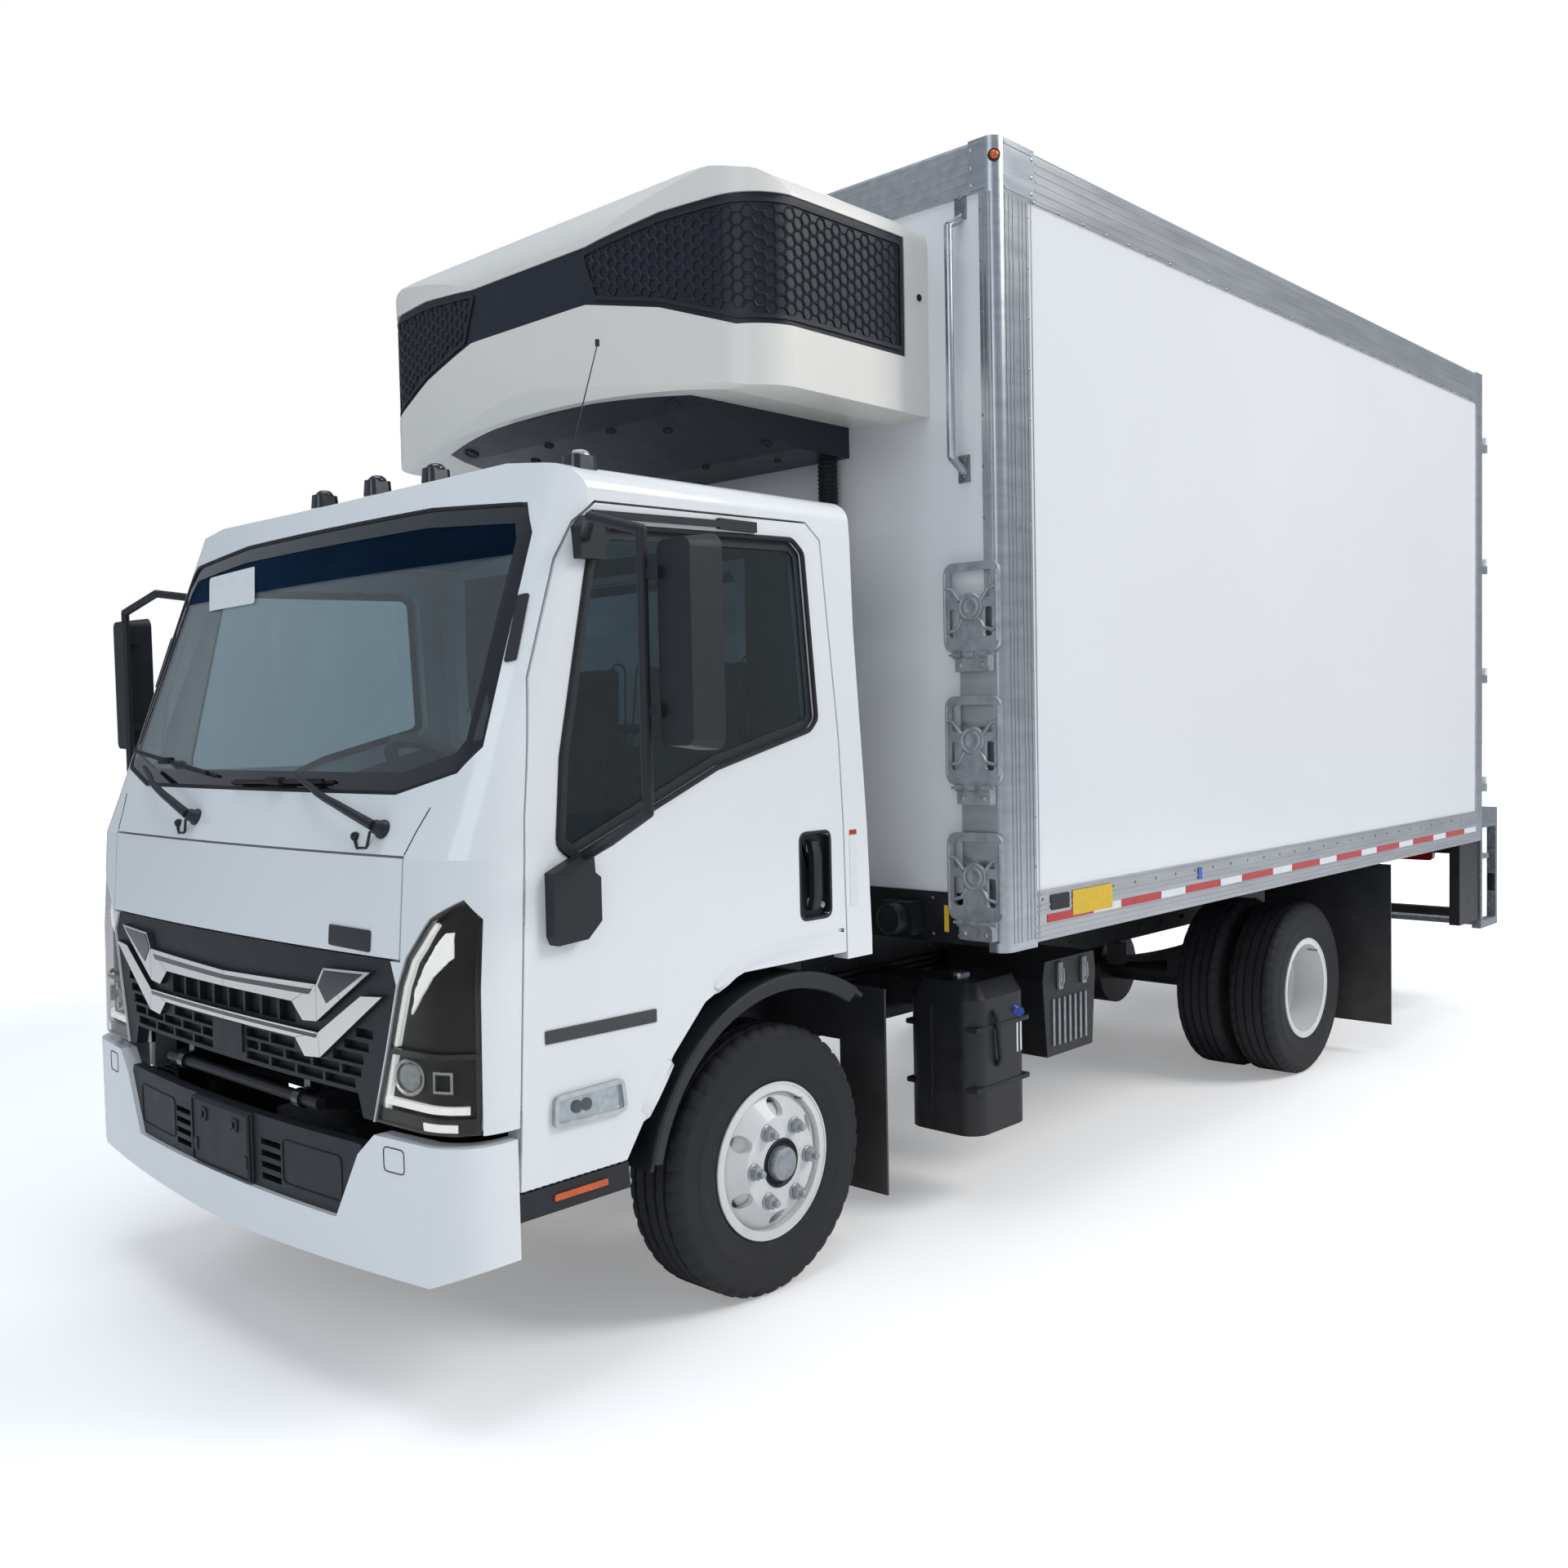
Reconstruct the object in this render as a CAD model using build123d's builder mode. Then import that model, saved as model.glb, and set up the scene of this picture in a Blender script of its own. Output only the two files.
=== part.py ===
"""Refrigerated box truck with a low cab over the engine.

Millimetres. X points forward, Y to the left, Z up. The origin is on the ground
below the middle of the truck's bounding box.
"""
from build123d import *
from functools import cache
import math
import os

os.makedirs("parts", exist_ok=True)

# Overall layout
wheelbase = 3365
front_overhang = 1180
box_setback = 750
box_length = 4480
rear_step_depth = 275
overall_length = front_overhang + box_setback + box_length + rear_step_depth
front_axle_x = overall_length / 2 - front_overhang
rear_axle_x = front_axle_x - wheelbase
box_front_x = front_axle_x - box_setback
box_rear_x = box_front_x - box_length
rear_end_x = box_rear_x - rear_step_depth

# Clearances
seat_gap = 0.3
shut_gap = 6
working_gap = 12


def side_plane(y):
    """A plane facing right, its x forward and its y up."""
    return Plane(origin=(0, y, 0), x_dir=(1, 0, 0), z_dir=(0, -1, 0))


def front_plane(x):
    """A plane facing forward, its x to the left and its y up."""
    return Plane(origin=(x, 0, 0), x_dir=(0, 1, 0), z_dir=(1, 0, 0))


def ahead(points):
    """Side view points given from the front axle, moved to the part's frame."""
    return [(front_axle_x + x, z) for x, z in points]


def side_prism(points, y_low, y_high):
    """A prism over a side view polygon, between two distances to the left."""
    with BuildPart() as block:
        with BuildSketch(side_plane(y_high)):
            Polygon(*points, align=None)
        extrude(amount=y_high - y_low)
    return block.part


def front_prism(points, x_low, x_high):
    """A prism over a front view polygon, between two distances forward."""
    with BuildPart() as block:
        with BuildSketch(front_plane(x_low)):
            Polygon(*points, align=None)
        extrude(amount=x_high - x_low)
    return block.part


def plan_prism(points, z_low, z_high):
    """A prism over a plan polygon, between two heights."""
    with BuildPart() as block:
        with BuildSketch(Plane.XY.offset(z_low)):
            Polygon(*points, align=None)
        extrude(amount=z_high - z_low)
    return block.part


def bar(x_low, x_high, y_low, y_high, z_low, z_high):
    """A rectangular bar between its limits."""
    corners = [(x_low, y_low), (x_high, y_low), (x_high, y_high), (x_low, y_high)]
    return plan_prism(corners, z_low, z_high)


def rod(start, end, radius):
    """A round rod between two points."""
    along = Plane(origin=start, z_dir=Vector(end) - Vector(start))
    with BuildPart() as piece:
        with BuildSketch(along):
            Circle(radius)
        extrude(amount=(Vector(end) - Vector(start)).length)
    return piece.part


def mirrored(half):
    """A closed front view outline from its left half, drawn from the middle outwards and back."""
    return half + [(-y, z) for y, z in reversed(half) if y > 0]


def to_right(points):
    """A front view outline carried over to the right hand side."""
    return [(-y, z) for y, z in reversed(points)]


def save(part, name):
    """Label a finished piece and write it."""
    part.label = name
    export_step(part, f"parts/{name}.step")


# Chassis frame: two channel rails and the cross members between them
frame_width = 850
rail_height = 210
rail_flange = 70
rail_wall = 8
frame_top = 820
frame_bottom = frame_top - rail_height
frame_front_x = front_axle_x + 905
frame_rear_x = box_rear_x + 60
rail_outer_y = frame_width / 2
rail_inner_y = rail_outer_y - rail_wall
cross_member_depth = 70
cross_member_x = [
    frame_front_x - 45,
    front_axle_x - 640,
    front_axle_x - 1500,
    front_axle_x - 2350,
    rear_axle_x + 420,
    rear_axle_x - 620,
    frame_rear_x + 45,
]

# Cab tilt bar, carried by two brackets at the rails' front ends
tilt_axis_x = front_axle_x + 1110
tilt_axis_z = 700
tilt_bar_radius = 16
tilt_bar_half = 425
with BuildPart() as chassis_frame:
    for side in (-1, 1):
        with BuildSketch(front_plane(frame_rear_x)):
            Polygon(
                (side * rail_outer_y, frame_bottom),
                (side * rail_outer_y, frame_top),
                (side * (rail_outer_y - rail_flange), frame_top),
                (side * (rail_outer_y - rail_flange), frame_top - rail_wall),
                (side * rail_inner_y, frame_top - rail_wall),
                (side * rail_inner_y, frame_bottom + rail_wall),
                (side * (rail_outer_y - rail_flange), frame_bottom + rail_wall),
                (side * (rail_outer_y - rail_flange), frame_bottom),
                align=None,
            )
        extrude(amount=frame_front_x - frame_rear_x)
    for x in cross_member_x:
        with BuildSketch(front_plane(x - cross_member_depth / 2)):
            with Locations((0, (frame_top + frame_bottom) / 2)):
                Rectangle(2 * rail_inner_y, rail_height - 2 * rail_wall)
        extrude(amount=cross_member_depth)
    for side in (-1, 1):
        low, high = sorted((side * (rail_outer_y - 15), side * (rail_outer_y - 45)))
        add(side_prism([
            (frame_front_x - 60, frame_bottom + 20),
            (frame_front_x - 60, frame_top - 20),
            (frame_front_x, frame_top - 60),
            (tilt_axis_x - 6, tilt_axis_z + tilt_bar_radius),
            (tilt_axis_x - 6, tilt_axis_z - tilt_bar_radius),
            (frame_front_x, frame_bottom + 20),
        ], low, high))
    add(rod((tilt_axis_x, -tilt_bar_half, tilt_axis_z), (tilt_axis_x, tilt_bar_half, tilt_axis_z),
            tilt_bar_radius))
save(chassis_frame.part, "chassis_frame")

# Front axle: a dropped beam with a kingpin eye at each end
tyre_radius = 386
axle_height = tyre_radius
kingpin_y = 690
kingpin_radius = 16
kingpin_eye_radius = 38
kingpin_eye_height = 90
beam_depth = 66
beam_drop = 70
spring_y = 395
spring_width = 64
spring_pad_top = axle_height - beam_drop + 54
with BuildPart() as front_axle:
    with BuildSketch(front_plane(front_axle_x - beam_depth / 2)):
        Polygon(
            (-kingpin_y, axle_height + 30), (-kingpin_y, axle_height - 30),
            (-600, axle_height - 34), (-500, axle_height - beam_drop - 34),
            (500, axle_height - beam_drop - 34), (600, axle_height - 34),
            (kingpin_y, axle_height - 30), (kingpin_y, axle_height + 30),
            (600, axle_height + 30), (500, axle_height - beam_drop + 34),
            (-500, axle_height - beam_drop + 34), (-600, axle_height + 30),
            align=None,
        )
    extrude(amount=beam_depth)
    with BuildSketch(Plane.XY.offset(axle_height - kingpin_eye_height / 2)):
        with Locations((front_axle_x, -kingpin_y), (front_axle_x, kingpin_y)):
            Circle(kingpin_eye_radius)
    extrude(amount=kingpin_eye_height)
    with BuildSketch(Plane.XY.offset(axle_height - kingpin_eye_height / 2)):
        with Locations((front_axle_x, -kingpin_y), (front_axle_x, kingpin_y)):
            Circle(kingpin_radius + seat_gap)
    extrude(amount=kingpin_eye_height, mode=Mode.SUBTRACT)
    for y in (-spring_y, spring_y):
        add(bar(front_axle_x - 65, front_axle_x + 65, y - spring_width / 2, y + spring_width / 2,
                axle_height - beam_drop, spring_pad_top))
save(front_axle.part, "front_axle")

# Leaf springs with their hangers up to the frame
rear_spring_y = 430
rear_spring_base = axle_height + 90
spring_rise = 60
leaf_stack = 36
leaf_end = 14
hanger_length = 56


def leaf_pack(axle_x, base, half_length, y):
    """One leaf pack, a shallow arc, with a hanger at each end."""
    with BuildPart() as pack:
        with BuildSketch(side_plane(y + spring_width / 2)):
            with BuildLine():
                ThreePointArc(
                    (axle_x - half_length, base + spring_rise),
                    (axle_x, base),
                    (axle_x + half_length, base + spring_rise),
                )
                Line(
                    (axle_x + half_length, base + spring_rise),
                    (axle_x + half_length, base + spring_rise + leaf_end),
                )
                ThreePointArc(
                    (axle_x + half_length, base + spring_rise + leaf_end),
                    (axle_x, base + leaf_stack),
                    (axle_x - half_length, base + spring_rise + leaf_end),
                )
                Line(
                    (axle_x - half_length, base + spring_rise + leaf_end),
                    (axle_x - half_length, base + spring_rise),
                )
            make_face()
        extrude(amount=spring_width)
        for end in (-1, 1):
            middle = axle_x + end * (half_length - hanger_length / 2)
            add(bar(middle - hanger_length / 2, middle + hanger_length / 2,
                    y - spring_width / 2, y + spring_width / 2,
                    base + spring_rise - 20, frame_bottom))
    return pack.part


# Axle, base height, half length and distance from the middle of each pair
spring_table = [
    (front_axle_x, spring_pad_top, 560, spring_y),
    (rear_axle_x, rear_spring_base, 620, rear_spring_y),
]
with BuildPart() as leaf_springs:
    for axle_x, base, half_length, spring_centre in spring_table:
        for side in (-1, 1):
            add(leaf_pack(axle_x, base, half_length, side * spring_centre))
save(leaf_springs.part, "leaf_springs")

# Wheel places
tyre_width = 212
front_wheel_y = 832
dual_outer_y = 950
dual_spacing = 250
dual_inner_y = dual_outer_y - dual_spacing
disc_offset = dual_spacing / 2
disc_plate = 10
dual_face_y = dual_outer_y - disc_offset

# Rear axle: a tube with spring pads and the differential
axle_tube_radius = 58
spindle_radius = 38
axle_tube_half = 640
spindle_half = 800
differential_radius = 175
shaft_height = 440
with BuildPart() as rear_axle:
    for half_length, radius in ((axle_tube_half, axle_tube_radius), (spindle_half, spindle_radius)):
        add(rod((rear_axle_x, -half_length, axle_height), (rear_axle_x, half_length, axle_height), radius))
    with BuildSketch(side_plane(95)):
        with Locations((rear_axle_x, axle_height)):
            Circle(differential_radius)
    extrude(amount=190)
    add(rod((rear_axle_x, 0, shaft_height), (rear_axle_x + 230, 0, shaft_height), 62))
    for y in (-rear_spring_y, rear_spring_y):
        add(bar(rear_axle_x - 70, rear_axle_x + 70, y - spring_width / 2, y + spring_width / 2,
                axle_height, rear_spring_base))
save(rear_axle.part, "rear_axle")

# Powertrain: a plain engine block on its mounts, the gearbox and the propeller shaft
engine_half = 290
engine_front_x = front_axle_x + 330
engine_rear_x = front_axle_x - 590
gearbox_rear_x = front_axle_x - 1080
shaft_radius = 40
engine_mount_x = [front_axle_x - 450, front_axle_x + 200]
with BuildPart() as powertrain:
    add(bar(engine_rear_x, engine_front_x, -engine_half, engine_half, 450, 925))
    add(bar(gearbox_rear_x, engine_rear_x - seat_gap, -140, 140, 400, frame_bottom - working_gap))
    for x in engine_mount_x:
        for side in (-1, 1):
            low, high = sorted((side * (engine_half + seat_gap), side * rail_inner_y))
            add(bar(x - 40, x + 40, low, high, 640, 690))
    add(rod((gearbox_rear_x - seat_gap, 0, shaft_height), (rear_axle_x + 230 + seat_gap, 0, shaft_height),
            shaft_radius))
save(powertrain.part, "powertrain")

# Knuckles: a yoke on each kingpin with the stub axle
yoke_thickness = 22
yoke_radius = 34
web_thickness = 24
stub_radius = 28
stub_end_y = 905
for side, name in ((1, "left_knuckle"), (-1, "right_knuckle")):
    eye_top = axle_height + kingpin_eye_height / 2 + 1
    eye_bottom = axle_height - kingpin_eye_height / 2 - 1
    web_near = kingpin_y + kingpin_eye_radius + 6
    low, high = sorted((side * web_near, side * (web_near + web_thickness)))
    reach_low, reach_high = sorted((side * kingpin_y, side * web_near))
    with BuildPart() as knuckle:
        add(rod((front_axle_x, side * kingpin_y, eye_bottom - yoke_thickness),
                (front_axle_x, side * kingpin_y, eye_top + yoke_thickness), kingpin_radius))
        for base in (eye_top, eye_bottom - yoke_thickness):
            add(rod((front_axle_x, side * kingpin_y, base),
                    (front_axle_x, side * kingpin_y, base + yoke_thickness), yoke_radius))
            add(bar(front_axle_x - yoke_radius, front_axle_x + yoke_radius, reach_low, reach_high,
                    base, base + yoke_thickness))
        add(bar(front_axle_x - yoke_radius, front_axle_x + yoke_radius, low, high,
                eye_bottom - yoke_thickness, eye_top + yoke_thickness))
        add(rod((front_axle_x, side * web_near, axle_height),
                (front_axle_x, side * stub_end_y, axle_height), stub_radius))
    save(knuckle.part, name)

# Tyres: radius and distance from the wheel's middle at each corner of half a profile
rim_half = 96
bead_radius = 206
tyre_profile = [
    (bead_radius + seat_gap, 84),
    (262, tyre_width / 2),
    (350, tyre_width / 2),
    (tyre_radius, tyre_width / 2 - 28),
]


def wheel_plane(axle_x):
    """A plane through a wheel's axis, its x along the axle and its y up."""
    return Plane(origin=(axle_x, 0, axle_height), x_dir=(0, 1, 0), z_dir=(1, 0, 0))


def tyre_part(axle_x, y):
    """A tyre around its wheel."""
    half = [(y + across, radius) for radius, across in tyre_profile]
    other = [(y - across, radius) for radius, across in reversed(tyre_profile)]
    with BuildPart() as tyre:
        with BuildSketch(wheel_plane(axle_x)):
            Polygon(*(half + other), align=None)
        revolve(axis=Axis((axle_x, 0, axle_height), (0, 1, 0)))
    return tyre.part


# Rims: a rolled barrel and a dished disc that stands off to one side
rim_radius = 222
rim_plate = 9
flange_thickness = 5
centre_bore_radius = 70
hand_hole_radius = 24
hand_hole_circle = 158
hand_holes = 6


def rim_part(axle_x, y, toward):
    """A steel rim whose disc stands towards +Y or -Y."""
    barrel = [
        (-rim_half, rim_radius), (-rim_half + flange_thickness, rim_radius),
        (-rim_half + flange_thickness, bead_radius),
        (rim_half - flange_thickness, bead_radius), (rim_half - flange_thickness, rim_radius), (rim_half, rim_radius),
        (rim_half, bead_radius - rim_plate), (-rim_half, bead_radius - rim_plate),
    ]
    disc = [
        (40, bead_radius - 4), (66, bead_radius - 4), (disc_offset, 136), (disc_offset, centre_bore_radius),
        (disc_offset - disc_plate, centre_bore_radius), (disc_offset - disc_plate, 128),
    ]
    with BuildPart() as rim:
        with BuildSketch(wheel_plane(axle_x)):
            Polygon(*[(y + toward * across, radius) for across, radius in barrel], align=None)
            Polygon(*[(y + toward * across, radius) for across, radius in disc], align=None)
        revolve(axis=Axis((axle_x, 0, axle_height), (0, 1, 0)))
        for step in range(hand_holes):
            angle = math.radians(360 / hand_holes * (step + 0.5))
            x = axle_x + hand_hole_circle * math.cos(angle)
            z = axle_height + hand_hole_circle * math.sin(angle)
            add(rod((x, y + toward * 60, z), (x, y + toward * (disc_offset + 30), z), hand_hole_radius),
                mode=Mode.SUBTRACT)
    return rim.part


def turned(axle_x, points):
    """A solid of revolution about an axle's line, from points along and away from it."""
    with BuildPart() as piece:
        with BuildSketch(wheel_plane(axle_x)):
            Polygon(*points, align=None)
        revolve(axis=Axis((axle_x, 0, axle_height), (0, 1, 0)))
    return piece.part


drum_radius = 162
front_disc_face = front_wheel_y + disc_offset
front_hub = [
    (stub_end_y + 20, 0), (stub_end_y + 20, stub_radius + 0.5), (800, stub_radius + 0.5), (800, drum_radius),
    (front_disc_face - disc_plate - 40, drum_radius), (front_disc_face - disc_plate, 122),
    (front_disc_face - disc_plate, centre_bore_radius), (front_disc_face - 8, centre_bore_radius - 2),
    (front_disc_face - 8, 48), (front_disc_face - 2, 44), (front_disc_face - 2, 0),
]
rear_hub = [
    (spindle_half + 10, 0), (spindle_half + 10, spindle_radius + 0.5), (680, spindle_radius + 0.5),
    (680, drum_radius), (dual_face_y - disc_plate - 25, drum_radius), (dual_face_y - disc_plate, 122),
    (dual_face_y - disc_plate, centre_bore_radius), (dual_face_y + 20, centre_bore_radius),
    (dual_face_y + 60, 62), (dual_face_y + 60, 0),
]
for side, label in ((1, "left"), (-1, "right")):
    with BuildPart() as tyre:
        add(tyre_part(front_axle_x, side * front_wheel_y))
    save(tyre.part, f"front_{label}_tyre")
    with BuildPart() as wheel:
        add(rim_part(front_axle_x, side * front_wheel_y, side))
        add(turned(front_axle_x, [(side * y, radius) for y, radius in front_hub]))
    save(wheel.part, f"front_{label}_wheel")
    with BuildPart() as tyres:
        add(tyre_part(rear_axle_x, side * dual_inner_y))
        add(tyre_part(rear_axle_x, side * dual_outer_y))
    save(tyres.part, f"rear_{label}_tyres")
    with BuildPart() as wheels:
        add(rim_part(rear_axle_x, side * dual_inner_y, side))
        add(rim_part(rear_axle_x, side * dual_outer_y, -side))
        add(turned(rear_axle_x, [(side * y, radius) for y, radius in rear_hub]))
    save(wheels.part, f"rear_{label}_wheels")

# Refrigerated box sizes
box_width = 2438
box_bottom = 920
box_top = 3385
rail_skin = 8
bottom_rail_top = 1081
top_rail_bottom = 3227
wall_thickness = 75
front_wall_thickness = 100
roof_thickness = 90
floor_thickness = 100
post_width = 63
post_side_length = 175
post_corner_radius = 40
cap_width = 99
cap_length = post_side_length + 35
rear_frame_depth = 90
rear_post_width = 92
rear_header_bottom = 3245
door_sill_top = 1090
sill_beam_height = 80
box_half = box_width / 2
panel_outer_y = box_half - rail_skin
panel_inner_y = panel_outer_y - wall_thickness
floor_top = bottom_rail_top
floor_bottom = floor_top - floor_thickness
roof_top = box_top - rail_skin
roof_bottom = roof_top - roof_thickness
panel_front_x = box_front_x - rail_skin
panel_rear_x = box_rear_x + rear_frame_depth
panel_corner_radius = post_corner_radius - rail_skin + 1
long_sill_top = floor_bottom - sill_beam_height

# Box sills: two long sills on the frame and the cross beams under the floor
sill_beam_count = 12
sill_beam_pitch = 381
sill_beam_width = 56
first_beam_x = box_front_x - 150
long_sill_width = 72
long_sill_y = 389
rail_lip = 62
beam_half = panel_outer_y - rail_lip - seat_gap
with BuildPart() as box_sills:
    for side in (-1, 1):
        middle = side * long_sill_y
        low = middle - long_sill_width / 2
        high = middle + long_sill_width / 2
        add(bar(frame_rear_x, box_front_x - 60, low, high, frame_top, long_sill_top - seat_gap))
    for step in range(sill_beam_count):
        x = first_beam_x - step * sill_beam_pitch
        add(bar(x - sill_beam_width / 2, x + sill_beam_width / 2, -beam_half, beam_half,
                long_sill_top, floor_bottom))
save(box_sills.part, "box_sills")


def rounded_slab(half_y, z_low, z_high):
    """A slab over the whole box inside its skins, its front corners rounded."""
    with BuildPart() as slab:
        add(bar(panel_rear_x, panel_front_x, -half_y, half_y, z_low, z_high))
        fillet(slab.edges().filter_by(Axis.Z).group_by(Axis.X)[-1], panel_corner_radius)
    return slab.part


with BuildPart() as box_floor:
    add(bar(panel_rear_x + seat_gap, panel_front_x - front_wall_thickness - seat_gap,
            -panel_inner_y + seat_gap, panel_inner_y - seat_gap, floor_bottom, floor_top))
save(box_floor.part, "box_floor")

with BuildPart() as box_roof:
    add(rounded_slab(panel_outer_y, roof_bottom, roof_top))
save(box_roof.part, "box_roof")

with BuildPart() as side_walls:
    add(rounded_slab(panel_outer_y, floor_bottom, roof_bottom))
    add(bar(panel_rear_x, panel_front_x, -panel_inner_y, panel_inner_y, floor_bottom, roof_bottom),
        mode=Mode.SUBTRACT)
save(side_walls.part, "side_walls")

with BuildPart() as front_wall:
    add(bar(panel_front_x - front_wall_thickness, panel_front_x, -panel_inner_y, panel_inner_y,
            floor_bottom, roof_bottom))
save(front_wall.part, "front_wall")

# Rails: bottom rails, side top rails and the front top rail
front_rail_half = box_half - cap_width
with BuildPart() as box_rails:
    for side in (-1, 1):
        add(front_prism([
            (side * panel_outer_y, box_bottom + rail_skin),
            (side * (panel_outer_y - rail_lip), box_bottom + rail_skin),
            (side * (panel_outer_y - rail_lip), box_bottom), (side * box_half, box_bottom),
            (side * box_half, bottom_rail_top), (side * panel_outer_y, bottom_rail_top),
        ], panel_rear_x, box_front_x - post_side_length))
        add(front_prism([
            (side * panel_outer_y, top_rail_bottom), (side * box_half, top_rail_bottom),
            (side * box_half, box_top - 14), (side * (box_half - 14), box_top),
            (side * (box_half - 70), box_top), (side * (box_half - 70), roof_top),
            (side * panel_outer_y, roof_top),
        ], panel_rear_x, box_front_x - cap_length))
    add(side_prism([
        (panel_front_x, top_rail_bottom), (box_front_x, top_rail_bottom), (box_front_x, box_top - 14),
        (box_front_x - 14, box_top), (box_front_x - 70, box_top), (box_front_x - 70, roof_top),
        (panel_front_x, roof_top),
    ], -front_rail_half, front_rail_half))
save(box_rails.part, "box_rails")


def corner_block(side, x_low, x_high, across, z_low, z_high, radius):
    """A block at a front corner of the box with its outer upright edge rounded."""
    outer_y = side * (box_half if x_high == box_front_x else panel_outer_y)
    low, high = sorted((side * (box_half - across), outer_y))
    with BuildPart() as block:
        add(bar(x_low, x_high, low, high, z_low, z_high))
        front_edges = block.edges().filter_by(Axis.Z).group_by(Axis.X)[-1].sort_by(Axis.Y)
        fillet(front_edges[-1] if side > 0 else front_edges[0], radius)
    return block.part


def corner_angle(side, across, along, z_low, z_high):
    """An angle section around a front corner of the box, its outer corner rounded."""
    with BuildPart() as angle:
        add(corner_block(side, box_front_x - along, box_front_x, across, z_low, z_high, post_corner_radius))
        add(corner_block(side, box_front_x - along - 5, panel_front_x, across + 5, z_low, z_high,
                         post_corner_radius - rail_skin), mode=Mode.SUBTRACT)
    return angle.part


post_bottom = 905
with BuildPart() as corner_posts:
    for side in (-1, 1):
        add(corner_angle(side, post_width, post_side_length, post_bottom, top_rail_bottom))
        add(corner_angle(side, cap_width, cap_length, top_rail_bottom, roof_top))
        add(corner_block(side, box_front_x - cap_length, box_front_x, cap_width, roof_top, box_top,
                         post_corner_radius))
save(corner_posts.part, "corner_posts")

# Front sill: the dark cross piece below the front wall, with the breather housing
breather_y = 848
breather_z = 997
with BuildPart() as front_sill:
    add(bar(panel_front_x, box_front_x, -(box_half - post_width), box_half - post_width,
            box_bottom, bottom_rail_top))
    add(bar(box_front_x, box_front_x + 70, breather_y - 60, breather_y + 60, breather_z - 52, breather_z + 52))
    add(rod((box_front_x + 70, breather_y, breather_z), (box_front_x + 110, breather_y, breather_z), 50))
save(front_sill.part, "front_sill")

# Rear door frame with the fixed halves of the hinges
hinge_offset = 45
hinge_axis_x = box_rear_x - hinge_offset
hinge_axis_y = box_half + 2
hinge_barrel = 10
hinge_pin = 5
hinge_half_height = 40
hinge_heights = [1180, 1760, 2340, 2980]
door_frame_half = box_half - rear_post_width
with BuildPart() as rear_frame:
    add(bar(box_rear_x, panel_rear_x, -box_half, box_half, box_bottom, box_top))
    add(bar(box_rear_x, panel_rear_x, -door_frame_half, door_frame_half, door_sill_top, rear_header_bottom),
        mode=Mode.SUBTRACT)
    for side in (-1, 1):
        for z in hinge_heights:
            add(plan_prism([
                (box_rear_x, side * (box_half - 70)), (box_rear_x, side * box_half),
                (hinge_axis_x + 8, side * (hinge_axis_y + 5)), (hinge_axis_x - 5, side * hinge_axis_y),
                (hinge_axis_x, side * (hinge_axis_y - 9)),
            ], z, z + hinge_half_height))
            add(rod((hinge_axis_x, side * hinge_axis_y, z),
                    (hinge_axis_x, side * hinge_axis_y, z + hinge_half_height), hinge_barrel))
            add(rod((hinge_axis_x, side * hinge_axis_y, z),
                    (hinge_axis_x, side * hinge_axis_y, z + 2 * hinge_half_height), hinge_pin))
save(rear_frame.part, "rear_frame")

# Cargo doors with their hinge straps and lock rods
cargo_door_thickness = 75
cargo_shut_gap = 8
lock_rod_radius = 11
lock_rod_offset = 27
leaf_outer_y = door_frame_half - cargo_shut_gap
leaf_inner_y = cargo_shut_gap / 2
lock_rod_places = [120, 760]
lock_handle_length = 210
lock_handle_z = 1420
for side, label in ((1, "left"), (-1, "right")):
    low, high = sorted((side * leaf_inner_y, side * leaf_outer_y))
    with BuildPart() as cargo_door:
        add(bar(box_rear_x, box_rear_x + cargo_door_thickness, low, high,
                door_sill_top + cargo_shut_gap, rear_header_bottom - cargo_shut_gap))
        for z in hinge_heights:
            base = z + hinge_half_height + 1
            top = z + 2 * hinge_half_height - 1
            add(plan_prism([
                (hinge_axis_x - 8, side * hinge_axis_y), (hinge_axis_x + 8, side * hinge_axis_y),
                (box_rear_x - 12, side * leaf_outer_y), (box_rear_x, side * (leaf_outer_y - 8)),
                (box_rear_x, side * 980), (box_rear_x - 8, side * 980),
                (box_rear_x - 24, side * (leaf_outer_y - 4)),
            ], base, top))
            add(rod((hinge_axis_x, side * hinge_axis_y, base), (hinge_axis_x, side * hinge_axis_y, top),
                    hinge_barrel))
            add(rod((hinge_axis_x, side * hinge_axis_y, base - 1), (hinge_axis_x, side * hinge_axis_y, top + 1),
                    hinge_pin + seat_gap), mode=Mode.SUBTRACT)
        for y in lock_rod_places:
            add(rod((box_rear_x - lock_rod_offset, side * y, door_sill_top + 30),
                    (box_rear_x - lock_rod_offset, side * y, rear_header_bottom - 30), lock_rod_radius))
            for z in (1160, 1500, 2160, 2800, 3170):
                add(bar(box_rear_x - lock_rod_offset, box_rear_x, side * y - 20, side * y + 20, z, z + 30))
            near, far = sorted((side * y, side * (y + lock_handle_length)))
            add(bar(box_rear_x - lock_rod_offset - 8, box_rear_x - lock_rod_offset + 6, near, far,
                    lock_handle_z, lock_handle_z + 34))
    save(cargo_door.part, f"cargo_door_{label}")

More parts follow.
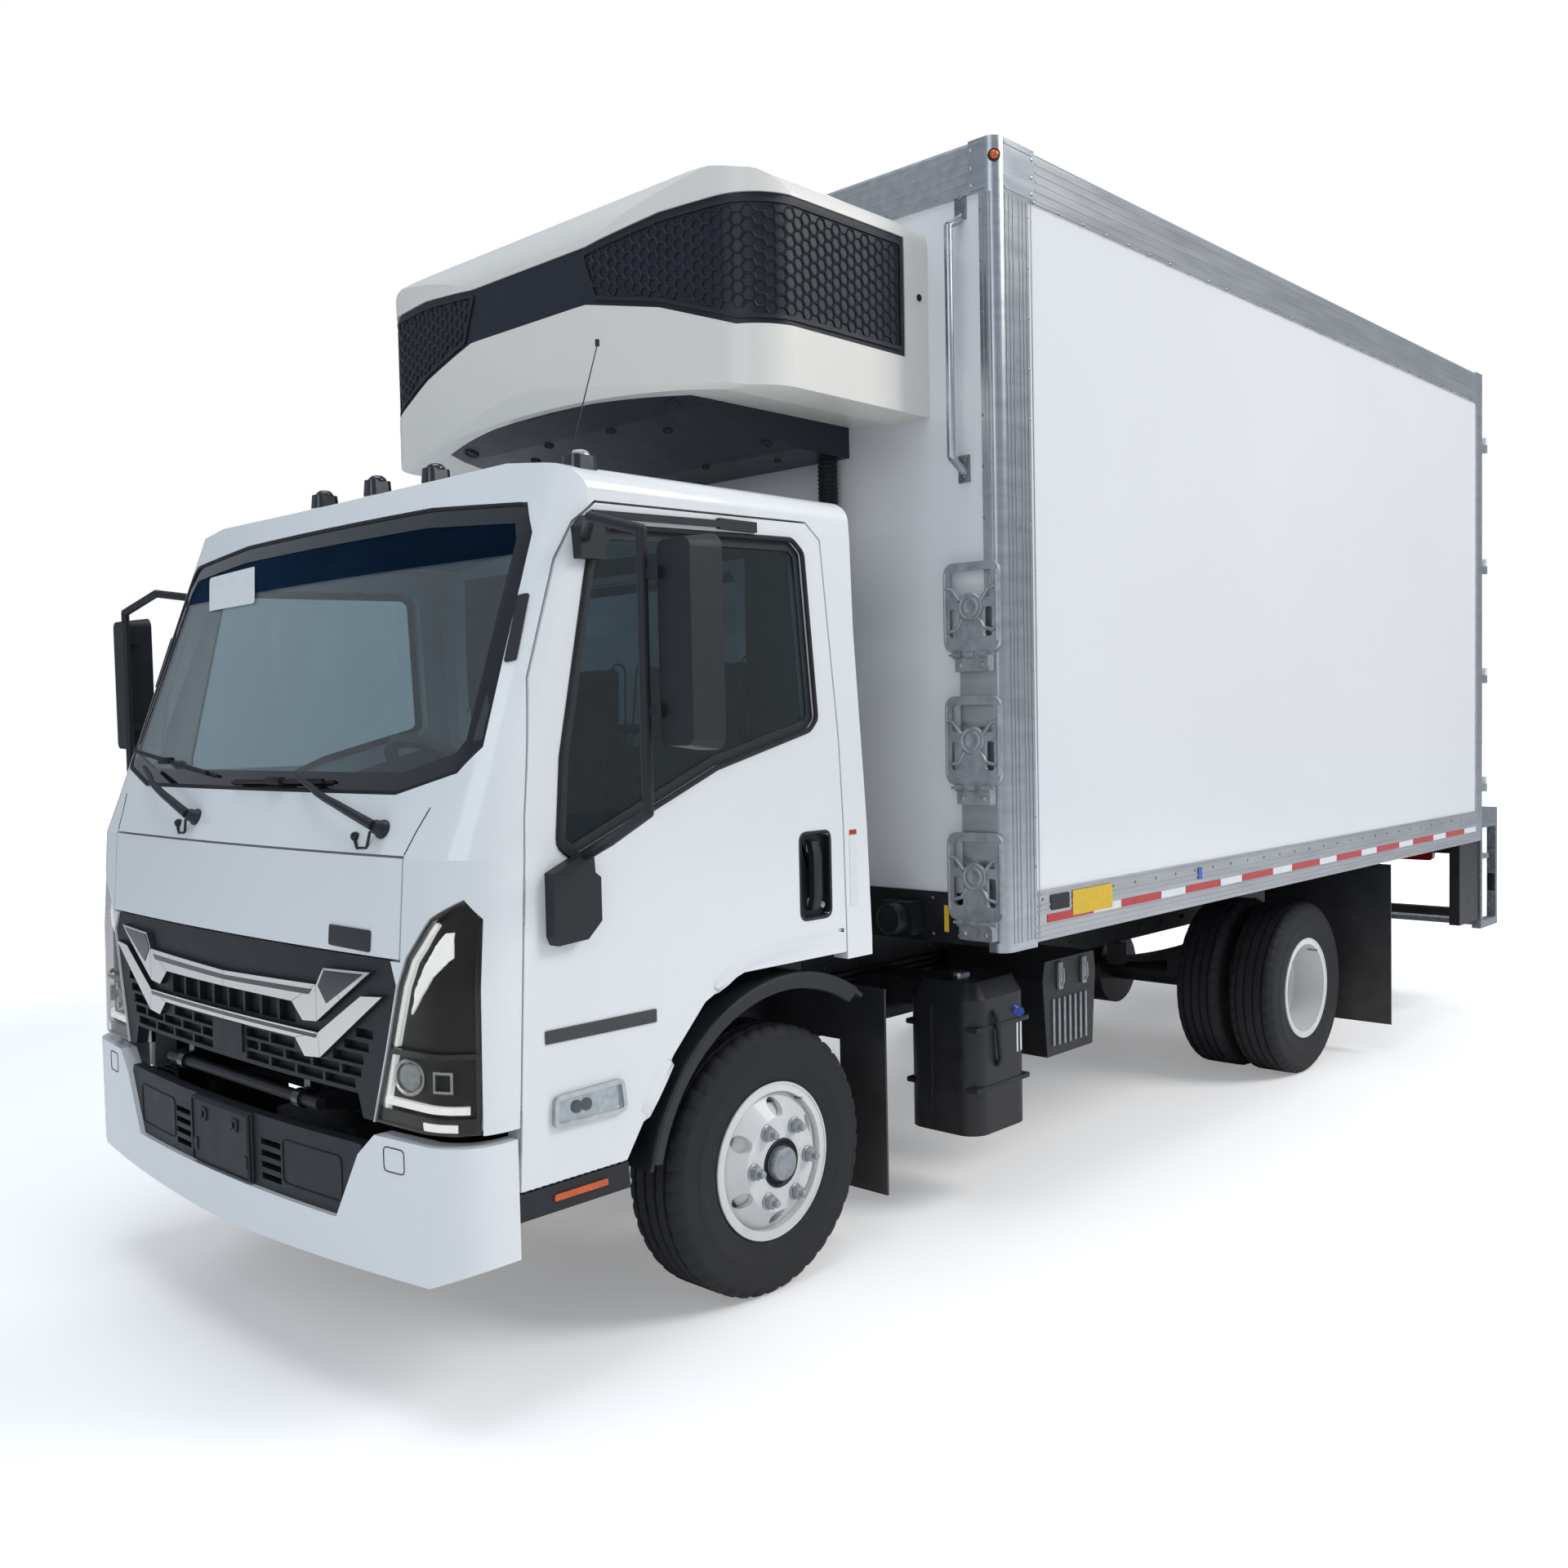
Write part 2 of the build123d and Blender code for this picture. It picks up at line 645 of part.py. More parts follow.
# Rear step: galvanised side frames, the top deck and the low tread
step_deck_top = 1083
step_foot_z = 442
step_frame_y = box_half - 6
step_frame_thickness = 46
step_post = 28
with BuildPart() as rear_step:
    add(bar(rear_end_x, box_rear_x, -step_frame_y, step_frame_y, step_deck_top - 18, step_deck_top))
    add(bar(rear_end_x, rear_end_x + 150, -step_frame_y, step_frame_y, step_foot_z, step_foot_z + 26))
    for side in (-1, 1):
        low, high = sorted((side * (step_frame_y - step_frame_thickness), side * step_frame_y))
        add(bar(rear_end_x, box_rear_x, low, high, step_deck_top - 100, step_deck_top))
        add(bar(rear_end_x, rear_end_x + step_post, low, high, step_foot_z, step_deck_top))
        add(bar(box_rear_x - step_post, box_rear_x, low, high, step_foot_z, step_deck_top))
        add(bar(rear_end_x, box_rear_x, low, high, step_foot_z, step_foot_z + 40))
        add(bar(box_rear_x - 130, box_rear_x, low, high, 815, 840))
save(rear_step.part, "rear_step")

# Underrun frame: dark side plates below the rear corners with two cross tubes
underrun_front_x = box_rear_x + 312
underrun_bottom = 494
underrun_tube_x = box_rear_x + 6
underrun_tube_z = [505, 845]
underrun_tube_half = step_frame_y - 60 - seat_gap
with BuildPart() as underrun_frame:
    for side in (-1, 1):
        low, high = sorted((side * (step_frame_y - 60), side * (step_frame_y - 8)))
        add(bar(box_rear_x, underrun_front_x, low, high, underrun_bottom, box_bottom))
    for z in underrun_tube_z:
        add(bar(underrun_tube_x, underrun_tube_x + 46, -underrun_tube_half, underrun_tube_half, z, z + 45))
save(underrun_frame.part, "underrun_frame")

# Tail lamps, seated on the rear face of the upper tube
tail_lamp_depth = 42
tail_lamp_y = 800
with BuildPart() as tail_lamps:
    with BuildSketch(front_plane(underrun_tube_x - seat_gap - tail_lamp_depth)):
        for side in (-1, 1):
            with Locations((side * tail_lamp_y, underrun_tube_z[1] + 8)):
                RectangleRounded(330, 112, 24)
    extrude(amount=tail_lamp_depth)
save(tail_lamps.part, "tail_lamps")

# Mudflaps: the front guards behind the steered wheels and the rear flaps
front_flap_x = front_axle_x - 515
rear_flap_x = first_beam_x - 8 * sill_beam_pitch
flap_thickness = 8
guard_inner_radius = 492
with BuildPart() as mudflaps:
    for side in (-1, 1):
        low, high = sorted((side * 590, side * (box_half - 10)))
        add(bar(rear_flap_x - flap_thickness / 2, rear_flap_x + flap_thickness / 2, low, high,
                140, long_sill_top))
        low, high = sorted((side * 745, side * 930))
        add(bar(front_flap_x, front_flap_x + flap_thickness, low, high, 154, 640))
        low, high = sorted((side * rail_outer_y, side * 930))
        add(bar(front_flap_x, front_flap_x + flap_thickness, low, high, 620, 800))
save(mudflaps.part, "mudflaps")

# Reductant tank and battery box on the left, fuel tank and exhaust on the right
with BuildPart() as reductant_tank:
    with BuildSketch(Plane.XY.offset(255)):
        with Locations((front_axle_x - 1050, 850)):
            RectangleRounded(320, 290, 70)
    extrude(amount=450)
    with BuildSketch(Plane.XY.offset(705)):
        with Locations((front_axle_x - 1050, 850)):
            RectangleRounded(320, 290, 70)
    extrude(amount=55, taper=30)
    add(bar(front_axle_x - 1130, front_axle_x - 970, rail_outer_y, 760, 650, 740))
    add(rod((front_axle_x - 1110, 930, 560), (front_axle_x - 1140, 965, 640), 36))
save(reductant_tank.part, "reductant_tank")

with BuildPart() as battery_box:
    add(side_prism(ahead([
        (-1420, 415), (-1725, 415), (-1750, 690), (-1740, 760), (-1410, 760), (-1395, 690),
    ]), 500, 930))
    add(bar(front_axle_x - 1720, front_axle_x - 1430, rail_outer_y, 500, 660, 700))
save(battery_box.part, "battery_box")

with BuildPart() as fuel_tank:
    with BuildSketch(side_plane(-rail_outer_y - 20)):
        with Locations((front_axle_x - 1900, 600)):
            RectangleRounded(780, 340, 60)
    extrude(amount=380)
    for x in (front_axle_x - 2150, front_axle_x - 1650):
        add(bar(x - 30, x + 30, -rail_outer_y - 30, -rail_outer_y, 640, 780))
save(fuel_tank.part, "fuel_tank")

with BuildPart() as exhaust:
    add(rod((front_axle_x - 1380, -640, 600), (front_axle_x - 760, -640, 600), 140))
    add(bar(front_axle_x - 1100, front_axle_x - 1000, -640, -rail_outer_y, 660, 720))
    add(rod((front_axle_x - 1380, -560, 520), (front_axle_x - 1430, -560, 520), 45))
save(exhaust.part, "exhaust")

# Cab sizes
cab_half = 1015
cab_wall = 55
cab_rear_x = front_axle_x - 352
cab_roof_rear_x = front_axle_x - 310
cab_front_bottom = 705
cab_rear_bottom = 940
cab_roof_top = 2330
eave_rise = 58
cab_floor_top = 890
cab_floor_bottom = 840
seat_deck_top = 1120
seat_deck_bottom = 1070
seat_deck_front_x = front_axle_x + 430
belt_height = 1446
bulkhead_inset = 40

# Height, front ahead of the axle, corner radius, half width and bow of each cab section
cab_sections = [
    (530, 1150, 150, cab_half, 35),
    (1038, 1142, 150, cab_half, 35),
    (1334, 1120, 150, cab_half, 35),
    (belt_height, 1075, 140, cab_half - 3, 36),
    (2400, 724, 105, cab_half - 32, 42),
]


def cab_outline(front, radius, half, bow, inset):
    """Plan outline of the cab, drawn inwards by the inset."""
    front_x = front_axle_x + front - inset
    corner_x = front_x - bow
    corner_y = half - inset
    corner_radius = radius - inset / 2
    rear_x = cab_rear_x - 60
    turn = corner_radius * math.sqrt(0.5)
    arc_x = corner_x - corner_radius
    arc_y = corner_y - corner_radius
    with BuildSketch() as outline:
        with BuildLine():
            ThreePointArc((corner_x, -arc_y), (front_x, 0), (corner_x, arc_y))
            ThreePointArc((corner_x, arc_y), (arc_x + turn, arc_y + turn), (arc_x, corner_y))
            Polyline((arc_x, corner_y), (rear_x, corner_y), (rear_x, -corner_y), (arc_x, -corner_y))
            ThreePointArc((arc_x, -corner_y), (arc_x + turn, -arc_y - turn), (corner_x, -arc_y))
        make_face()
    return outline.sketch


@cache
def cab_body(inset):
    """The closed cab, drawn inwards by the inset."""
    top = cab_roof_top - inset
    rear = cab_rear_x + inset
    roof_rear = cab_roof_rear_x + inset
    rear_round = 90 - inset / 2
    eave_y = cab_half - 92
    eave_z = top - eave_rise
    side_y = cab_half - 28 - inset
    side_z = top - 125
    with BuildPart() as body:
        for height, front, radius, half, bow in cab_sections:
            with BuildSketch(Plane.XY.offset(height)):
                add(cab_outline(front, radius, half, bow, inset))
        loft(ruled=True)
        with BuildSketch(side_plane(cab_half + 50)):
            with BuildLine():
                Line((roof_rear + rear_round, top - 8), (front_axle_x + 480, top))
                ThreePointArc(
                    (front_axle_x + 480, top), (front_axle_x + 640, top - 14), (front_axle_x + 800, top - 66)
                )
                Polyline(
                    (front_axle_x + 800, top - 66), (front_axle_x + 1300, top - 400),
                    (front_axle_x + 1300, 300),
                    (rear, 300), (rear, 1000), (roof_rear, 1900), (roof_rear, top - 8 - rear_round),
                )
                ThreePointArc(
                    (roof_rear, top - 8 - rear_round),
                    (roof_rear + rear_round * 0.29, top - 8 - rear_round * 0.29),
                    (roof_rear + rear_round, top - 8),
                )
            make_face()
        extrude(amount=2 * cab_half + 100, mode=Mode.INTERSECT)
        with BuildSketch(front_plane(cab_rear_x - 100)):
            with BuildLine():
                ThreePointArc((-eave_y, eave_z), (0, top), (eave_y, eave_z))
                ThreePointArc((eave_y, eave_z), (side_y - 14, top - 84), (side_y, side_z))
                Polyline(
                    (side_y, side_z), (cab_half + 40, 1300), (cab_half + 40, 300),
                    (-cab_half - 40, 300), (-cab_half - 40, 1300), (-side_y, side_z),
                )
                ThreePointArc((-side_y, side_z), (-side_y + 14, top - 84), (-eave_y, eave_z))
            make_face()
        extrude(amount=1900, mode=Mode.INTERSECT)
    return body.part


cab_solid = cab_body(0)
cab_hollow = cab_body(cab_wall)

# Side view outlines from the front axle: the door, its shut line and its window
door_front_low_x = 937
door_front_belt_x = 893
door_front_low_z = 554
door_front_belt_z = 1426
door_rake = (door_front_belt_x - door_front_low_x) / (door_front_belt_z - door_front_low_z)
door_outline = ahead([
    (door_front_low_x, door_front_low_z), (door_front_belt_x, door_front_belt_z), (855, 1747), (758, 2030),
    (706, 2122), (640, 2176), (-120, 2190), (-175, 2145), (-222, 1580), (-235, 1034), (-235, 962), (208, 962),
    (335, 905), (450, 788), (550, 650), (615, door_front_low_z),
])
gap_outline = ahead([
    (door_front_low_x + shut_gap + 1, door_front_low_z - 20),
    (door_front_belt_x + shut_gap, door_front_belt_z), (861, 1749), (765, 2033),
    (712, 2127), (643, 2182), (-122, 2196), (-181, 2149), (-228, 1580), (-241, 1034), (-241, door_front_low_z - 20),
])
window_outline = ahead([
    (800, 1350), (778, 1560), (660, 2070), (600, 2118), (-60, 2136), (-98, 2105),
    (-128, 1640), (-100, 1612), (267, 1520), (755, 1322),
])

# Front view outlines: the windscreen, rear window, grille, lid and lamps
windscreen_outline = [
    (-700, 1478), (700, 1478), (905, 1530), (950, 1590), (925, 2100), (885, 2178), (500, 2205),
    (-500, 2205), (-885, 2178), (-925, 2100), (-950, 1590), (-905, 1530),
]
rear_window_outline = [
    (-560, 1600), (560, 1600), (590, 1640), (570, 2080), (540, 2110), (-540, 2110), (-570, 2080), (-590, 1640),
]
lid_top = 1334
lid_bottom = 1100
lid_half = 800
grille_low = 762
grille_half = 625
grille_edge = [(694, cab_front_bottom), (748, 881), (793, 1039), (768, lid_bottom - shut_gap)]
grille_outline = mirrored([(0, grille_low), (grille_half, grille_low), (645, cab_front_bottom)]
                          + grille_edge + [(0, lid_bottom - shut_gap)])
grille_opening = mirrored([(0, cab_front_bottom)] + grille_edge + [(0, lid_bottom - shut_gap)])
intake_outline = [(-grille_half, 600), (grille_half, 600), (grille_half, grille_low), (-grille_half, grille_low)]
lamp_outline = [
    (697, cab_front_bottom), (1000, cab_front_bottom), (1000, 1200), (975, 1246), (905, 1203), (825, 1107),
    (797, 1039), (752, 881),
]
lid_thickness = 24

# Roof marker lamps: distance of each to the left, and their common size
marker_x = front_axle_x + 633
marker_length = 92
marker_width = 66
marker_places = [925, 300, 0, -300, -925]
marker_base = 2240
marker_stand = 44
lid_recess = lid_thickness + seat_gap


def shell_layer(outer_inset, inner_inset):
    """The layer of the cab wall between two insets."""
    with BuildPart() as layer:
        add(cab_body(outer_inset))
        add(cab_body(inner_inset), mode=Mode.SUBTRACT)
    return layer.part


def grown(points, amount):
    """A front view polygon offset outwards, or inwards where the amount is negative."""
    with BuildSketch() as sketch:
        Polygon(*points, align=None)
        offset(amount=amount, kind=Kind.INTERSECTION)
    return sketch.sketch


def front_cut(points, amount, x_low, x_high):
    """A prism over an offset front view polygon."""
    with BuildPart() as block:
        with BuildSketch(front_plane(x_low)):
            add(grown(points, amount))
        extrude(amount=x_high - x_low)
    return block.part


def side_cut(points, amount, y_low, y_high):
    """A prism over an offset side view polygon."""
    with BuildPart() as block:
        with BuildSketch(side_plane(y_high)):
            add(grown(points, amount))
        extrude(amount=y_high - y_low)
    return block.part


front_zone = front_axle_x + 500
front_limit = front_axle_x + 1300
lid_outline = [(-lid_half, lid_bottom), (lid_half, lid_bottom), (lid_half, lid_top), (-lid_half, lid_top)]
right_lamp_outline = to_right(lamp_outline)
arm_y = 330
arm_width = 30
arm_eye_radius = 24
bar_relief_radius = 25

cab_bulkhead = cab_body(bulkhead_inset)
cab_lid_back = cab_body(lid_recess)
front_skin = shell_layer(0, bulkhead_inset)

with BuildPart() as cab_decks:
    add(cab_solid)
    add(side_prism([
        (cab_rear_x - 20, seat_deck_bottom), (cab_rear_x - 20, seat_deck_top),
        (seat_deck_front_x, seat_deck_top), (seat_deck_front_x + 60, cab_floor_top),
        (front_axle_x + 1110, cab_floor_top), (front_axle_x + 1110, cab_floor_bottom),
        (seat_deck_front_x + 20, cab_floor_bottom), (seat_deck_front_x - 45, seat_deck_bottom),
    ], -cab_half + 70, cab_half - 70), mode=Mode.INTERSECT)

with BuildPart() as front_zones:
    add(front_cut(grille_opening, seat_gap, front_axle_x + 930, front_limit))
    add(front_cut(lamp_outline, seat_gap, front_axle_x + 930, front_limit))
    add(front_cut(right_lamp_outline, seat_gap, front_axle_x + 930, front_limit))

with BuildPart() as front_openings:
    add(front_skin)
    add(front_zones.part, mode=Mode.INTERSECT)

with BuildPart() as lid_opening:
    add(front_cut(lid_outline, shut_gap, front_axle_x + 930, front_limit))
    add(cab_lid_back, mode=Mode.SUBTRACT)

with BuildPart() as cab_shell:
    add(cab_solid)
    add(cab_hollow, mode=Mode.SUBTRACT)
    add(cab_decks.part)
    for side in (-1, 1):
        low, high = sorted((side * 930, side * (cab_half + 60)))
        add(side_prism(gap_outline, low, high), mode=Mode.SUBTRACT)
    add(front_prism(windscreen_outline, front_zone, front_limit), mode=Mode.SUBTRACT)
    add(front_prism(rear_window_outline, cab_rear_x - 30, cab_rear_x + 110), mode=Mode.SUBTRACT)
    add(bar(cab_rear_x - 50, front_limit, -cab_half - 50, cab_half + 50, 400, cab_front_bottom),
        mode=Mode.SUBTRACT)
    add(bar(cab_rear_x - 50, seat_deck_front_x - 60, -cab_half - 50, cab_half + 50, 400, cab_rear_bottom),
        mode=Mode.SUBTRACT)
    add(front_openings.part, mode=Mode.SUBTRACT)
    add(lid_opening.part, mode=Mode.SUBTRACT)
    add(front_prism(intake_outline, front_axle_x + 1000, front_limit), mode=Mode.SUBTRACT)
    add(bar(front_axle_x + 1000, front_limit, -tilt_bar_half - 20, tilt_bar_half + 20, 600, cab_floor_bottom),
        mode=Mode.SUBTRACT)
    for side in (-1, 1):
        low, high = sorted((side * (arm_y - arm_width / 2), side * (arm_y + arm_width / 2)))
        add(side_prism([
            (tilt_axis_x - 90, cab_floor_bottom + 5), (tilt_axis_x - 22, cab_floor_bottom + 5),
            (tilt_axis_x - 14, tilt_axis_z + 19), (tilt_axis_x - 14, tilt_axis_z - 19),
            (tilt_axis_x - 40, tilt_axis_z),
        ], low, high))
        add(rod((tilt_axis_x, low, tilt_axis_z), (tilt_axis_x, high, tilt_axis_z), arm_eye_radius))
        add(rod((tilt_axis_x, low - 1, tilt_axis_z), (tilt_axis_x, high + 1, tilt_axis_z),
                tilt_bar_radius + seat_gap), mode=Mode.SUBTRACT)
save(cab_shell.part, "cab_shell")

# Cab glass: windscreen and rear window
glass_layer = shell_layer(8, 14)
with BuildPart() as panes:
    add(front_cut(windscreen_outline, -seat_gap, front_zone, front_limit))
    add(front_cut(rear_window_outline, -seat_gap, cab_rear_x - 30, cab_rear_x + 110))
with BuildPart() as cab_glass:
    add(glass_layer)
    add(panes.part, mode=Mode.INTERSECT)
save(cab_glass.part, "cab_glass")

# Front service lid
with BuildPart() as front_lid:
    add(shell_layer(0, lid_thickness))
    add(front_prism(lid_outline, front_axle_x + 930, front_limit), mode=Mode.INTERSECT)
save(front_lid.part, "front_lid")

# Grille: a dark panel with rows of pockets, a plain centre plate and two bright bars that stand proud
grille_inset = 6
pocket_depth = 20
bar_stand = 6
centre_plate_half = 83
upper_bar_outline = mirrored([
    (0, 1000), (475, 1012), (506, 1056), (704, 1063), (579, 985), (474, 920), (410, 915), (359, 958), (0, 957),
])
lower_bar_outline = mirrored([
    (0, 893), (478, 893), (664, 1003), (751, 1010), (486, 832), (416, 826), (372, 868), (0, 868),
])
# Each row of pockets: lowest and highest edge, then the inner and outer edges of its pockets on the left
pocket_rows = [
    (899, 951, [(5, 83), (95, 173), (185, 263), (275, 353)]),
    (833, 858, [(98, 215), (227, 344), (520, 650)]),
    (803, 825, [(98, 160), (172, 289), (301, 418), (430, 547), (559, 640)]),
    (773, 795, [(98, 215), (227, 344), (356, 473), (485, 615)]),
    (866, 888, [(570, 672)]),
    (899, 921, [(620, 690)]),
]
with BuildPart() as grille_pockets:
    for z_low, z_high, spans in pocket_rows:
        for near, far in spans:
            for side in (-1, 1):
                low, high = sorted((side * near, side * far))
                add(bar(front_axle_x + 1000, front_limit, low, high, z_low, z_high))
    add(cab_body(grille_inset + pocket_depth), mode=Mode.SUBTRACT)

with BuildPart() as grille_bars:
    add(shell_layer(-bar_stand, grille_inset + 4))
    add(front_prism(upper_bar_outline, front_axle_x + 930, front_limit)
        + front_prism(lower_bar_outline, front_axle_x + 930, front_limit), mode=Mode.INTERSECT)

with BuildPart() as centre_plate:
    add(shell_layer(0, grille_inset + 4))
    add(front_prism([(-centre_plate_half, 787), (centre_plate_half, 787), (centre_plate_half, 863),
                     (-centre_plate_half, 863)], front_axle_x + 930, front_limit), mode=Mode.INTERSECT)

with BuildPart() as grille:
    add(shell_layer(grille_inset, bulkhead_inset - 1))
    add(front_prism(grille_outline, front_axle_x + 930, front_limit), mode=Mode.INTERSECT)
    add(grille_pockets.part, mode=Mode.SUBTRACT)
    add(rod((tilt_axis_x, -tilt_bar_half - 30, tilt_axis_z), (tilt_axis_x, tilt_bar_half + 30, tilt_axis_z),
            bar_relief_radius), mode=Mode.SUBTRACT)
    add(grille_bars.part)
    add(centre_plate.part)
save(grille.part, "grille")

# Headlamps wrap the front corners: a clear cover over a housing with light strips and a projector
lamp_cover_depth = 4
lamp_housing_inset = 16
lamp_strip_inset = 7
lamp_split_z = 884
projector_place = (834, 826)
projector_radius = 36
strip_outlines = [
    [(762, 893), (806, 1036), (833, 1100), (912, 1192), (935, 1200), (928, 1184), (850, 1092), (824, 1032),
     (784, 893)],
    [(700, lamp_split_z - 6), (1000, lamp_split_z - 6), (1000, lamp_split_z + 6), (700, lamp_split_z + 6)],
]
with BuildPart() as lamp_zones:
    add(front_prism(lamp_outline, front_axle_x + 930, front_limit))
    add(front_prism(right_lamp_outline, front_axle_x + 930, front_limit))

with BuildPart() as strip_zones:
    for outline in strip_outlines:
        add(front_prism(outline, front_axle_x + 930, front_limit))
        add(front_prism(to_right(outline), front_axle_x + 930, front_limit))
    for side in (-1, 1):
        y, z = projector_place
        add(rod((front_axle_x + 1000, side * y, z), (front_limit, side * y, z), projector_radius))
    add(lamp_zones.part, mode=Mode.INTERSECT)

with BuildPart() as lamp_strips:
    add(shell_layer(lamp_strip_inset, lamp_housing_inset + 4))
    add(strip_zones.part, mode=Mode.INTERSECT)

with BuildPart() as lamp_housings:
    add(shell_layer(lamp_housing_inset, bulkhead_inset - 1))
    add(lamp_zones.part, mode=Mode.INTERSECT)
    add(lamp_strips.part)

with BuildPart() as headlamps:
    add(shell_layer(1, 1 + lamp_cover_depth))
    add(lamp_zones.part, mode=Mode.INTERSECT)
    add(lamp_housings.part)
save(headlamps.part, "headlamps")

# Doors, their glass and hinges
door_layer = shell_layer(0, cab_wall)
door_glass_layer = shell_layer(14, 20)
hinge_line_y = cab_half
door_pin_radius = shut_gap / 2 - seat_gap
door_pin_heights = [(640, 740), (1180, 1280)]


def hinge_point(z):
    """Where the door's hinge line passes a height, as a distance forward."""
    return front_axle_x + door_front_low_x + shut_gap / 2 + door_rake * (z - door_front_low_z)


# Mirror stay route from the door, as distance ahead of the axle, to the left, and height
mirror_stay_route = [
    (690, 1008, 2085), (790, 1150, 2110), (813, 1350, 2058), (815, 1352, 1440), (800, 1200, 1370), (735, 1025, 1320),
]
mirror_stay_radius = 13
mirror_head_z = (1575, 2045)
mirror_head_y = (1372, 1500)
mirror_head_x = (715, 800)
mirror_head_round = 34
mirror_foot_outline = ahead([
    (845, 1290), (745, 1333), (722, 1325), (719, 1283), (702, 1270), (702, 1165), (745, 1125), (835, 1119),
    (845, 1140),
])
mirror_shoe_outline = ahead([(640, 2035), (715, 2035), (715, 2112), (690, 2140), (640, 2140)])
rain_bar_outline = ahead([
    (90, 2146), (230, 2146), (230, 2150), (660, 2138), (660, 2156), (230, 2168), (230, 2174), (90, 2174),
])

# Door handle: a rounded recess in the door with an upright grip across it
handle_place = (front_axle_x - 107, 1197)
handle_recess_size = (122, 239)
handle_recess_depth = 22
handle_grip = [
    (989, 1098), (1012, 1102), (1022, 1135), (1022, 1258), (1012, 1292), (989, 1296), (989, 1272), (1005, 1255),
    (1005, 1140), (989, 1122),
]
for side, label in ((1, "left"), (-1, "right")):
    low, high = sorted((side * 930, side * (cab_half + 60)))
    recess_low, recess_high = sorted((side * (cab_half - handle_recess_depth), side * (cab_half + 10)))
    with BuildPart() as handle_recess:
        with BuildSketch(side_plane(recess_high)):
            with Locations(handle_place):
                RectangleRounded(*handle_recess_size, 22)
        extrude(amount=recess_high - recess_low)
    with BuildPart() as door:
        add(door_layer)
        add(side_prism(door_outline, low, high), mode=Mode.INTERSECT)
        add(side_prism(window_outline, low, high), mode=Mode.SUBTRACT)
        add(handle_recess.part, mode=Mode.SUBTRACT)
        grip = handle_grip if side > 0 else to_right(handle_grip)
        add(front_prism(grip, handle_place[0] - 14, handle_place[0] + 14))
    save(door.part, f"door_{label}")
    with BuildPart() as door_glass:
        add(door_glass_layer)
        add(side_cut(window_outline, -seat_gap, low, high), mode=Mode.INTERSECT)
    save(door_glass.part, f"door_glass_{label}")
    with BuildPart() as mirror:
        stay = [(front_axle_x + x, side * y, z) for x, y, z in mirror_stay_route]
        for start, end in zip(stay[:-1], stay[1:]):
            add(rod(start, end, mirror_stay_radius))
        for joint in stay[1:-1]:
            with Locations(joint):
                Sphere(mirror_stay_radius)
        near, far = sorted((side * 940, side * (cab_half + 34)))
        add(side_prism(mirror_foot_outline, near, far))
        near, far = sorted((side * 940, side * (cab_half + 8)))
        add(side_prism(mirror_shoe_outline, near, far))
        near, far = sorted((side * 940, side * 1004))
        add(side_prism(rain_bar_outline, near, far))
        head_y = side * (mirror_head_y[0] + mirror_head_y[1]) / 2
        head_z = (mirror_head_z[0] + mirror_head_z[1]) / 2
        with BuildSketch(front_plane(front_axle_x + mirror_head_x[0])):
            with Locations((head_y, head_z)):
                RectangleRounded(mirror_head_y[1] - mirror_head_y[0], mirror_head_z[1] - mirror_head_z[0],
                                 mirror_head_round)
        extrude(amount=mirror_head_x[1] - mirror_head_x[0], taper=8)
        near, far = sorted((side * 1350, side * (mirror_head_y[0] + 30)))
        for z in (1650, 1950):
            add(bar(front_axle_x + 765, front_axle_x + 815, near, far, z, z + 25))
        add(cab_solid, mode=Mode.SUBTRACT)
    save(mirror.part, f"mirror_{label}")

with BuildPart() as door_hinges:
    for side in (-1, 1):
        for z_low, z_high in door_pin_heights:
            add(rod((hinge_point(z_low), side * hinge_line_y, z_low),
                    (hinge_point(z_high), side * hinge_line_y, z_high), door_pin_radius))
save(door_hinges.part, "door_hinges")

# Cab steps below the doors and the wheel arch liners
with BuildPart() as cab_steps:
    for side in (-1, 1):
        low, high = sorted((side * 790, side * 1008))
        add(side_prism(ahead([(600, 480), (936, 480), (936, 546), (605, 546)]), low, high))
        low, high = sorted((side * 790, side * 802))
        add(side_prism(ahead([
            (600, 480), (936, 480), (936, cab_floor_bottom), (600, cab_floor_bottom),
        ]), low, high))
save(cab_steps.part, "cab_steps")

liner_radius = 530
liner_thickness = 12
liner_start = 12
liner_end = 126


def arc_point(radius, degrees):
    """A point of the side view at an angle around the front axle."""
    angle = math.radians(degrees)
    return (front_axle_x + radius * math.cos(angle), axle_height + radius * math.sin(angle))


with BuildPart() as arch_liners:
    for side in (-1, 1):
        y_high = max(side * 772, side * 1003)
        with BuildSketch(side_plane(y_high)):
            with BuildLine():
                middle = (liner_start + liner_end) / 2
                outer = liner_radius + liner_thickness
                ThreePointArc(arc_point(liner_radius, liner_start), arc_point(liner_radius, middle),
                              arc_point(liner_radius, liner_end))
                Line(arc_point(liner_radius, liner_end), arc_point(outer, liner_end))
                ThreePointArc(arc_point(outer, liner_end), arc_point(outer, middle), arc_point(outer, liner_start))
                Line(arc_point(outer, liner_start), arc_point(liner_radius, liner_start))
            make_face()
        extrude(amount=1003 - 772)
        low, high = sorted((side * 772, side * 782))
        add(side_prism(ahead([
            (-290, 830), (300, 830), (300, seat_deck_bottom - seat_gap), (-290, seat_deck_bottom - seat_gap),
        ]), low, high))
save(arch_liners.part, "arch_liners")

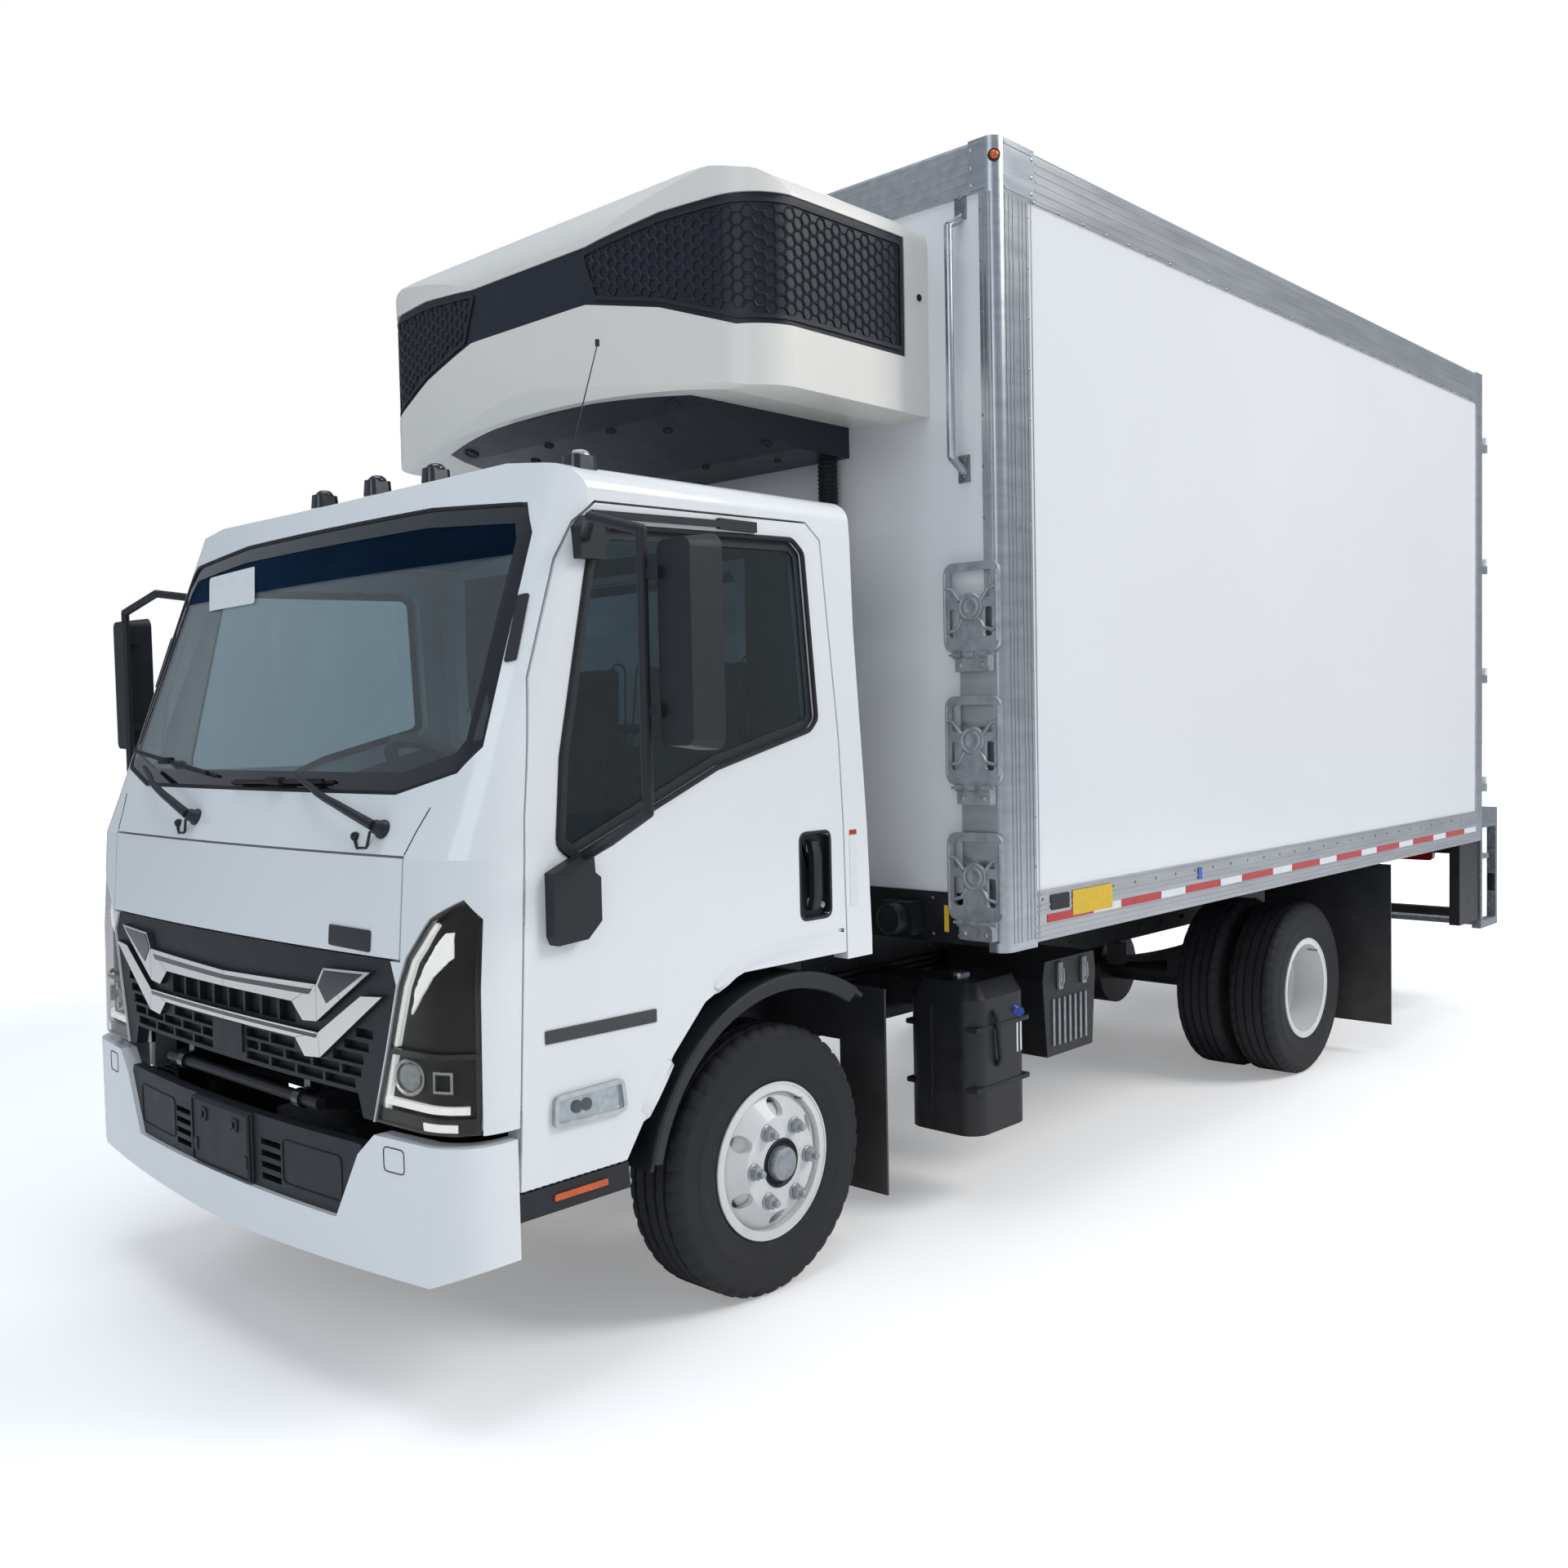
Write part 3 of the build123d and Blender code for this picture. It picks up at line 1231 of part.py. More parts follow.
# Roof marker lamps, their bases cut to the roof's crown
with BuildPart() as roof_lamps:
    for y in marker_places:
        crown = eave_rise * (y / (cab_half - 92)) ** 2
        with BuildSketch(Plane.XY.offset(marker_base)):
            with Locations((marker_x, y)):
                RectangleRounded(marker_length, marker_width, 26)
        extrude(amount=cab_roof_top - crown + marker_stand - marker_base - 18, taper=5)
    add(cab_solid, mode=Mode.SUBTRACT)
save(roof_lamps.part, "roof_lamps")

# Interior: dashboard, seats and steering wheel
with BuildPart() as dashboard:
    add(cab_body(cab_wall + seat_gap))
    add(side_prism(ahead([
        (1010, cab_floor_top + 220), (860, cab_floor_top + 260), (760, 1300), (760, 1390), (860, 1440), (1080, 1430),
        (1080, cab_floor_top + 220),
    ]), -cab_half, cab_half), mode=Mode.INTERSECT)
    for side in (-1, 1):
        low, high = sorted((side * 920, side * cab_half))
        add(side_prism(gap_outline, low, high), mode=Mode.SUBTRACT)
save(dashboard.part, "dashboard")

seat_profile = ahead([
    (-215, seat_deck_top + seat_gap), (330, seat_deck_top + seat_gap), (345, 1230), (-60, 1245), (-150, 1850),
    (-232, 1850),
])
# Inner and outer edge of each seat, measured to the left
seat_places = [(200, 700), (-700, 100)]
with BuildPart() as seats:
    for y_low, y_high in seat_places:
        add(side_prism(seat_profile, y_low, y_high))
save(seats.part, "seats")

steering_wheel_radius = 205
steering_rim_radius = 14
column_length = 220
steering_plane = Plane(origin=(front_axle_x + 690, 450, 1475), x_dir=(0, 1, 0), z_dir=(-0.64, 0, 0.77))
column_start = steering_plane.origin
column_end = column_start - steering_plane.z_dir * column_length
with BuildPart() as steering_wheel:
    with BuildSketch(steering_plane.offset(-steering_rim_radius)):
        Circle(steering_wheel_radius + steering_rim_radius)
        Circle(steering_wheel_radius - steering_rim_radius, mode=Mode.SUBTRACT)
        Rectangle(2 * steering_wheel_radius, 44)
        Circle(62)
    extrude(amount=1.6 * steering_rim_radius)
    add(rod(column_start, column_end, 30))
    add(dashboard.part, mode=Mode.SUBTRACT)
save(steering_wheel.part, "steering_wheel")

# Refrigeration unit on the front wall
unit_half = 954
unit_front_x = front_axle_x + 95
unit_bottom = 2580
unit_top = 3275
unit_corner_x = front_axle_x - 130
unit_skin = 30


def unit_body(inset):
    """The closed unit housing, drawn inwards by the inset on its free sides."""
    half = unit_half - inset
    front = unit_front_x - inset
    bottom = unit_bottom + inset
    top = unit_top - inset
    with BuildPart() as body:
        with BuildSketch(Plane.XY.offset(bottom - 10)):
            with BuildLine():
                ThreePointArc((front - 65, -half + 164), (front, 0), (front - 65, half - 164))
                ThreePointArc((front - 65, half - 164), (front - 126, half - 46), (unit_corner_x, half))
                Polyline((unit_corner_x, half), (panel_front_x, half), (panel_front_x, -half),
                         (unit_corner_x, -half))
                ThreePointArc((unit_corner_x, -half), (front - 126, -half + 46), (front - 65, -half + 164))
            make_face()
        extrude(amount=unit_top - unit_bottom + 100)
        with BuildSketch(front_plane(panel_front_x - 10)):
            with BuildLine():
                ThreePointArc((-half + 74, top - 95), (0, top), (half - 74, top - 95))
                ThreePointArc((half - 74, top - 95), (half - 20, top - 115), (half, top - 165))
                Polyline((half, top - 165), (half, bottom), (half - 150, bottom))
                ThreePointArc((half - 150, bottom), (0, bottom + 50), (-half + 150, bottom))
                Polyline((-half + 150, bottom), (-half, bottom), (-half, top - 165))
                ThreePointArc((-half, top - 165), (-half + 20, top - 115), (-half + 74, top - 95))
            make_face()
        extrude(amount=1100, mode=Mode.INTERSECT)
        with BuildSketch(side_plane(unit_half + 10)):
            with BuildLine():
                ThreePointArc((front - 150, bottom), (front - 36, bottom + 38), (front, bottom + 140))
                Line((front, bottom + 140), (front - 14, top - 170))
                ThreePointArc((front - 14, top - 170), (front - 70, top - 70), (front - 205, top - 34))
                Polyline((front - 205, top - 34), (panel_front_x - 10, top + 8), (panel_front_x - 10, bottom),
                         (front - 150, bottom))
            make_face()
        extrude(amount=2 * unit_half + 20, mode=Mode.INTERSECT)
    return body.part


# Front view outline of the dark band that wraps the unit's front and sides
band_outline = [
    (-1000, 2750), (-860, 2750), (-600, 2840), (-300, 2905), (300, 2905), (600, 2840), (860, 2750), (1000, 2750),
    (1000, 3115), (600, 3112), (300, 3080), (-300, 3080), (-600, 3112), (-1000, 3115),
]
band_rear_x = front_axle_x - 640
pan_outline = ahead([
    (-757, 2500), (-500, 2500), (-100, 2580), (30, 2625), (30, 2660), (-757, 2660),
])
pan_half = 620
unit_solid = unit_body(0)
with BuildPart(mode=Mode.PRIVATE) as unit_band:
    add(unit_solid)
    add(unit_body(unit_skin), mode=Mode.SUBTRACT)
    add(front_prism(band_outline, band_rear_x, unit_front_x + 50), mode=Mode.INTERSECT)
pan_zone = side_prism(pan_outline, -pan_half, pan_half)
with BuildPart() as unit_shell:
    add(unit_solid)
    add(unit_band.part, mode=Mode.SUBTRACT)
    add(pan_zone, mode=Mode.SUBTRACT)
    add(bar(panel_front_x - 5, box_front_x + seat_gap, -box_half, box_half, top_rail_bottom - seat_gap, box_top),
        mode=Mode.SUBTRACT)
save(unit_shell.part, "unit_shell")

with BuildPart() as unit_grille:
    add(unit_body(5))
    add(unit_body(unit_skin), mode=Mode.SUBTRACT)
    add(front_cut(band_outline, -seat_gap, band_rear_x + seat_gap, unit_front_x + 50), mode=Mode.INTERSECT)
save(unit_grille.part, "unit_grille")

with BuildPart() as unit_pan:
    add(side_cut(pan_outline, -seat_gap, -pan_half + seat_gap, pan_half - seat_gap))
save(unit_pan.part, "unit_pan")

# Hose from the unit down the front wall, held by clamps
hose_radius = 30
hose_y = 560
hose_x = box_front_x + hose_radius + 6
with BuildPart() as unit_hose:
    add(rod((hose_x, hose_y, 960), (hose_x, hose_y, 2500), hose_radius))
    for z in (1200, 1700, 2200):
        add(bar(panel_front_x, hose_x, hose_y - 38, hose_y + 38, z, z + 18))
        add(rod((hose_x, hose_y, z), (hose_x, hose_y, z + 18), hose_radius + 5))
save(unit_hose.part, "unit_hose")

# Folding steps and the grab handle on the box's front left corner
step_y = 1130
step_width = 205
step_loop_height = 275
step_plate = 14
step_stand = 22
step_base_heights = [943, 1365, 1775]
handle_y = 1085
handle_z = (2390, 3168)
handle_stand = 60
handle_radius = 12
with BuildPart() as access_steps:
    for base in step_base_heights:
        add(bar(box_front_x, box_front_x + step_stand + step_plate, step_y - 62, step_y + 62, base, base + 60))
        with BuildSketch(front_plane(box_front_x + step_stand)):
            with Locations((step_y, base + 60 + step_loop_height / 2)):
                RectangleRounded(step_width, step_loop_height, 34)
            with Locations((step_y, base + 60 + step_loop_height * 0.75)):
                RectangleRounded(step_width - 50, 84, 12, mode=Mode.SUBTRACT)
            with Locations((step_y - 62, base + 60 + step_loop_height * 0.33),
                           (step_y + 62, base + 60 + step_loop_height * 0.33)):
                RectangleRounded(34, 90, 10, mode=Mode.SUBTRACT)
        extrude(amount=step_plate)
    add(rod((box_front_x + handle_stand, handle_y, handle_z[0] + 40),
            (box_front_x + handle_stand, handle_y, handle_z[1] - 40), handle_radius))
    for z in handle_z:
        inward = 40 if z == handle_z[0] else -40
        add(rod((panel_front_x, handle_y, z), (box_front_x + handle_stand, handle_y, z + inward), handle_radius))
    add(bar(panel_front_x - 20, panel_front_x, handle_y - 30, handle_y + 30, 2300, 3250), mode=Mode.SUBTRACT)
save(access_steps.part, "access_steps")

# Front bumper: a white shell around the corners with a dark insert and plate holder
bumper_front_x = front_axle_x + front_overhang
bumper_half = 1020
bumper_rear_x = front_axle_x + 946
bumper_corner_radius = 130
bumper_top = 682
bumper_bottom = 330
bumper_wall = 45
bumper_bow = 62
insert_half = 655
insert_top = 645
insert_bottom = 455


def bumper_body(inset, bottom, top):
    """The bumper's plan shape between two heights, drawn inwards by the inset."""
    front = bumper_front_x - inset
    corner = front - bumper_bow
    half = bumper_half - inset
    radius = bumper_corner_radius - inset / 2
    turn = radius * math.sqrt(0.5)
    with BuildPart() as body:
        with BuildSketch(Plane.XY.offset(bottom)):
            with BuildLine():
                ThreePointArc((corner, -half + radius), (front, 0), (corner, half - radius))
                ThreePointArc((corner, half - radius), (corner - radius + turn, half - radius + turn),
                              (corner - radius, half))
                Polyline((corner - radius, half), (bumper_rear_x, half), (bumper_rear_x, -half),
                         (corner - radius, -half))
                ThreePointArc((corner - radius, -half), (corner - radius + turn, -half + radius - turn),
                              (corner, -half + radius))
            make_face()
        extrude(amount=top - bottom)
    return body.part


bumper_face_outline = [
    (-1020, bumper_top), (-720, bumper_top), (-insert_half, insert_top - 20), (-560, insert_bottom),
    (560, insert_bottom), (insert_half, insert_top - 20), (720, bumper_top), (1020, bumper_top),
    (1020, 400), (900, 352), (0, bumper_bottom), (-900, 352), (-1020, 400),
]
with BuildPart() as front_bumper:
    add(bumper_body(0, bumper_bottom, bumper_top))
    add(bumper_body(bumper_wall, bumper_bottom - 5, bumper_top + 5), mode=Mode.SUBTRACT)
    add(front_prism(bumper_face_outline, bumper_rear_x - 10, bumper_front_x + 10), mode=Mode.INTERSECT)
save(front_bumper.part, "front_bumper")

insert_outline = [
    (-645, insert_top), (-insert_half, insert_top - 20), (-560, insert_bottom), (560, insert_bottom),
    (insert_half, insert_top - 20), (645, insert_top),
]
vent_rows = [480, 510, 540, 570]
vent_height = 16
vent_span = (205, 300)
plate_hole_spacing = 178
plate_hole_radius = 3.5
with BuildPart() as bumper_insert:
    add(bumper_body(14, bumper_bottom, bumper_top))
    add(bumper_body(bumper_wall, bumper_bottom - 5, bumper_top + 5), mode=Mode.SUBTRACT)
    add(front_cut(insert_outline, -seat_gap, bumper_rear_x, bumper_front_x + 10), mode=Mode.INTERSECT)
    for side in (-1, 1):
        low, high = sorted((side * vent_span[0], side * vent_span[1]))
        for z in vent_rows:
            add(bar(bumper_rear_x, bumper_front_x + 10, low, high, z, z + vent_height), mode=Mode.SUBTRACT)
    add(bar(bumper_front_x - 30, bumper_front_x - 4, -165, 165, insert_bottom + 8, insert_top - 6))
    for y in (-plate_hole_spacing / 2, plate_hole_spacing / 2):
        add(rod((bumper_front_x - 30, y, 600), (bumper_front_x + 5, y, 600), plate_hole_radius), mode=Mode.SUBTRACT)
save(bumper_insert.part, "bumper_insert")

# Bumper beam and stays between the frame and the bumper
beam_front_x = bumper_front_x - bumper_bow - bumper_wall - 2
with BuildPart() as bumper_beam:
    add(bar(beam_front_x - 60, beam_front_x, -760, 760, 470, 560))
    for side in (-1, 1):
        low, high = sorted((side * 500, side * 560))
        add(bar(beam_front_x - 10, bumper_front_x - bumper_wall - 20, low, high, 480, 540))
    add(bumper_body(bumper_wall, bumper_bottom - 5, bumper_top + 5), mode=Mode.INTERSECT)
    for side in (-1, 1):
        low, high = sorted((side * 365, side * 415))
        add(bar(frame_front_x - 120, beam_front_x - 60, low, high, 500, frame_bottom))
save(bumper_beam.part, "bumper_beam")
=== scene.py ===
"""Looks of the refrigerated box truck: camera, light, finishes and the small pieces on its frame."""
import math
import bmesh
import bpy
from mathutils import Matrix, Vector
from mathutils.bvhtree import BVHTree


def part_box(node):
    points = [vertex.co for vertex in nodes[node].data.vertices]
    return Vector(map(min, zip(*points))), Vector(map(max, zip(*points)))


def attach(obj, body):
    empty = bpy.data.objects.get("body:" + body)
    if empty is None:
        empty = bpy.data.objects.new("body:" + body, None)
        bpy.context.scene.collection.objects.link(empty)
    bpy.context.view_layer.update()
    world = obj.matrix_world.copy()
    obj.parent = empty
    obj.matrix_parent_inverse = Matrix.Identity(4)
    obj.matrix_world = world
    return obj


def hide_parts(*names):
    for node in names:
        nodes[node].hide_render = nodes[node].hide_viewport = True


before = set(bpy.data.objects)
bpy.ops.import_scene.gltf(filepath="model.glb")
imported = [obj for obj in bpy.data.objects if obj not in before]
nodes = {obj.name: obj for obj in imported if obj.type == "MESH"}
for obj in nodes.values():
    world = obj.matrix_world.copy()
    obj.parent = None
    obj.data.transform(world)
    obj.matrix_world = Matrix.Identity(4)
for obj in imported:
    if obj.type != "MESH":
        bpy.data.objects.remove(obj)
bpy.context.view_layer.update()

# Places read from the frame
front_axle = sum(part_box("front_left_tyre"), Vector()) / 2
rear_axle = sum(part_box("rear_left_tyres"), Vector()) / 2
post_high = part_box("corner_posts")[1]
box_front = post_high.x
box_half = post_high.y
tyre_low, tyre_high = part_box("front_left_tyre")

# Sign of each side's distance from the middle, and its name
labelled_sides = ((1, "left"), (-1, "right"))


def at(x):
    """A place along the truck from its distance ahead of the front axle."""
    return front_axle.x + x


# Camera, from the perspective of the photograph
camera_place = Vector((5.0611, 3.7117, 1.6344))
camera_yaw = math.radians(223.095)
camera_pitch = math.radians(2.51)
camera_roll = math.radians(-1.205)
camera_lens = 32.83


def make_camera():
    """The camera, built from its yaw, its dip and its roll."""
    forward = Vector((
        math.cos(camera_yaw) * math.cos(camera_pitch),
        math.sin(camera_yaw) * math.cos(camera_pitch),
        -math.sin(camera_pitch),
    ))
    level_right = Vector((math.sin(camera_yaw), -math.cos(camera_yaw), 0))
    level_up = level_right.cross(forward)
    right = math.cos(camera_roll) * level_right + math.sin(camera_roll) * level_up
    up = -math.sin(camera_roll) * level_right + math.cos(camera_roll) * level_up
    data = bpy.data.cameras.new("camera")
    data.lens = camera_lens
    data.sensor_width = 36
    camera = bpy.data.objects.new("camera", data)
    rotation = Matrix((right, up, -forward)).transposed().to_4x4()
    camera.matrix_world = Matrix.Translation(camera_place) @ rotation
    bpy.context.scene.collection.objects.link(camera)
    bpy.context.scene.camera = camera


make_camera()
bpy.context.scene.view_settings.view_transform = "Standard"


# Finishes
def linear(code):
    """A linear colour from a six digit web colour."""
    values = [int(code[i:i + 2], 16) / 255 for i in (0, 2, 4)]
    return tuple(v / 12.92 if v <= 0.04045 else ((v + 0.055) / 1.055) ** 2.4 for v in values)


def scaled(colour, factor):
    return tuple(min(1.0, c * factor) for c in colour)


def add_node(tree, kind, inputs=None, **settings):
    """A shader node. Each of its inputs is given as a value or as the socket that feeds it."""
    made = tree.nodes.new("ShaderNode" + kind)
    for name, value in settings.items():
        setattr(made, name, value)
    for name, value in (inputs or {}).items():
        if isinstance(value, bpy.types.NodeSocket):
            tree.links.new(value, made.inputs[name])
        else:
            made.inputs[name].default_value = value
    return made


def add_ramp(tree, factor, low, high):
    """A colour ramp fed by a factor, between two pairs of position and colour."""
    ramp = add_node(tree, "ValToRGB", {"Fac": factor})
    for element, (position, colour) in zip(ramp.color_ramp.elements, (low, high)):
        element.position = position
        element.color = (*colour, 1)
    return ramp.outputs["Color"]


def new_material(name):
    """A material with nodes, its tree and its main shader."""
    material = bpy.data.materials.new(name)
    material.use_nodes = True
    return material, material.node_tree, material.node_tree.nodes["Principled BSDF"]


def finish(name, code, rough=0.5, metal=0.0, coat=0.0, spread=0.06, grain=6.0, stretch=(1, 1, 1),
           bump=0.0, bump_grain=300.0, dust=0.0, dust_top=1.0, see=0.0, ior=1.45, glow=0.0):
    """A procedural finish: mottled colour, uneven roughness, fine relief and dust near the ground.

    See is how much light passes through it, and glow is how much light it gives off.
    """
    material, tree, shader = new_material(name)
    colour = linear(code)
    place = add_node(tree, "TexCoord").outputs["Object"]
    spot = add_node(tree, "Mapping", {"Scale": stretch, "Vector": place}).outputs["Vector"]
    noise = add_node(tree, "TexNoise", {"Scale": grain, "Detail": 5, "Vector": spot}).outputs["Fac"]
    base = add_ramp(tree, noise, (0.3, scaled(colour, 1 - spread)), (0.7, scaled(colour, 1 + spread)))
    if dust:
        height = add_node(tree, "SeparateXYZ", {"Vector": place}).outputs["Z"]
        fade = add_node(tree, "MapRange", {"From Min": dust_top, "From Max": dust_level, "To Max": dust,
                                           "Value": height}).outputs["Result"]
        speckle = add_node(tree, "Math", {0: fade, 1: noise}, operation="MULTIPLY").outputs["Value"]
        base = add_node(tree, "MixRGB", {"Color2": (*linear(dust_code), 1), "Fac": speckle,
                                         "Color1": base}).outputs["Color"]
    tree.links.new(base, shader.inputs["Base Color"])
    uneven = add_node(tree, "MapRange", {"To Min": max(0.0, rough * (1 - rough_spread)),
                                         "To Max": min(1.0, rough * (1 + rough_spread)), "Value": noise})
    tree.links.new(uneven.outputs["Result"], shader.inputs["Roughness"])
    if bump:
        fine = add_node(tree, "TexNoise", {"Scale": bump_grain, "Detail": 3, "Vector": spot}).outputs["Fac"]
        relief = add_node(tree, "Bump", {"Strength": min(1.0, bump), "Distance": relief_depth, "Height": fine})
        tree.links.new(relief.outputs["Normal"], shader.inputs["Normal"])
    shader.inputs["Metallic"].default_value = metal
    shader.inputs["Coat Weight"].default_value = coat
    shader.inputs["Coat Roughness"].default_value = 0.03
    shader.inputs["IOR"].default_value = ior
    shader.inputs["Transmission Weight"].default_value = see
    if glow:
        shader.inputs["Emission Color"].default_value = (*colour, 1)
        shader.inputs["Emission Strength"].default_value = glow
    return material


def shade_and_black_inside(material, limits, code):
    """Gives a painted part a dark colour inside a region: ahead to, half width and height up to. It paints shade
    and a part's own black.
    """
    tree = material.node_tree
    base = tree.nodes["Principled BSDF"].inputs["Base Color"]
    place = add_node(tree, "TexCoord").outputs["Object"]
    axes = add_node(tree, "SeparateXYZ", {"Vector": place}).outputs
    across = add_node(tree, "Math", {0: axes["Y"]}, operation="ABSOLUTE").outputs["Value"]
    product = 1.0
    for socket, limit in zip((axes["X"], across, axes["Z"]), limits):
        below = add_node(tree, "Math", {0: socket, 1: limit}, operation="LESS_THAN").outputs["Value"]
        product = add_node(tree, "Math", {0: product, 1: below}, operation="MULTIPLY").outputs["Value"]
    mix = add_node(tree, "MixRGB", {"Color2": (*linear(code), 1), "Fac": product,
                                    "Color1": base.links[0].from_socket})
    tree.links.new(mix.outputs["Color"], base)


# Share the roughness varies by, depth of the fine relief, height where the dust is fullest, and its colour
rough_spread = 0.2
relief_depth = 0.002
dust_level = 0.1
dust_code = "8d8374"

cab_white = finish("cab_white", "e5e8e9", rough=0.32, coat=0.8, spread=0.012, grain=1.2, bump=0.02,
                   bump_grain=900)
# Painted shade on the shell's underside behind the grille, and the tilt eyes' own black, which the second region
# reaches
for limits in ((at(1.085), 0.68, 0.86), (at(1.14), 0.40, 0.86)):
    shade_and_black_inside(cab_white, limits, "15171b")
box_white = finish("box_white", "e6e7ea", rough=0.2, coat=0.6, spread=0.02, grain=0.8, bump=0.04, bump_grain=2.2)
unit_cream = finish("unit_cream", "e3e1da", rough=0.38, coat=0.35, spread=0.02, grain=2.0, bump=0.05,
                    bump_grain=500)
wheel_white = finish("wheel_white", "dfe0df", rough=0.4, coat=0.3, spread=0.03, grain=9, dust=0.25, dust_top=0.7)
frame_black = finish("frame_black", "15171b", rough=0.45, spread=0.25, grain=14, bump=0.2, bump_grain=260,
                     dust=0.1, dust_top=1.0)
plain_black = finish("plain_black", "1d2025", rough=0.5, spread=0.12, grain=20, bump=0.25, bump_grain=900)
gloss_black = finish("gloss_black", "0c0e12", rough=0.12, coat=0.7, spread=0.15, grain=6)
navy_black = finish("navy_black", "161b27", rough=0.42, spread=0.15, grain=12, bump=0.12, bump_grain=700)
aluminium = finish("aluminium", "b4b8bd", rough=0.3, metal=0.85, spread=0.12, grain=5, stretch=(1, 1, 6),
                   bump=0.12, bump_grain=90)
rail_metal = finish("rail_metal", "b9bbbd", rough=0.32, metal=0.8, spread=0.1, grain=5, stretch=(0.6, 6, 6),
                    bump=0.1, bump_grain=70)
galvanised = finish("galvanised", "8d9196", rough=0.45, metal=0.75, spread=0.28, grain=42, bump=0.1,
                    bump_grain=120)
step_metal = finish("step_metal", "a2a6ab", rough=0.42, metal=0.6, spread=0.2, grain=30, bump=0.2, bump_grain=300)
steel = finish("steel", "8e9297", rough=0.28, metal=1.0, spread=0.15, grain=40, bump=0.1, bump_grain=400)
chrome = finish("chrome", "e8e6e0", rough=0.06, metal=1.0, spread=0.02, grain=3)
tyre_black = finish("tyre_black", "1b1d22", rough=0.72, spread=0.2, grain=18, bump=0.3, bump_grain=600, dust=0.07,
                    dust_top=0.8)
rubber = finish("rubber", "14161a", rough=0.6, spread=0.2, grain=16, bump=0.2, bump_grain=500)
flap_rubber = finish("flap_rubber", "1a1e27", rough=0.5, spread=0.2, grain=7, bump=0.2, bump_grain=40, dust=0.4)
cab_glass = finish("cab_glass", "b9c9d0", rough=0.02, coat=1.0, spread=0.02, grain=2, see=1.0, ior=1.05)
side_glass = finish("side_glass", "84979e", rough=0.02, coat=1.0, spread=0.02, grain=2, see=1.0, ior=1.05)
clear_lens = finish("clear_lens", "eef3f5", rough=0.03, coat=0.6, spread=0.02, grain=9, see=1.0, ior=1.12)
lamp_silver = finish("lamp_silver", "b9bcbd", rough=0.22, metal=0.9, spread=0.15, grain=60, bump=0.3,
                     bump_grain=160)
# Its glow is painted light that brightens the headlamp strips and reflectors behind the cover
lamp_white_painted_glow = finish("lamp_white_painted_glow", "f2f6f8", rough=0.3, spread=0.06, grain=50, bump=0.3, bump_grain=260, glow=0.45)
amber = finish("amber", "c8540f", rough=0.25, coat=0.4, spread=0.15, grain=40, bump=0.2, bump_grain=400)
dome_black = finish("dome_black", "20242b", rough=0.2, coat=0.5, spread=0.2, grain=30)
shade_glass = finish("shade_glass", "5f7d9c", rough=0.02, spread=0.08, grain=3, see=1.0, ior=1.02)
smoked_lamp = finish("smoked_lamp", "141414", rough=0.25, spread=0.15, grain=25, bump=0.15, bump_grain=60)
smoked_cover = finish("smoked_cover", "e4e2df", rough=0.02, coat=0.1, spread=0.02, grain=3, see=1.0, ior=1.08)
gap_black = finish("gap_black", "0a0b0e", rough=0.7, spread=0.2, grain=30)
red_lens = finish("red_lens", "a01a1c", rough=0.12, coat=0.8, spread=0.12, grain=60, bump=0.25, bump_grain=120)
tape_red = finish("tape_red", "b3242b", rough=0.35, coat=0.2, spread=0.12, grain=70, bump=0.2, bump_grain=350)
tape_white = finish("tape_white", "dcdfe2", rough=0.35, coat=0.2, spread=0.06, grain=70, bump=0.2, bump_grain=350)
label_yellow = finish("label_yellow", "d9b42a", rough=0.45, spread=0.08, grain=60)
label_white = finish("label_white", "dfe3e4", rough=0.5, spread=0.05, grain=60)
label_blue = finish("label_blue", "3c64b8", rough=0.45, spread=0.08, grain=60)
cap_blue = finish("cap_blue", "1f3f9e", rough=0.35, spread=0.1, grain=50, bump=0.1, bump_grain=300)
interior_grey = finish("interior_grey", "3a3f45", rough=0.7, spread=0.12, grain=30, bump=0.4, bump_grain=700)
headliner = finish("headliner", "a9adad", rough=0.85, spread=0.06, grain=60, bump=0.3, bump_grain=900)
seat_fabric = finish("seat_fabric", "23262b", rough=0.9, spread=0.25, grain=120, bump=0.6, bump_grain=420)
engine_grey = finish("engine_grey", "2c2d2f", rough=0.6, metal=0.4, spread=0.3, grain=12, bump=0.4, bump_grain=90)

# Finish of each node of the frame that stays in view
node_finishes = [
    (cab_white, ["cab_shell", "door_left", "door_right", "front_lid", "front_bumper"]),
    (box_white, ["side_walls", "front_wall", "box_roof", "cargo_door_left", "cargo_door_right"]),
    (unit_cream, ["unit_shell"]),
    (navy_black, ["unit_grille", "unit_pan"]),
    (wheel_white, ["front_left_wheel", "front_right_wheel", "rear_left_wheels", "rear_right_wheels"]),
    (frame_black, ["chassis_frame", "front_axle", "leaf_springs", "rear_axle", "box_sills", "front_sill",
                   "underrun_frame", "bumper_beam", "left_knuckle", "right_knuckle", "battery_box",
                   "reductant_tank", "exhaust"]),
    (engine_grey, ["powertrain"]),
    (aluminium, ["corner_posts", "rear_frame", "fuel_tank"]),
    (rail_metal, ["box_rails", "box_floor"]),
    (galvanised, ["rear_step"]),
    (step_metal, ["access_steps", "door_hinges"]),
    (plain_black, ["grille", "arch_liners", "cab_steps", "bumper_insert", "mirror_left", "mirror_right",
                   "steering_wheel"]),
    (interior_grey, ["dashboard"]),
    (seat_fabric, ["seats"]),
    (flap_rubber, ["mudflaps"]),
    (rubber, ["unit_hose"]),
    (tyre_black, ["front_left_tyre", "front_right_tyre", "rear_left_tyres", "rear_right_tyres"]),
    (cab_glass, ["cab_glass"]),
    (side_glass, ["door_glass_left", "door_glass_right"]),
    (gloss_black, ["headlamps"]),
    (red_lens, ["tail_lamps"]),
    (dome_black, ["roof_lamps"]),
]
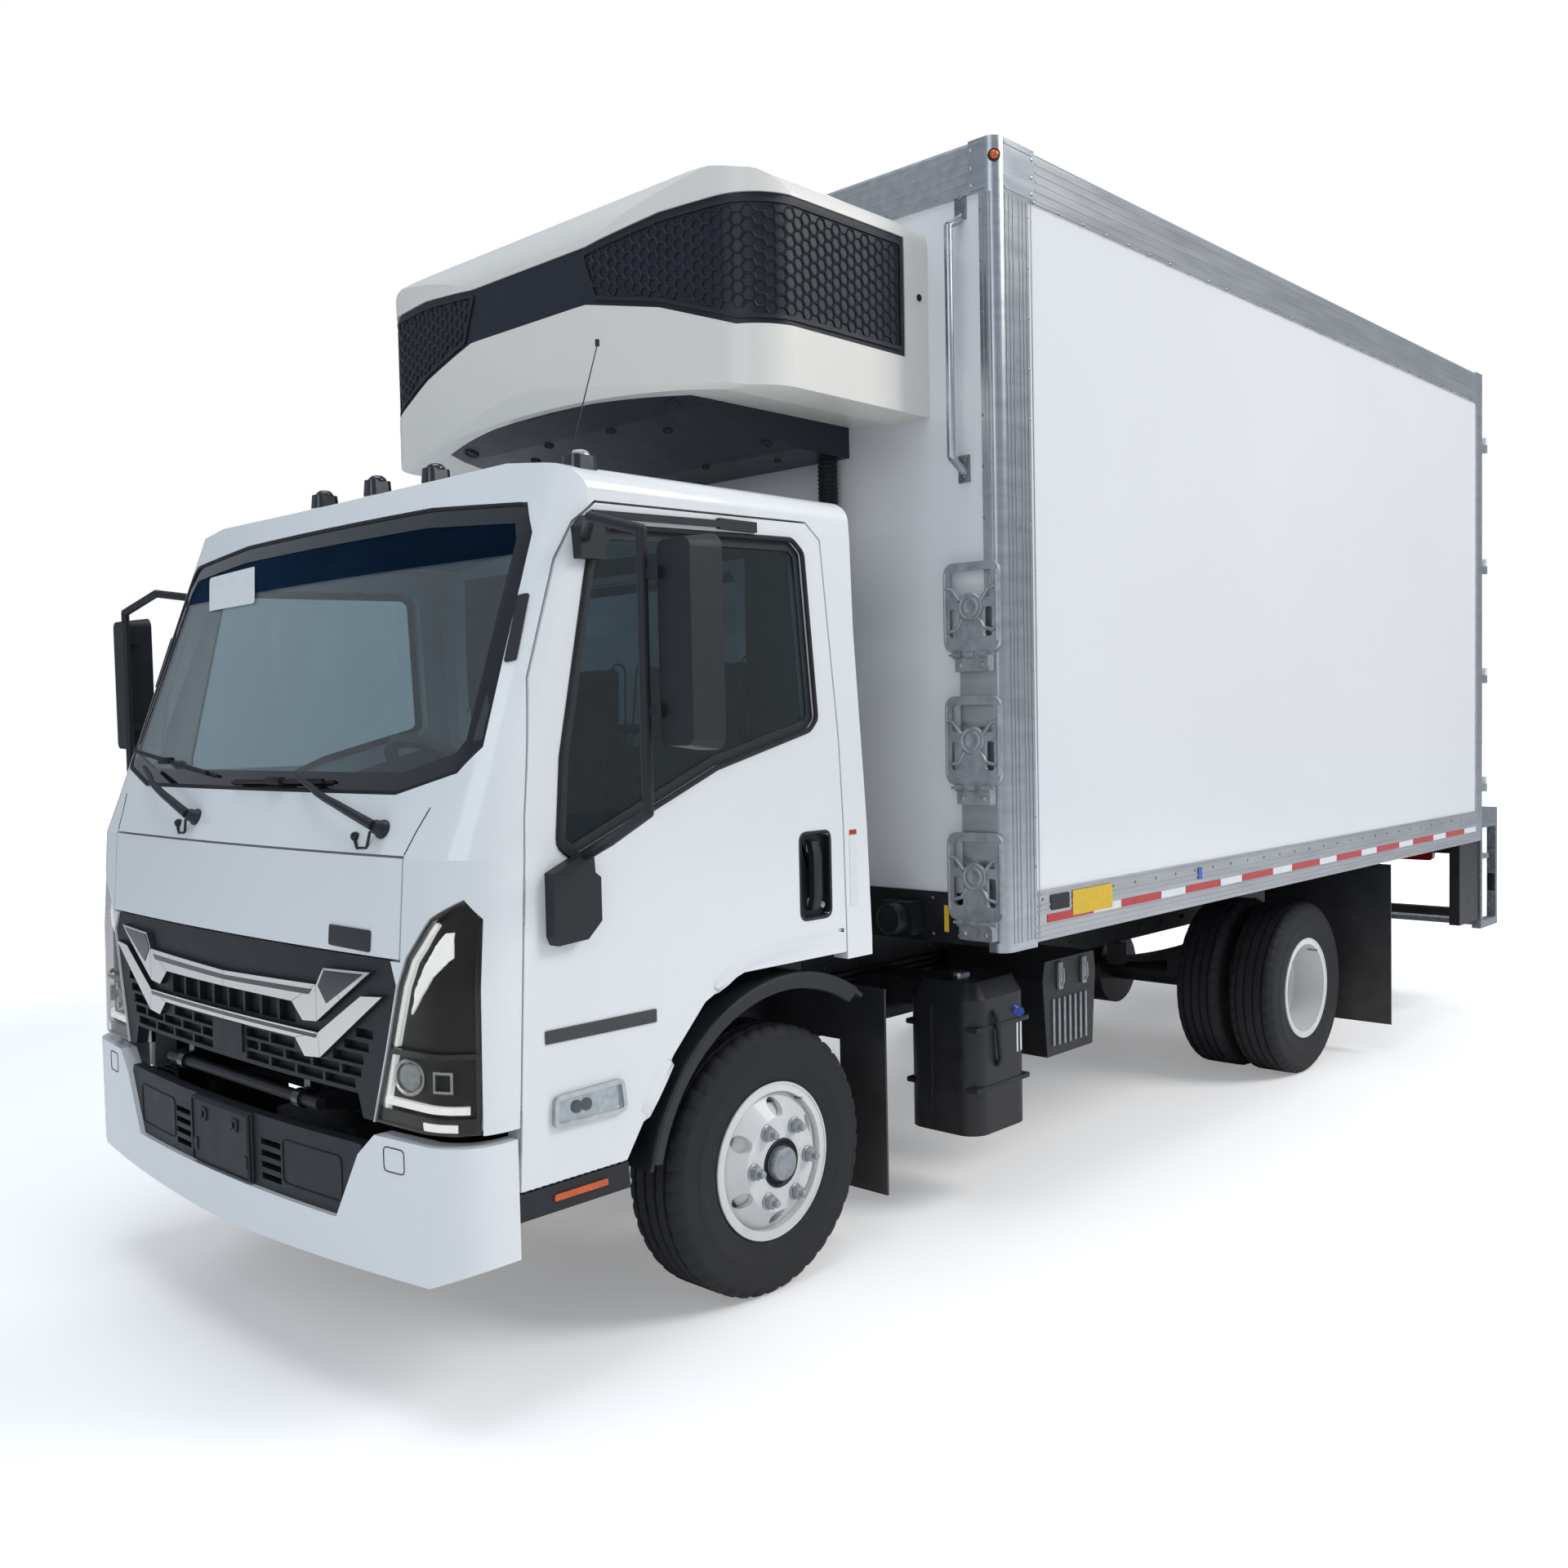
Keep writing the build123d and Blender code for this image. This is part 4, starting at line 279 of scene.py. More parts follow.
for material, names in node_finishes:
    for name in names:
        for material_slot in nodes[name].material_slots:
            material_slot.material = material
        nodes[name].data.set_sharp_from_angle(angle=math.radians(32))


# Geometry helpers
class Shape:
    """Collects the parts of one piece."""

    def __init__(self):
        self.mesh = bmesh.new()

    def block(self, low, high, round_by=0.0, steps=2, turn=None):
        """A box between two corners with rounded edges, turned about its middle by a matrix where given."""
        low, high = Vector(low), Vector(high)
        size = high - low
        matrix = Matrix.Translation((low + high) / 2)
        if turn is not None:
            matrix = matrix @ turn.to_4x4()
        matrix = matrix @ Matrix.Diagonal((*size, 1))
        made = bmesh.ops.create_cube(self.mesh, size=1, matrix=matrix)
        if round_by:
            edges = list({edge for vert in made["verts"] for edge in vert.link_edges})
            bmesh.ops.bevel(self.mesh, geom=edges, offset=round_by, segments=steps, affect="EDGES", profile=0.5)

    def loop_skin(self, loops, cap=True, ring=False):
        """A skin through loops of points that have as many points each. In a ring the last joins the first."""
        rows = [[self.mesh.verts.new(p) for p in loop] for loop in loops]
        count = len(rows[0])
        for a, b in zip(rows, rows[1:] + rows[:1] if ring else rows[1:]):
            for i in range(count):
                j = (i + 1) % count
                self.mesh.faces.new((a[i], a[j], b[j], b[i]))
        if cap and not ring:
            self.mesh.faces.new(reversed(rows[0]))
            self.mesh.faces.new(rows[-1])

    def side_block(self, side, low, high, round_by=0.0, steps=2):
        """A box that is given for the left of the truck, made on a side of it."""
        low_y, high_y = sorted((side * low[1], side * high[1]))
        self.block((low[0], low_y, low[2]), (high[0], high_y, high[2]), round_by, steps)

    def tube(self, points, radius, sides=10):
        """A round tube along a run of points. Its radius is a value, or a function of the share of the run."""
        points = [Vector(p) for p in points]
        loops = []
        side = None
        for i, point in enumerate(points):
            along = (points[min(i + 1, len(points) - 1)] - points[max(i - 1, 0)]).normalized()
            if side is None:
                side = along.orthogonal().normalized()
            side = (side - side.dot(along) * along).normalized()
            other = along.cross(side)
            r = radius(i / (len(points) - 1)) if callable(radius) else radius
            loops.append([
                point + r * (math.cos(a) * side + math.sin(a) * other)
                for a in (2 * math.pi * k / sides for k in range(sides))
            ])
        self.loop_skin(loops)

    def lathe(self, profile, centre, axis, sides=32, ring=False):
        """A turned form from points of (distance along the axis, radius). A ring closes on its first point."""
        axis = Vector(axis).normalized()
        side = axis.orthogonal().normalized()
        other = axis.cross(side)
        centre = Vector(centre)
        loops = []
        for along, radius in profile:
            r = max(radius, 1e-5)
            loops.append([
                centre + along * axis + r * (math.cos(a) * side + math.sin(a) * other)
                for a in (2 * math.pi * k / sides for k in range(sides))
            ])
        self.loop_skin(loops, ring=ring)

    def done(self, name, material, body, slot=None, smooth=35, replaces=()):
        """Ends the piece: links it, paints it and rides it on its body."""
        bmesh.ops.remove_doubles(self.mesh, verts=self.mesh.verts, dist=1e-6)
        bmesh.ops.recalc_face_normals(self.mesh, faces=self.mesh.faces)
        mesh = bpy.data.meshes.new(name)
        self.mesh.to_mesh(mesh)
        self.mesh.free()
        mesh.shade_smooth()
        mesh.set_sharp_from_angle(angle=math.radians(smooth))
        mesh.materials.append(material)
        made = bpy.data.objects.new(name, mesh)
        bpy.context.scene.collection.objects.link(made)
        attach(made, body)
        if replaces:
            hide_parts(*replaces)
        return made


def turned_piece(name, profile, centre, axis, sides, material, body, **options):
    """A piece that is one turned form."""
    shape = Shape()
    shape.lathe(profile, centre, axis, sides)
    return shape.done(name, material, body, **options)


def skin_of(*names):
    """A ray target made of several nodes."""
    vertices = []
    polygons = []
    for name in names:
        mesh = nodes[name].data
        base = len(vertices)
        vertices += [v.co.copy() for v in mesh.vertices]
        polygons += [[base + i for i in polygon.vertices] for polygon in mesh.polygons]
    return BVHTree.FromPolygons(vertices, polygons)


# Plan of the unit's left half, ahead of the front axle and to the left, and the distance run along it
unit_plan = [(0.095, 0.0), (0.0909, 0.2), (0.0783, 0.4), (0.0575, 0.6), (0.030, 0.79), (0.007, 0.858),
             (-0.031, 0.908), (-0.078, 0.942), (-0.130, 0.954), (-0.75, 0.954)]


def unit_ray(u, v):
    """A ray onto the unit's wall, from a distance run around it from the middle, and a height."""
    side = 1 if u >= 0 else -1
    left = abs(u)
    for (x0, y0), (x1, y1) in zip(unit_plan[:-1], unit_plan[1:]):
        run = math.hypot(x1 - x0, y1 - y0)
        if left <= run or (x1, y1) == unit_plan[-1]:
            break
        left -= run
    share = left / run
    place = Vector((at(x0 + share * (x1 - x0)), side * (y0 + share * (y1 - y0)), v))
    outward = Vector((y1 - y0, side * (x0 - x1), 0)).normalized()
    return place + outward * 0.3, -outward


# How a flat drawing maps to the object: the ray's start and direction from the drawing's two numbers
views = {
    "front": lambda u, v: (Vector((4, u, v)), Vector((-1, 0, 0))),
    "left": lambda u, v: (Vector((u, 2, v)), Vector((0, -1, 0))),
    "right": lambda u, v: (Vector((u, -2, v)), Vector((0, 1, 0))),
    "rear": lambda u, v: (Vector((-4, u, v)), Vector((1, 0, 0))),
    "top": lambda u, v: (Vector((u, v, 4)), Vector((0, 0, -1))),
    "below": lambda u, v: (Vector((u, v, 0)), Vector((0, 0, 1))),
    "unit": unit_ray,
    "up": lambda u, v: (Vector((u, v, 1.9)), Vector((0, 0, 1))),
    "back": lambda u, v: (Vector((at(0.1), u, v)), Vector((-1, 0, 0))),
    "to_left": lambda u, v: (Vector((u, 0.6, v)), Vector((0, 1, 0))),
    "to_right": lambda u, v: (Vector((u, -0.6, v)), Vector((0, -1, 0))),
}


def seat(u, v, ray_of, target):
    """Where a drawing's point lies on the surface, and the surface's normal there towards the viewer."""
    start, direction = ray_of(u, v)
    place, normal, _, _ = target.ray_cast(start, direction)
    if place is None:
        place, normal, _, _ = target.find_nearest(start + direction * 2)
    if normal.dot(direction) > 0:
        normal = -normal
    return place, normal


def rounded(points, radius, steps=5):
    """An outline with its corners rounded. The radius is one value or one per corner."""
    result = []
    count = len(points)
    for i, point in enumerate(points):
        r = radius[i] if isinstance(radius, (list, tuple)) else radius
        corner = Vector(point)
        before = (Vector(points[i - 1]) - corner)
        after = (Vector(points[(i + 1) % count]) - corner)
        angle = before.angle(after)
        if r <= 0 or angle > 3.1:
            result.append(tuple(corner))
            continue
        reach = min(r / math.tan(angle / 2), before.length * 0.49, after.length * 0.49)
        start = corner + before.normalized() * reach
        end = corner + after.normalized() * reach
        for k in range(steps + 1):
            t = k / steps
            result.append(tuple((1 - t) ** 2 * start + 2 * t * (1 - t) * corner + t ** 2 * end))
    return result


def inset(points, amount):
    """An outline drawn inwards by an amount, or outwards where it is negative. It has as many points."""
    area = sum(a[0] * b[1] - b[0] * a[1] for a, b in zip(points, points[1:] + points[:1]))
    sign = 1 if area > 0 else -1
    result = []
    count = len(points)
    for i, point in enumerate(points):
        before = (Vector(point) - Vector(points[i - 1])).normalized()
        after = (Vector(points[(i + 1) % count]) - Vector(point)).normalized()
        normal = Vector((-before.y - after.y, before.x + after.x)) * sign
        if normal.length < 1e-9:
            result.append(tuple(point))
            continue
        normal.normalize()
        lean = normal.dot(Vector((-before.y, before.x)) * sign)
        result.append(tuple(Vector(point) + normal * amount / max(lean, 0.35)))
    return result


def band(outer, inner):
    """The strip between two outlines of as many points, as four-sided faces."""
    count = len(outer)
    return [[outer[i], outer[(i + 1) % count], inner[(i + 1) % count], inner[i]] for i in range(count)]


def drape(shape, outlines, view, target, offset=0.001, thickness=0.002, step=0.03, lift=None):
    """Lays flat outlines on the surface seen in a view, as a sheet of some thickness."""
    ray_of = views[view]
    sheet = bmesh.new()
    for outline in outlines:
        sheet.faces.new([sheet.verts.new((u, v, 0)) for u, v in outline])
    bmesh.ops.remove_doubles(sheet, verts=sheet.verts, dist=1e-6)
    for axis in (0, 1):
        values = [v.co[axis] for v in sheet.verts]
        normal = (1, 0, 0) if axis == 0 else (0, 1, 0)
        first = math.floor(min(values) / step) + 1
        for k in range(first, math.ceil(max(values) / step)):
            cut = Vector((0, 0, 0))
            cut[axis] = k * step
            geometry = sheet.verts[:] + sheet.edges[:] + sheet.faces[:]
            bmesh.ops.bisect_plane(sheet, geom=geometry, plane_co=cut, plane_no=normal, dist=1e-6)
    bmesh.ops.triangulate(sheet, faces=[f for f in sheet.faces if len(f.verts) > 4])
    placed = {}
    for vert in sheet.verts:
        u, v = vert.co.x, vert.co.y
        place, normal = seat(u, v, ray_of, target)
        raise_by = offset + (lift(u, v) if lift else 0)
        placed[vert] = (place + normal * raise_by, place + normal * (raise_by + thickness))
    low = {vert: shape.mesh.verts.new(pair[0]) for vert, pair in placed.items()}
    high = {vert: shape.mesh.verts.new(pair[1]) for vert, pair in placed.items()}
    for face in sheet.faces:
        corners = list(face.verts)
        shape.mesh.faces.new([high[v] for v in corners])
        shape.mesh.faces.new([low[v] for v in reversed(corners)])
    for edge in sheet.edges:
        if len(edge.link_faces) == 1:
            a, b = edge.verts
            shape.mesh.faces.new((low[a], low[b], high[b], high[a]))
    sheet.free()


def sheet_piece(name, outlines, view, target, material, body, slot=None, smooth=50, replaces=(), **options):
    """A piece that is draped sheets."""
    shape = Shape()
    drape(shape, outlines, view, target, **options)
    return shape.done(name, material, body, slot=slot, smooth=smooth, replaces=replaces)


def mirrored(points):
    """A front view outline on the other side of the middle."""
    return [(-u, v) for u, v in reversed(points)]


# Floor and light
def make_floor():
    """A white floor that keeps the shadow near the truck and fades to plain white far from it."""
    shape = Shape()
    shape.mesh.faces.new([shape.mesh.verts.new((floor_half * x, floor_half * y, 0))
                          for x, y in ((-1, -1), (1, -1), (1, 1), (-1, 1))])
    mesh = bpy.data.meshes.new("floor")
    shape.mesh.to_mesh(mesh)
    shape.mesh.free()
    floor = bpy.data.objects.new("floor", mesh)
    bpy.context.scene.collection.objects.link(floor)
    material, tree, shader = new_material("floor_white")
    shader.inputs["Base Color"].default_value = (0.93, 0.93, 0.93, 1)
    shader.inputs["Roughness"].default_value = 0.95
    shader.inputs["Specular IOR Level"].default_value = 0.1
    shader.inputs["Emission Color"].default_value = (1, 1, 1, 1)
    place = add_node(tree, "TexCoord").outputs["Object"]
    reach = add_node(tree, "VectorMath", {0: place}, operation="LENGTH").outputs["Value"]
    fade = add_node(tree, "MapRange", {"From Min": floor_plain_reach, "From Max": floor_white_reach,
                                       "To Min": floor_boost, "To Max": 1, "Value": reach},
                    interpolation_type="SMOOTHSTEP").outputs["Result"]
    seen = add_node(tree, "LightPath").outputs["Is Camera Ray"]
    boost = add_node(tree, "Math", {0: seen, 1: fade}, operation="MULTIPLY")
    tree.links.new(boost.outputs["Value"], shader.inputs["Emission Strength"])
    mesh.materials.append(material)


def make_surround():
    """A surround that is white to the eye and a soft grey to blue light for the truck."""
    world = bpy.data.worlds.new("surround")
    world.use_nodes = True
    tree = world.node_tree
    tree.nodes.clear()
    output = add_node(tree, "OutputWorld")
    path = add_node(tree, "LightPath").outputs
    seen = add_node(tree, "Math", {0: path["Is Camera Ray"], 1: path["Is Transmission Ray"]}, operation="MAXIMUM")
    white = add_node(tree, "Background", {"Color": (1, 1, 1, 1)})
    place = add_node(tree, "TexCoord").outputs["Generated"]
    height = add_node(tree, "SeparateXYZ", {"Vector": place}).outputs["Z"]
    level = add_node(tree, "MapRange", {"From Min": -1, "Value": height}).outputs["Result"]
    sky = add_ramp(tree, level, (0.46, linear("c9ccd2")), (0.75, linear("d5e2f5")))
    soft = add_node(tree, "Background", {"Strength": world_strength, "Color": sky})
    mix = add_node(tree, "MixShader", {"Fac": seen.outputs["Value"], 1: soft.outputs["Background"],
                                       2: white.outputs["Background"]})
    tree.links.new(mix.outputs["Shader"], output.inputs["Surface"])
    bpy.context.scene.world = world


def make_lamps():
    """Soft round lamps, all aimed at the truck."""
    for name, place, size, power, tint in lamps:
        data = bpy.data.lights.new(name, "AREA")
        data.shape = "DISK"
        data.size = size
        data.energy = power
        data.color = tint
        lamp = bpy.data.objects.new(name, data)
        lamp.location = place
        aim = Vector(lamp_target) - Vector(place)
        lamp.rotation_mode = "QUATERNION"
        lamp.rotation_quaternion = aim.to_track_quat("-Z", "Y")
        bpy.context.scene.collection.objects.link(lamp)


floor_half = 60
floor_boost = 0.26
floor_plain_reach = 5.0
floor_white_reach = 10.0
world_strength = 0.5
# Name, place, size, power and tint of each lamp
lamps = [
    ("key", (-4.0, 9.0, 9.0), 6.0, 800, (1.0, 0.97, 0.93)),
    ("top", (3.0, 0.5, 11.0), 7.0, 420, (0.95, 0.98, 1.0)),
    ("front", (11.0, 4.0, 5.0), 6.0, 150, (0.96, 0.98, 1.0)),
    ("back", (-9.0, -8.0, 7.0), 6.0, 500, (1.0, 1.0, 1.0)),
]
lamp_target = (0.3, 0, 1.4)
make_floor()
make_surround()
make_lamps()


# Tyres with grooves, shoulder blocks and raised rings on the walls
tyre_radius = (tyre_high.z - tyre_low.z) / 2
tyre_half = (tyre_high.y - tyre_low.y) / 2
tread_grooves = [-0.058, -0.02, 0.02, 0.058]
tread_segments = 168
tread_edge = (tyre_radius - 0.0008, 0.0765)
# Half of a tyre's outline from the bead to the tread's edge, as (radius, distance from the middle)
tyre_wall = [
    (0.2075, 0.080), (0.2145, 0.089), (0.228, 0.0935), (0.232, 0.0965), (0.243, 0.0985), (0.262, 0.1025),
    (0.276, 0.1045), (0.278, 0.1055), (0.292, 0.1058), (0.3, 0.1058), (0.302, 0.1045), (0.33, 0.1035),
    (0.346, 0.1015), (0.3475, 0.1025), (0.356, 0.1015), (0.367, 0.096), (0.3765, 0.0885), (0.3825, 0.0815),
]


def make_tyre(name, centre, body, replaces):
    """A tyre about an axle point. The crown is a ring of rows with grooves, the shoulders have blocks."""
    crown = [tread_edge]
    for groove in reversed(tread_grooves):
        crown += [(tyre_radius - 0.0004, groove + 0.0062), (tyre_radius - 0.011, groove + 0.0042),
                  (tyre_radius - 0.011, groove - 0.0042), (tyre_radius - 0.0004, groove - 0.0062)]
    crown.append((tread_edge[0], -tread_edge[1]))
    rows = tyre_wall + crown + [(radius, -across) for radius, across in reversed(tyre_wall)]
    shape = Shape()
    loops = []
    for index, (radius, across) in enumerate(rows):
        ribbed = (radius, across) in crown and abs(across) < 0.07 and radius > tyre_radius - 0.002
        loop = []
        for k in range(tread_segments):
            angle = 2 * math.pi * k / tread_segments
            r = radius
            if abs(across) > 0.07 and radius > 0.36 and k % 4 == 0:
                r -= 0.007
            if ribbed and k % 4 == (0 if index % 2 else 2):
                r -= 0.0025
            loop.append(centre + Vector((r * math.cos(angle), across, r * math.sin(angle))))
        loops.append(loop)
    shape.loop_skin(loops, cap=False)
    shape.mesh.verts.ensure_lookup_table()
    count = tread_segments
    first = shape.mesh.verts[:count]
    last = shape.mesh.verts[-count:]
    for i in range(count):
        j = (i + 1) % count
        shape.mesh.faces.new((first[j], first[i], last[i], last[j]))
    return shape.done(name, tyre_black, body, slot="tyre", smooth=28, replaces=replaces)


outer_tyre_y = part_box("rear_left_tyres")[1].y - tyre_half
inner_tyre_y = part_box("rear_left_tyres")[0].y + tyre_half
for side, label in labelled_sides:
    make_tyre(f"tyre_front_{label}", Vector((front_axle.x, side * front_axle.y, front_axle.z)),
              f"front_{label}_wheel", [f"front_{label}_tyre"])
    make_tyre(f"tyre_rear_outer_{label}", Vector((rear_axle.x, side * outer_tyre_y, rear_axle.z)),
              f"rear_{label}_wheels", [f"rear_{label}_tyres"])
    make_tyre(f"tyre_rear_inner_{label}", Vector((rear_axle.x, side * inner_tyre_y, rear_axle.z)),
              f"rear_{label}_wheels", [f"rear_{label}_tyres"])


# Drawing helpers for the trim
def metres(points):
    """Front view points given in millimetres."""
    return [(u / 1000, v / 1000) for u, v in points]


def ahead(points):
    """Side view points given in millimetres ahead of the front axle and above the ground."""
    return [(at(x / 1000), z / 1000) for x, z in points]


def resampled(points, spacing, closed=True):
    """Points along a line at an even spacing, its corners kept."""
    run = points + points[:1] if closed else points
    result = []
    for a, b in zip(run[:-1], run[1:]):
        a, b = Vector(a), Vector(b)
        count = max(1, round((b - a).length / spacing))
        result += [tuple(a.lerp(b, k / count)) for k in range(count)]
    if not closed:
        result.append(tuple(run[-1]))
    return result


def ribbon(path, width):
    """Quads of a strip along an open line, to its left for a positive width."""
    sides = []
    for i, point in enumerate(path):
        ahead_of = Vector(path[min(i + 1, len(path) - 1)]) - Vector(path[max(i - 1, 0)])
        normal = Vector((-ahead_of.y, ahead_of.x)).normalized()
        sides.append(tuple(Vector(point) + normal * width))
    return [[path[i], path[i + 1], sides[i + 1], sides[i]] for i in range(len(path) - 1)]


def bead(name, points, view, target, radius, body, offset=0.0):
    """A piece that is a round rubber bead laid on a surface along a drawn ring."""
    places = []
    for u, v in resampled(points, 0.04):
        place, normal = seat(u, v, views[view], target)
        places.append(place + normal * offset)
    places.append(places[0] + (places[1] - places[0]) * 0.02)
    shape = Shape()
    shape.tube(places, radius, sides=6)
    shape.done(name, rubber, body)


def box_outline(u, v, width, height, radius=0.0):
    """A rectangle about a middle, its corners rounded where a radius is given."""
    points = [(u - width / 2, v - height / 2), (u + width / 2, v - height / 2),
              (u + width / 2, v + height / 2), (u - width / 2, v + height / 2)]
    return rounded(points, radius, 4) if radius else points


def plate(name, outline, view, target, material, body, **options):
    """A flat label or cover with a rounded outline laid on a surface."""
    return sheet_piece(name, [outline], view, target, material, body, **options)


def flip(points):
    """A side or front drawing in the same place, wound the other way."""
    return list(reversed(points))


# Windscreen: dark printed border on the glass, a seal around it and a shade along its top
glass_skin = skin_of("cab_glass")
shell_skin = skin_of("cab_shell")
windscreen = metres([(-700, 1478), (700, 1478), (905, 1530), (950, 1590), (925, 2100), (885, 2178), (500, 2205),
                     (-500, 2205), (-885, 2178), (-925, 2100), (-950, 1590), (-905, 1530)])
windscreen = rounded(windscreen, 0.05, 4)
sheet_piece("windscreen_border", band(inset(windscreen, 0.003), inset(windscreen, 0.052)), "front", glass_skin,
            gloss_black, "cab", offset=0.0005, thickness=0.0015, step=0.05)
shade = metres([(-880, 2050), (880, 2050), (872, 2100), (840, 2142), (500, 2160), (-500, 2160), (-840, 2142),
                (-872, 2100)])
sheet_piece("windscreen_shade", [shade], "front", glass_skin, shade_glass, "cab", offset=0.0004, thickness=0.001,
            step=0.06)
plate("windscreen_label", rounded(metres([(-661, 2015), (-333, 2016), (-417, 2134), (-754, 2128)]), 0.01),
      "front", glass_skin, label_white, "cab", offset=0.0024, thickness=0.0008, step=0.06)
bead("windscreen_seal", inset(windscreen, 0.003), "front", glass_skin, 0.007, "cab", offset=0.002)
rear_window = metres([(-560, 1600), (560, 1600), (590, 1640), (570, 2080), (540, 2110), (-540, 2110),
                      (-570, 2080), (-590, 1640)])
sheet_piece("rear_window_border", band(inset(rear_window, 0.002), inset(rear_window, 0.035)), "rear", glass_skin,
            gloss_black, "cab", offset=0.0005, thickness=0.0015, step=0.06)

# Cowl seams beside the lid
seams = Shape()
for side in (1, -1):
    path = [(side * 0.845, 1.452), (side * 0.82, 1.395), (side * 0.803, 1.343)]
    drape(seams, ribbon(path, 0.003), "front", shell_skin, offset=0.0003, thickness=0.0006, step=0.05)
seams.done("cowl_seams", gap_black, "cab")

# Wipers: pivots on the cowl, arms and blades that follow the glass
# Across and height of each wiper's pivot, its arm's end, its blade's start and its blade's end
wiper_table = [
    ((0.694, 1.397), (0.287, 1.507), (-0.103, 1.495), (0.424, 1.504)),
    ((-0.250, 1.399), (-0.697, 1.525), (-0.93, 1.585), (-0.205, 1.512)),
]
wiper_pivot = [(-0.004, 0.024), (0.006, 0.024), (0.012, 0.019), (0.026, 0.017), (0.032, 0.012), (0.034, 0)]
washer_jet = [(-0.002, 0.012), (0.008, 0.011), (0.013, 0.006), (0.014, 0)]


def seated_run(start, end, count, target):
    """Points and normals at even steps along a straight line of the front view, seated on a surface."""
    line = [Vector(start).lerp(Vector(end), k / count) for k in range(count + 1)]
    return [seat(*point, views["front"], target) for point in line]


nose_skin = skin_of("cab_shell", "cab_glass", "front_lid")
wiper_arms = Shape()
wiper_blades = Shape()
cowl_parts = Shape()
for (y, z), arm_end, blade_start, blade_end in wiper_table:
    arm = seated_run((y, z), arm_end, 8, nose_skin)
    cowl_parts.lathe(wiper_pivot, *arm[0], sides=16)
    wiper_arms.tube([p + n * (0.03 + 0.018 * math.sin(math.pi * k / 8)) for k, (p, n) in enumerate(arm)],
                    lambda t: 0.0135 - 0.007 * t, sides=8)
    blade = seated_run(blade_start, blade_end, 14, glass_skin)
    wiper_blades.tube([p + n * 0.006 for p, n in blade], 0.0045, sides=6)
    wiper_blades.tube([p + n * 0.016 for p, n in blade[1:-1]], 0.0065, sides=6)
    middle = blade[7][0] + blade[7][1] * 0.02
    joint_half = Vector((0.012, 0.035, 0.01))
    wiper_blades.block(middle - joint_half, middle + joint_half, 0.004)
    hose_start, hose_normal = seat(y - 0.02, z - 0.012, views["front"], nose_skin)
    hose_end, _ = seat(y - 0.1, z - 0.02, views["front"], nose_skin)
    sags = [hose_start.lerp(hose_end, share) + Vector((0.012, 0, -drop))
            for share, drop in ((0.3, 0.03), (0.75, 0.028))]
    cowl_parts.tube([hose_start + hose_normal * 0.02, *sags, hose_end + hose_normal * 0.008], 0.004, sides=6)
    cowl_parts.lathe(washer_jet, hose_end, hose_normal, sides=10)
wiper_arms.done("wiper_arms", plain_black, "cab")
wiper_blades.done("wiper_blades", rubber, "cab")
cowl_parts.done("wiper_pivots", plain_black, "cab")

# Grille: bright bars over the solids' bars, a dark wedge at each end and thin edges
grille_skin = skin_of("grille")
# Half of each bar, and its pieces without hollow corners as numbers of its points
bright_bars = [
    ([(0, 1000), (475, 1012), (506, 1056), (704, 1063), (579, 985), (474, 920), (410, 915), (359, 958), (0, 957)],
     [(0, 1, 7, 8), (1, 5, 6, 7), (1, 2, 4, 5), (2, 3, 4)]),
    ([(0, 893), (478, 893), (664, 1003), (751, 1010), (486, 832), (416, 826), (372, 868), (0, 868)],
     [(0, 1, 6, 7), (1, 4, 5, 6), (1, 2, 3, 4)]),
]


def both_sides(half):
    """Front view faces on both sides of the middle, from one on the left, in metres."""
    return [metres(half), mirrored(metres(half))]


bars = Shape()
for points, cuts in bright_bars:
    for cut in cuts:
        for face in both_sides([points[i] for i in cut]):
            drape(bars, [inset(face, 0.0006)], "front", grille_skin, offset=0.0006, thickness=0.002, step=0.04)
bars.done("grille_bright_bars", chrome, "cab")

wedges = Shape()
for half in ([(484, 1010), (512, 1050), (676, 1056), (575, 1000), (520, 970)],
             [(0, 888), (474, 888), (468, 879), (0, 879)],
             [(0, 988), (455, 998), (440, 984), (0, 976)]):
    for face in both_sides(half):
        drape(wedges, [face], "front", grille_skin, offset=0.0028, thickness=0.0012, step=0.04)
wedges.done("grille_dark_wedges", gloss_black, "cab")

# Blank badge plate on the lid, where the photograph has one
lid_skin = skin_of("front_lid")
plate("lid_badge_plate", rounded(metres([(517, 1113), (690, 1108), (690, 1160), (517, 1163)]), 0.008), "front",
      lid_skin, gloss_black, "front_lid", offset=0.0004, thickness=0.003, step=0.05)

# Headlamps: smoked housing, light strips, a field of reflectors, a projector and the clear cover
lamp_skin = skin_of("headlamps")
lamp_face = metres([(699, 707), (998, 707), (998, 1199), (975, 1240), (906, 1199), (828, 1105), (800, 1038),
                    (755, 881)])
lamp_strips = [
    [(762, 893), (775, 893), (818, 1033), (844, 1095), (921, 1186), (935, 1200), (912, 1192), (833, 1100),
     (806, 1036)],
    [(716, 722), (728, 722), (768, 872), (757, 872)],
    [(722, 752), (985, 752), (985, 769), (727, 769)],
]
reflector_field = metres([(822, 972), (895, 1062), (955, 1112), (955, 1170), (934, 1168), (870, 1092),
                          (840, 1036)])
reflector_wave = 520
lamp_bezel = [(-0.03, 0.044), (-0.012, 0.044), (-0.009, 0.041), (-0.012, 0.036), (-0.02, 0.034), (-0.02, 0)]
lamp_projector = [(-0.026, 0.033), (-0.02, 0.033), (-0.013, 0.029), (-0.008, 0.02), (-0.006, 0.009), (-0.0055, 0)]


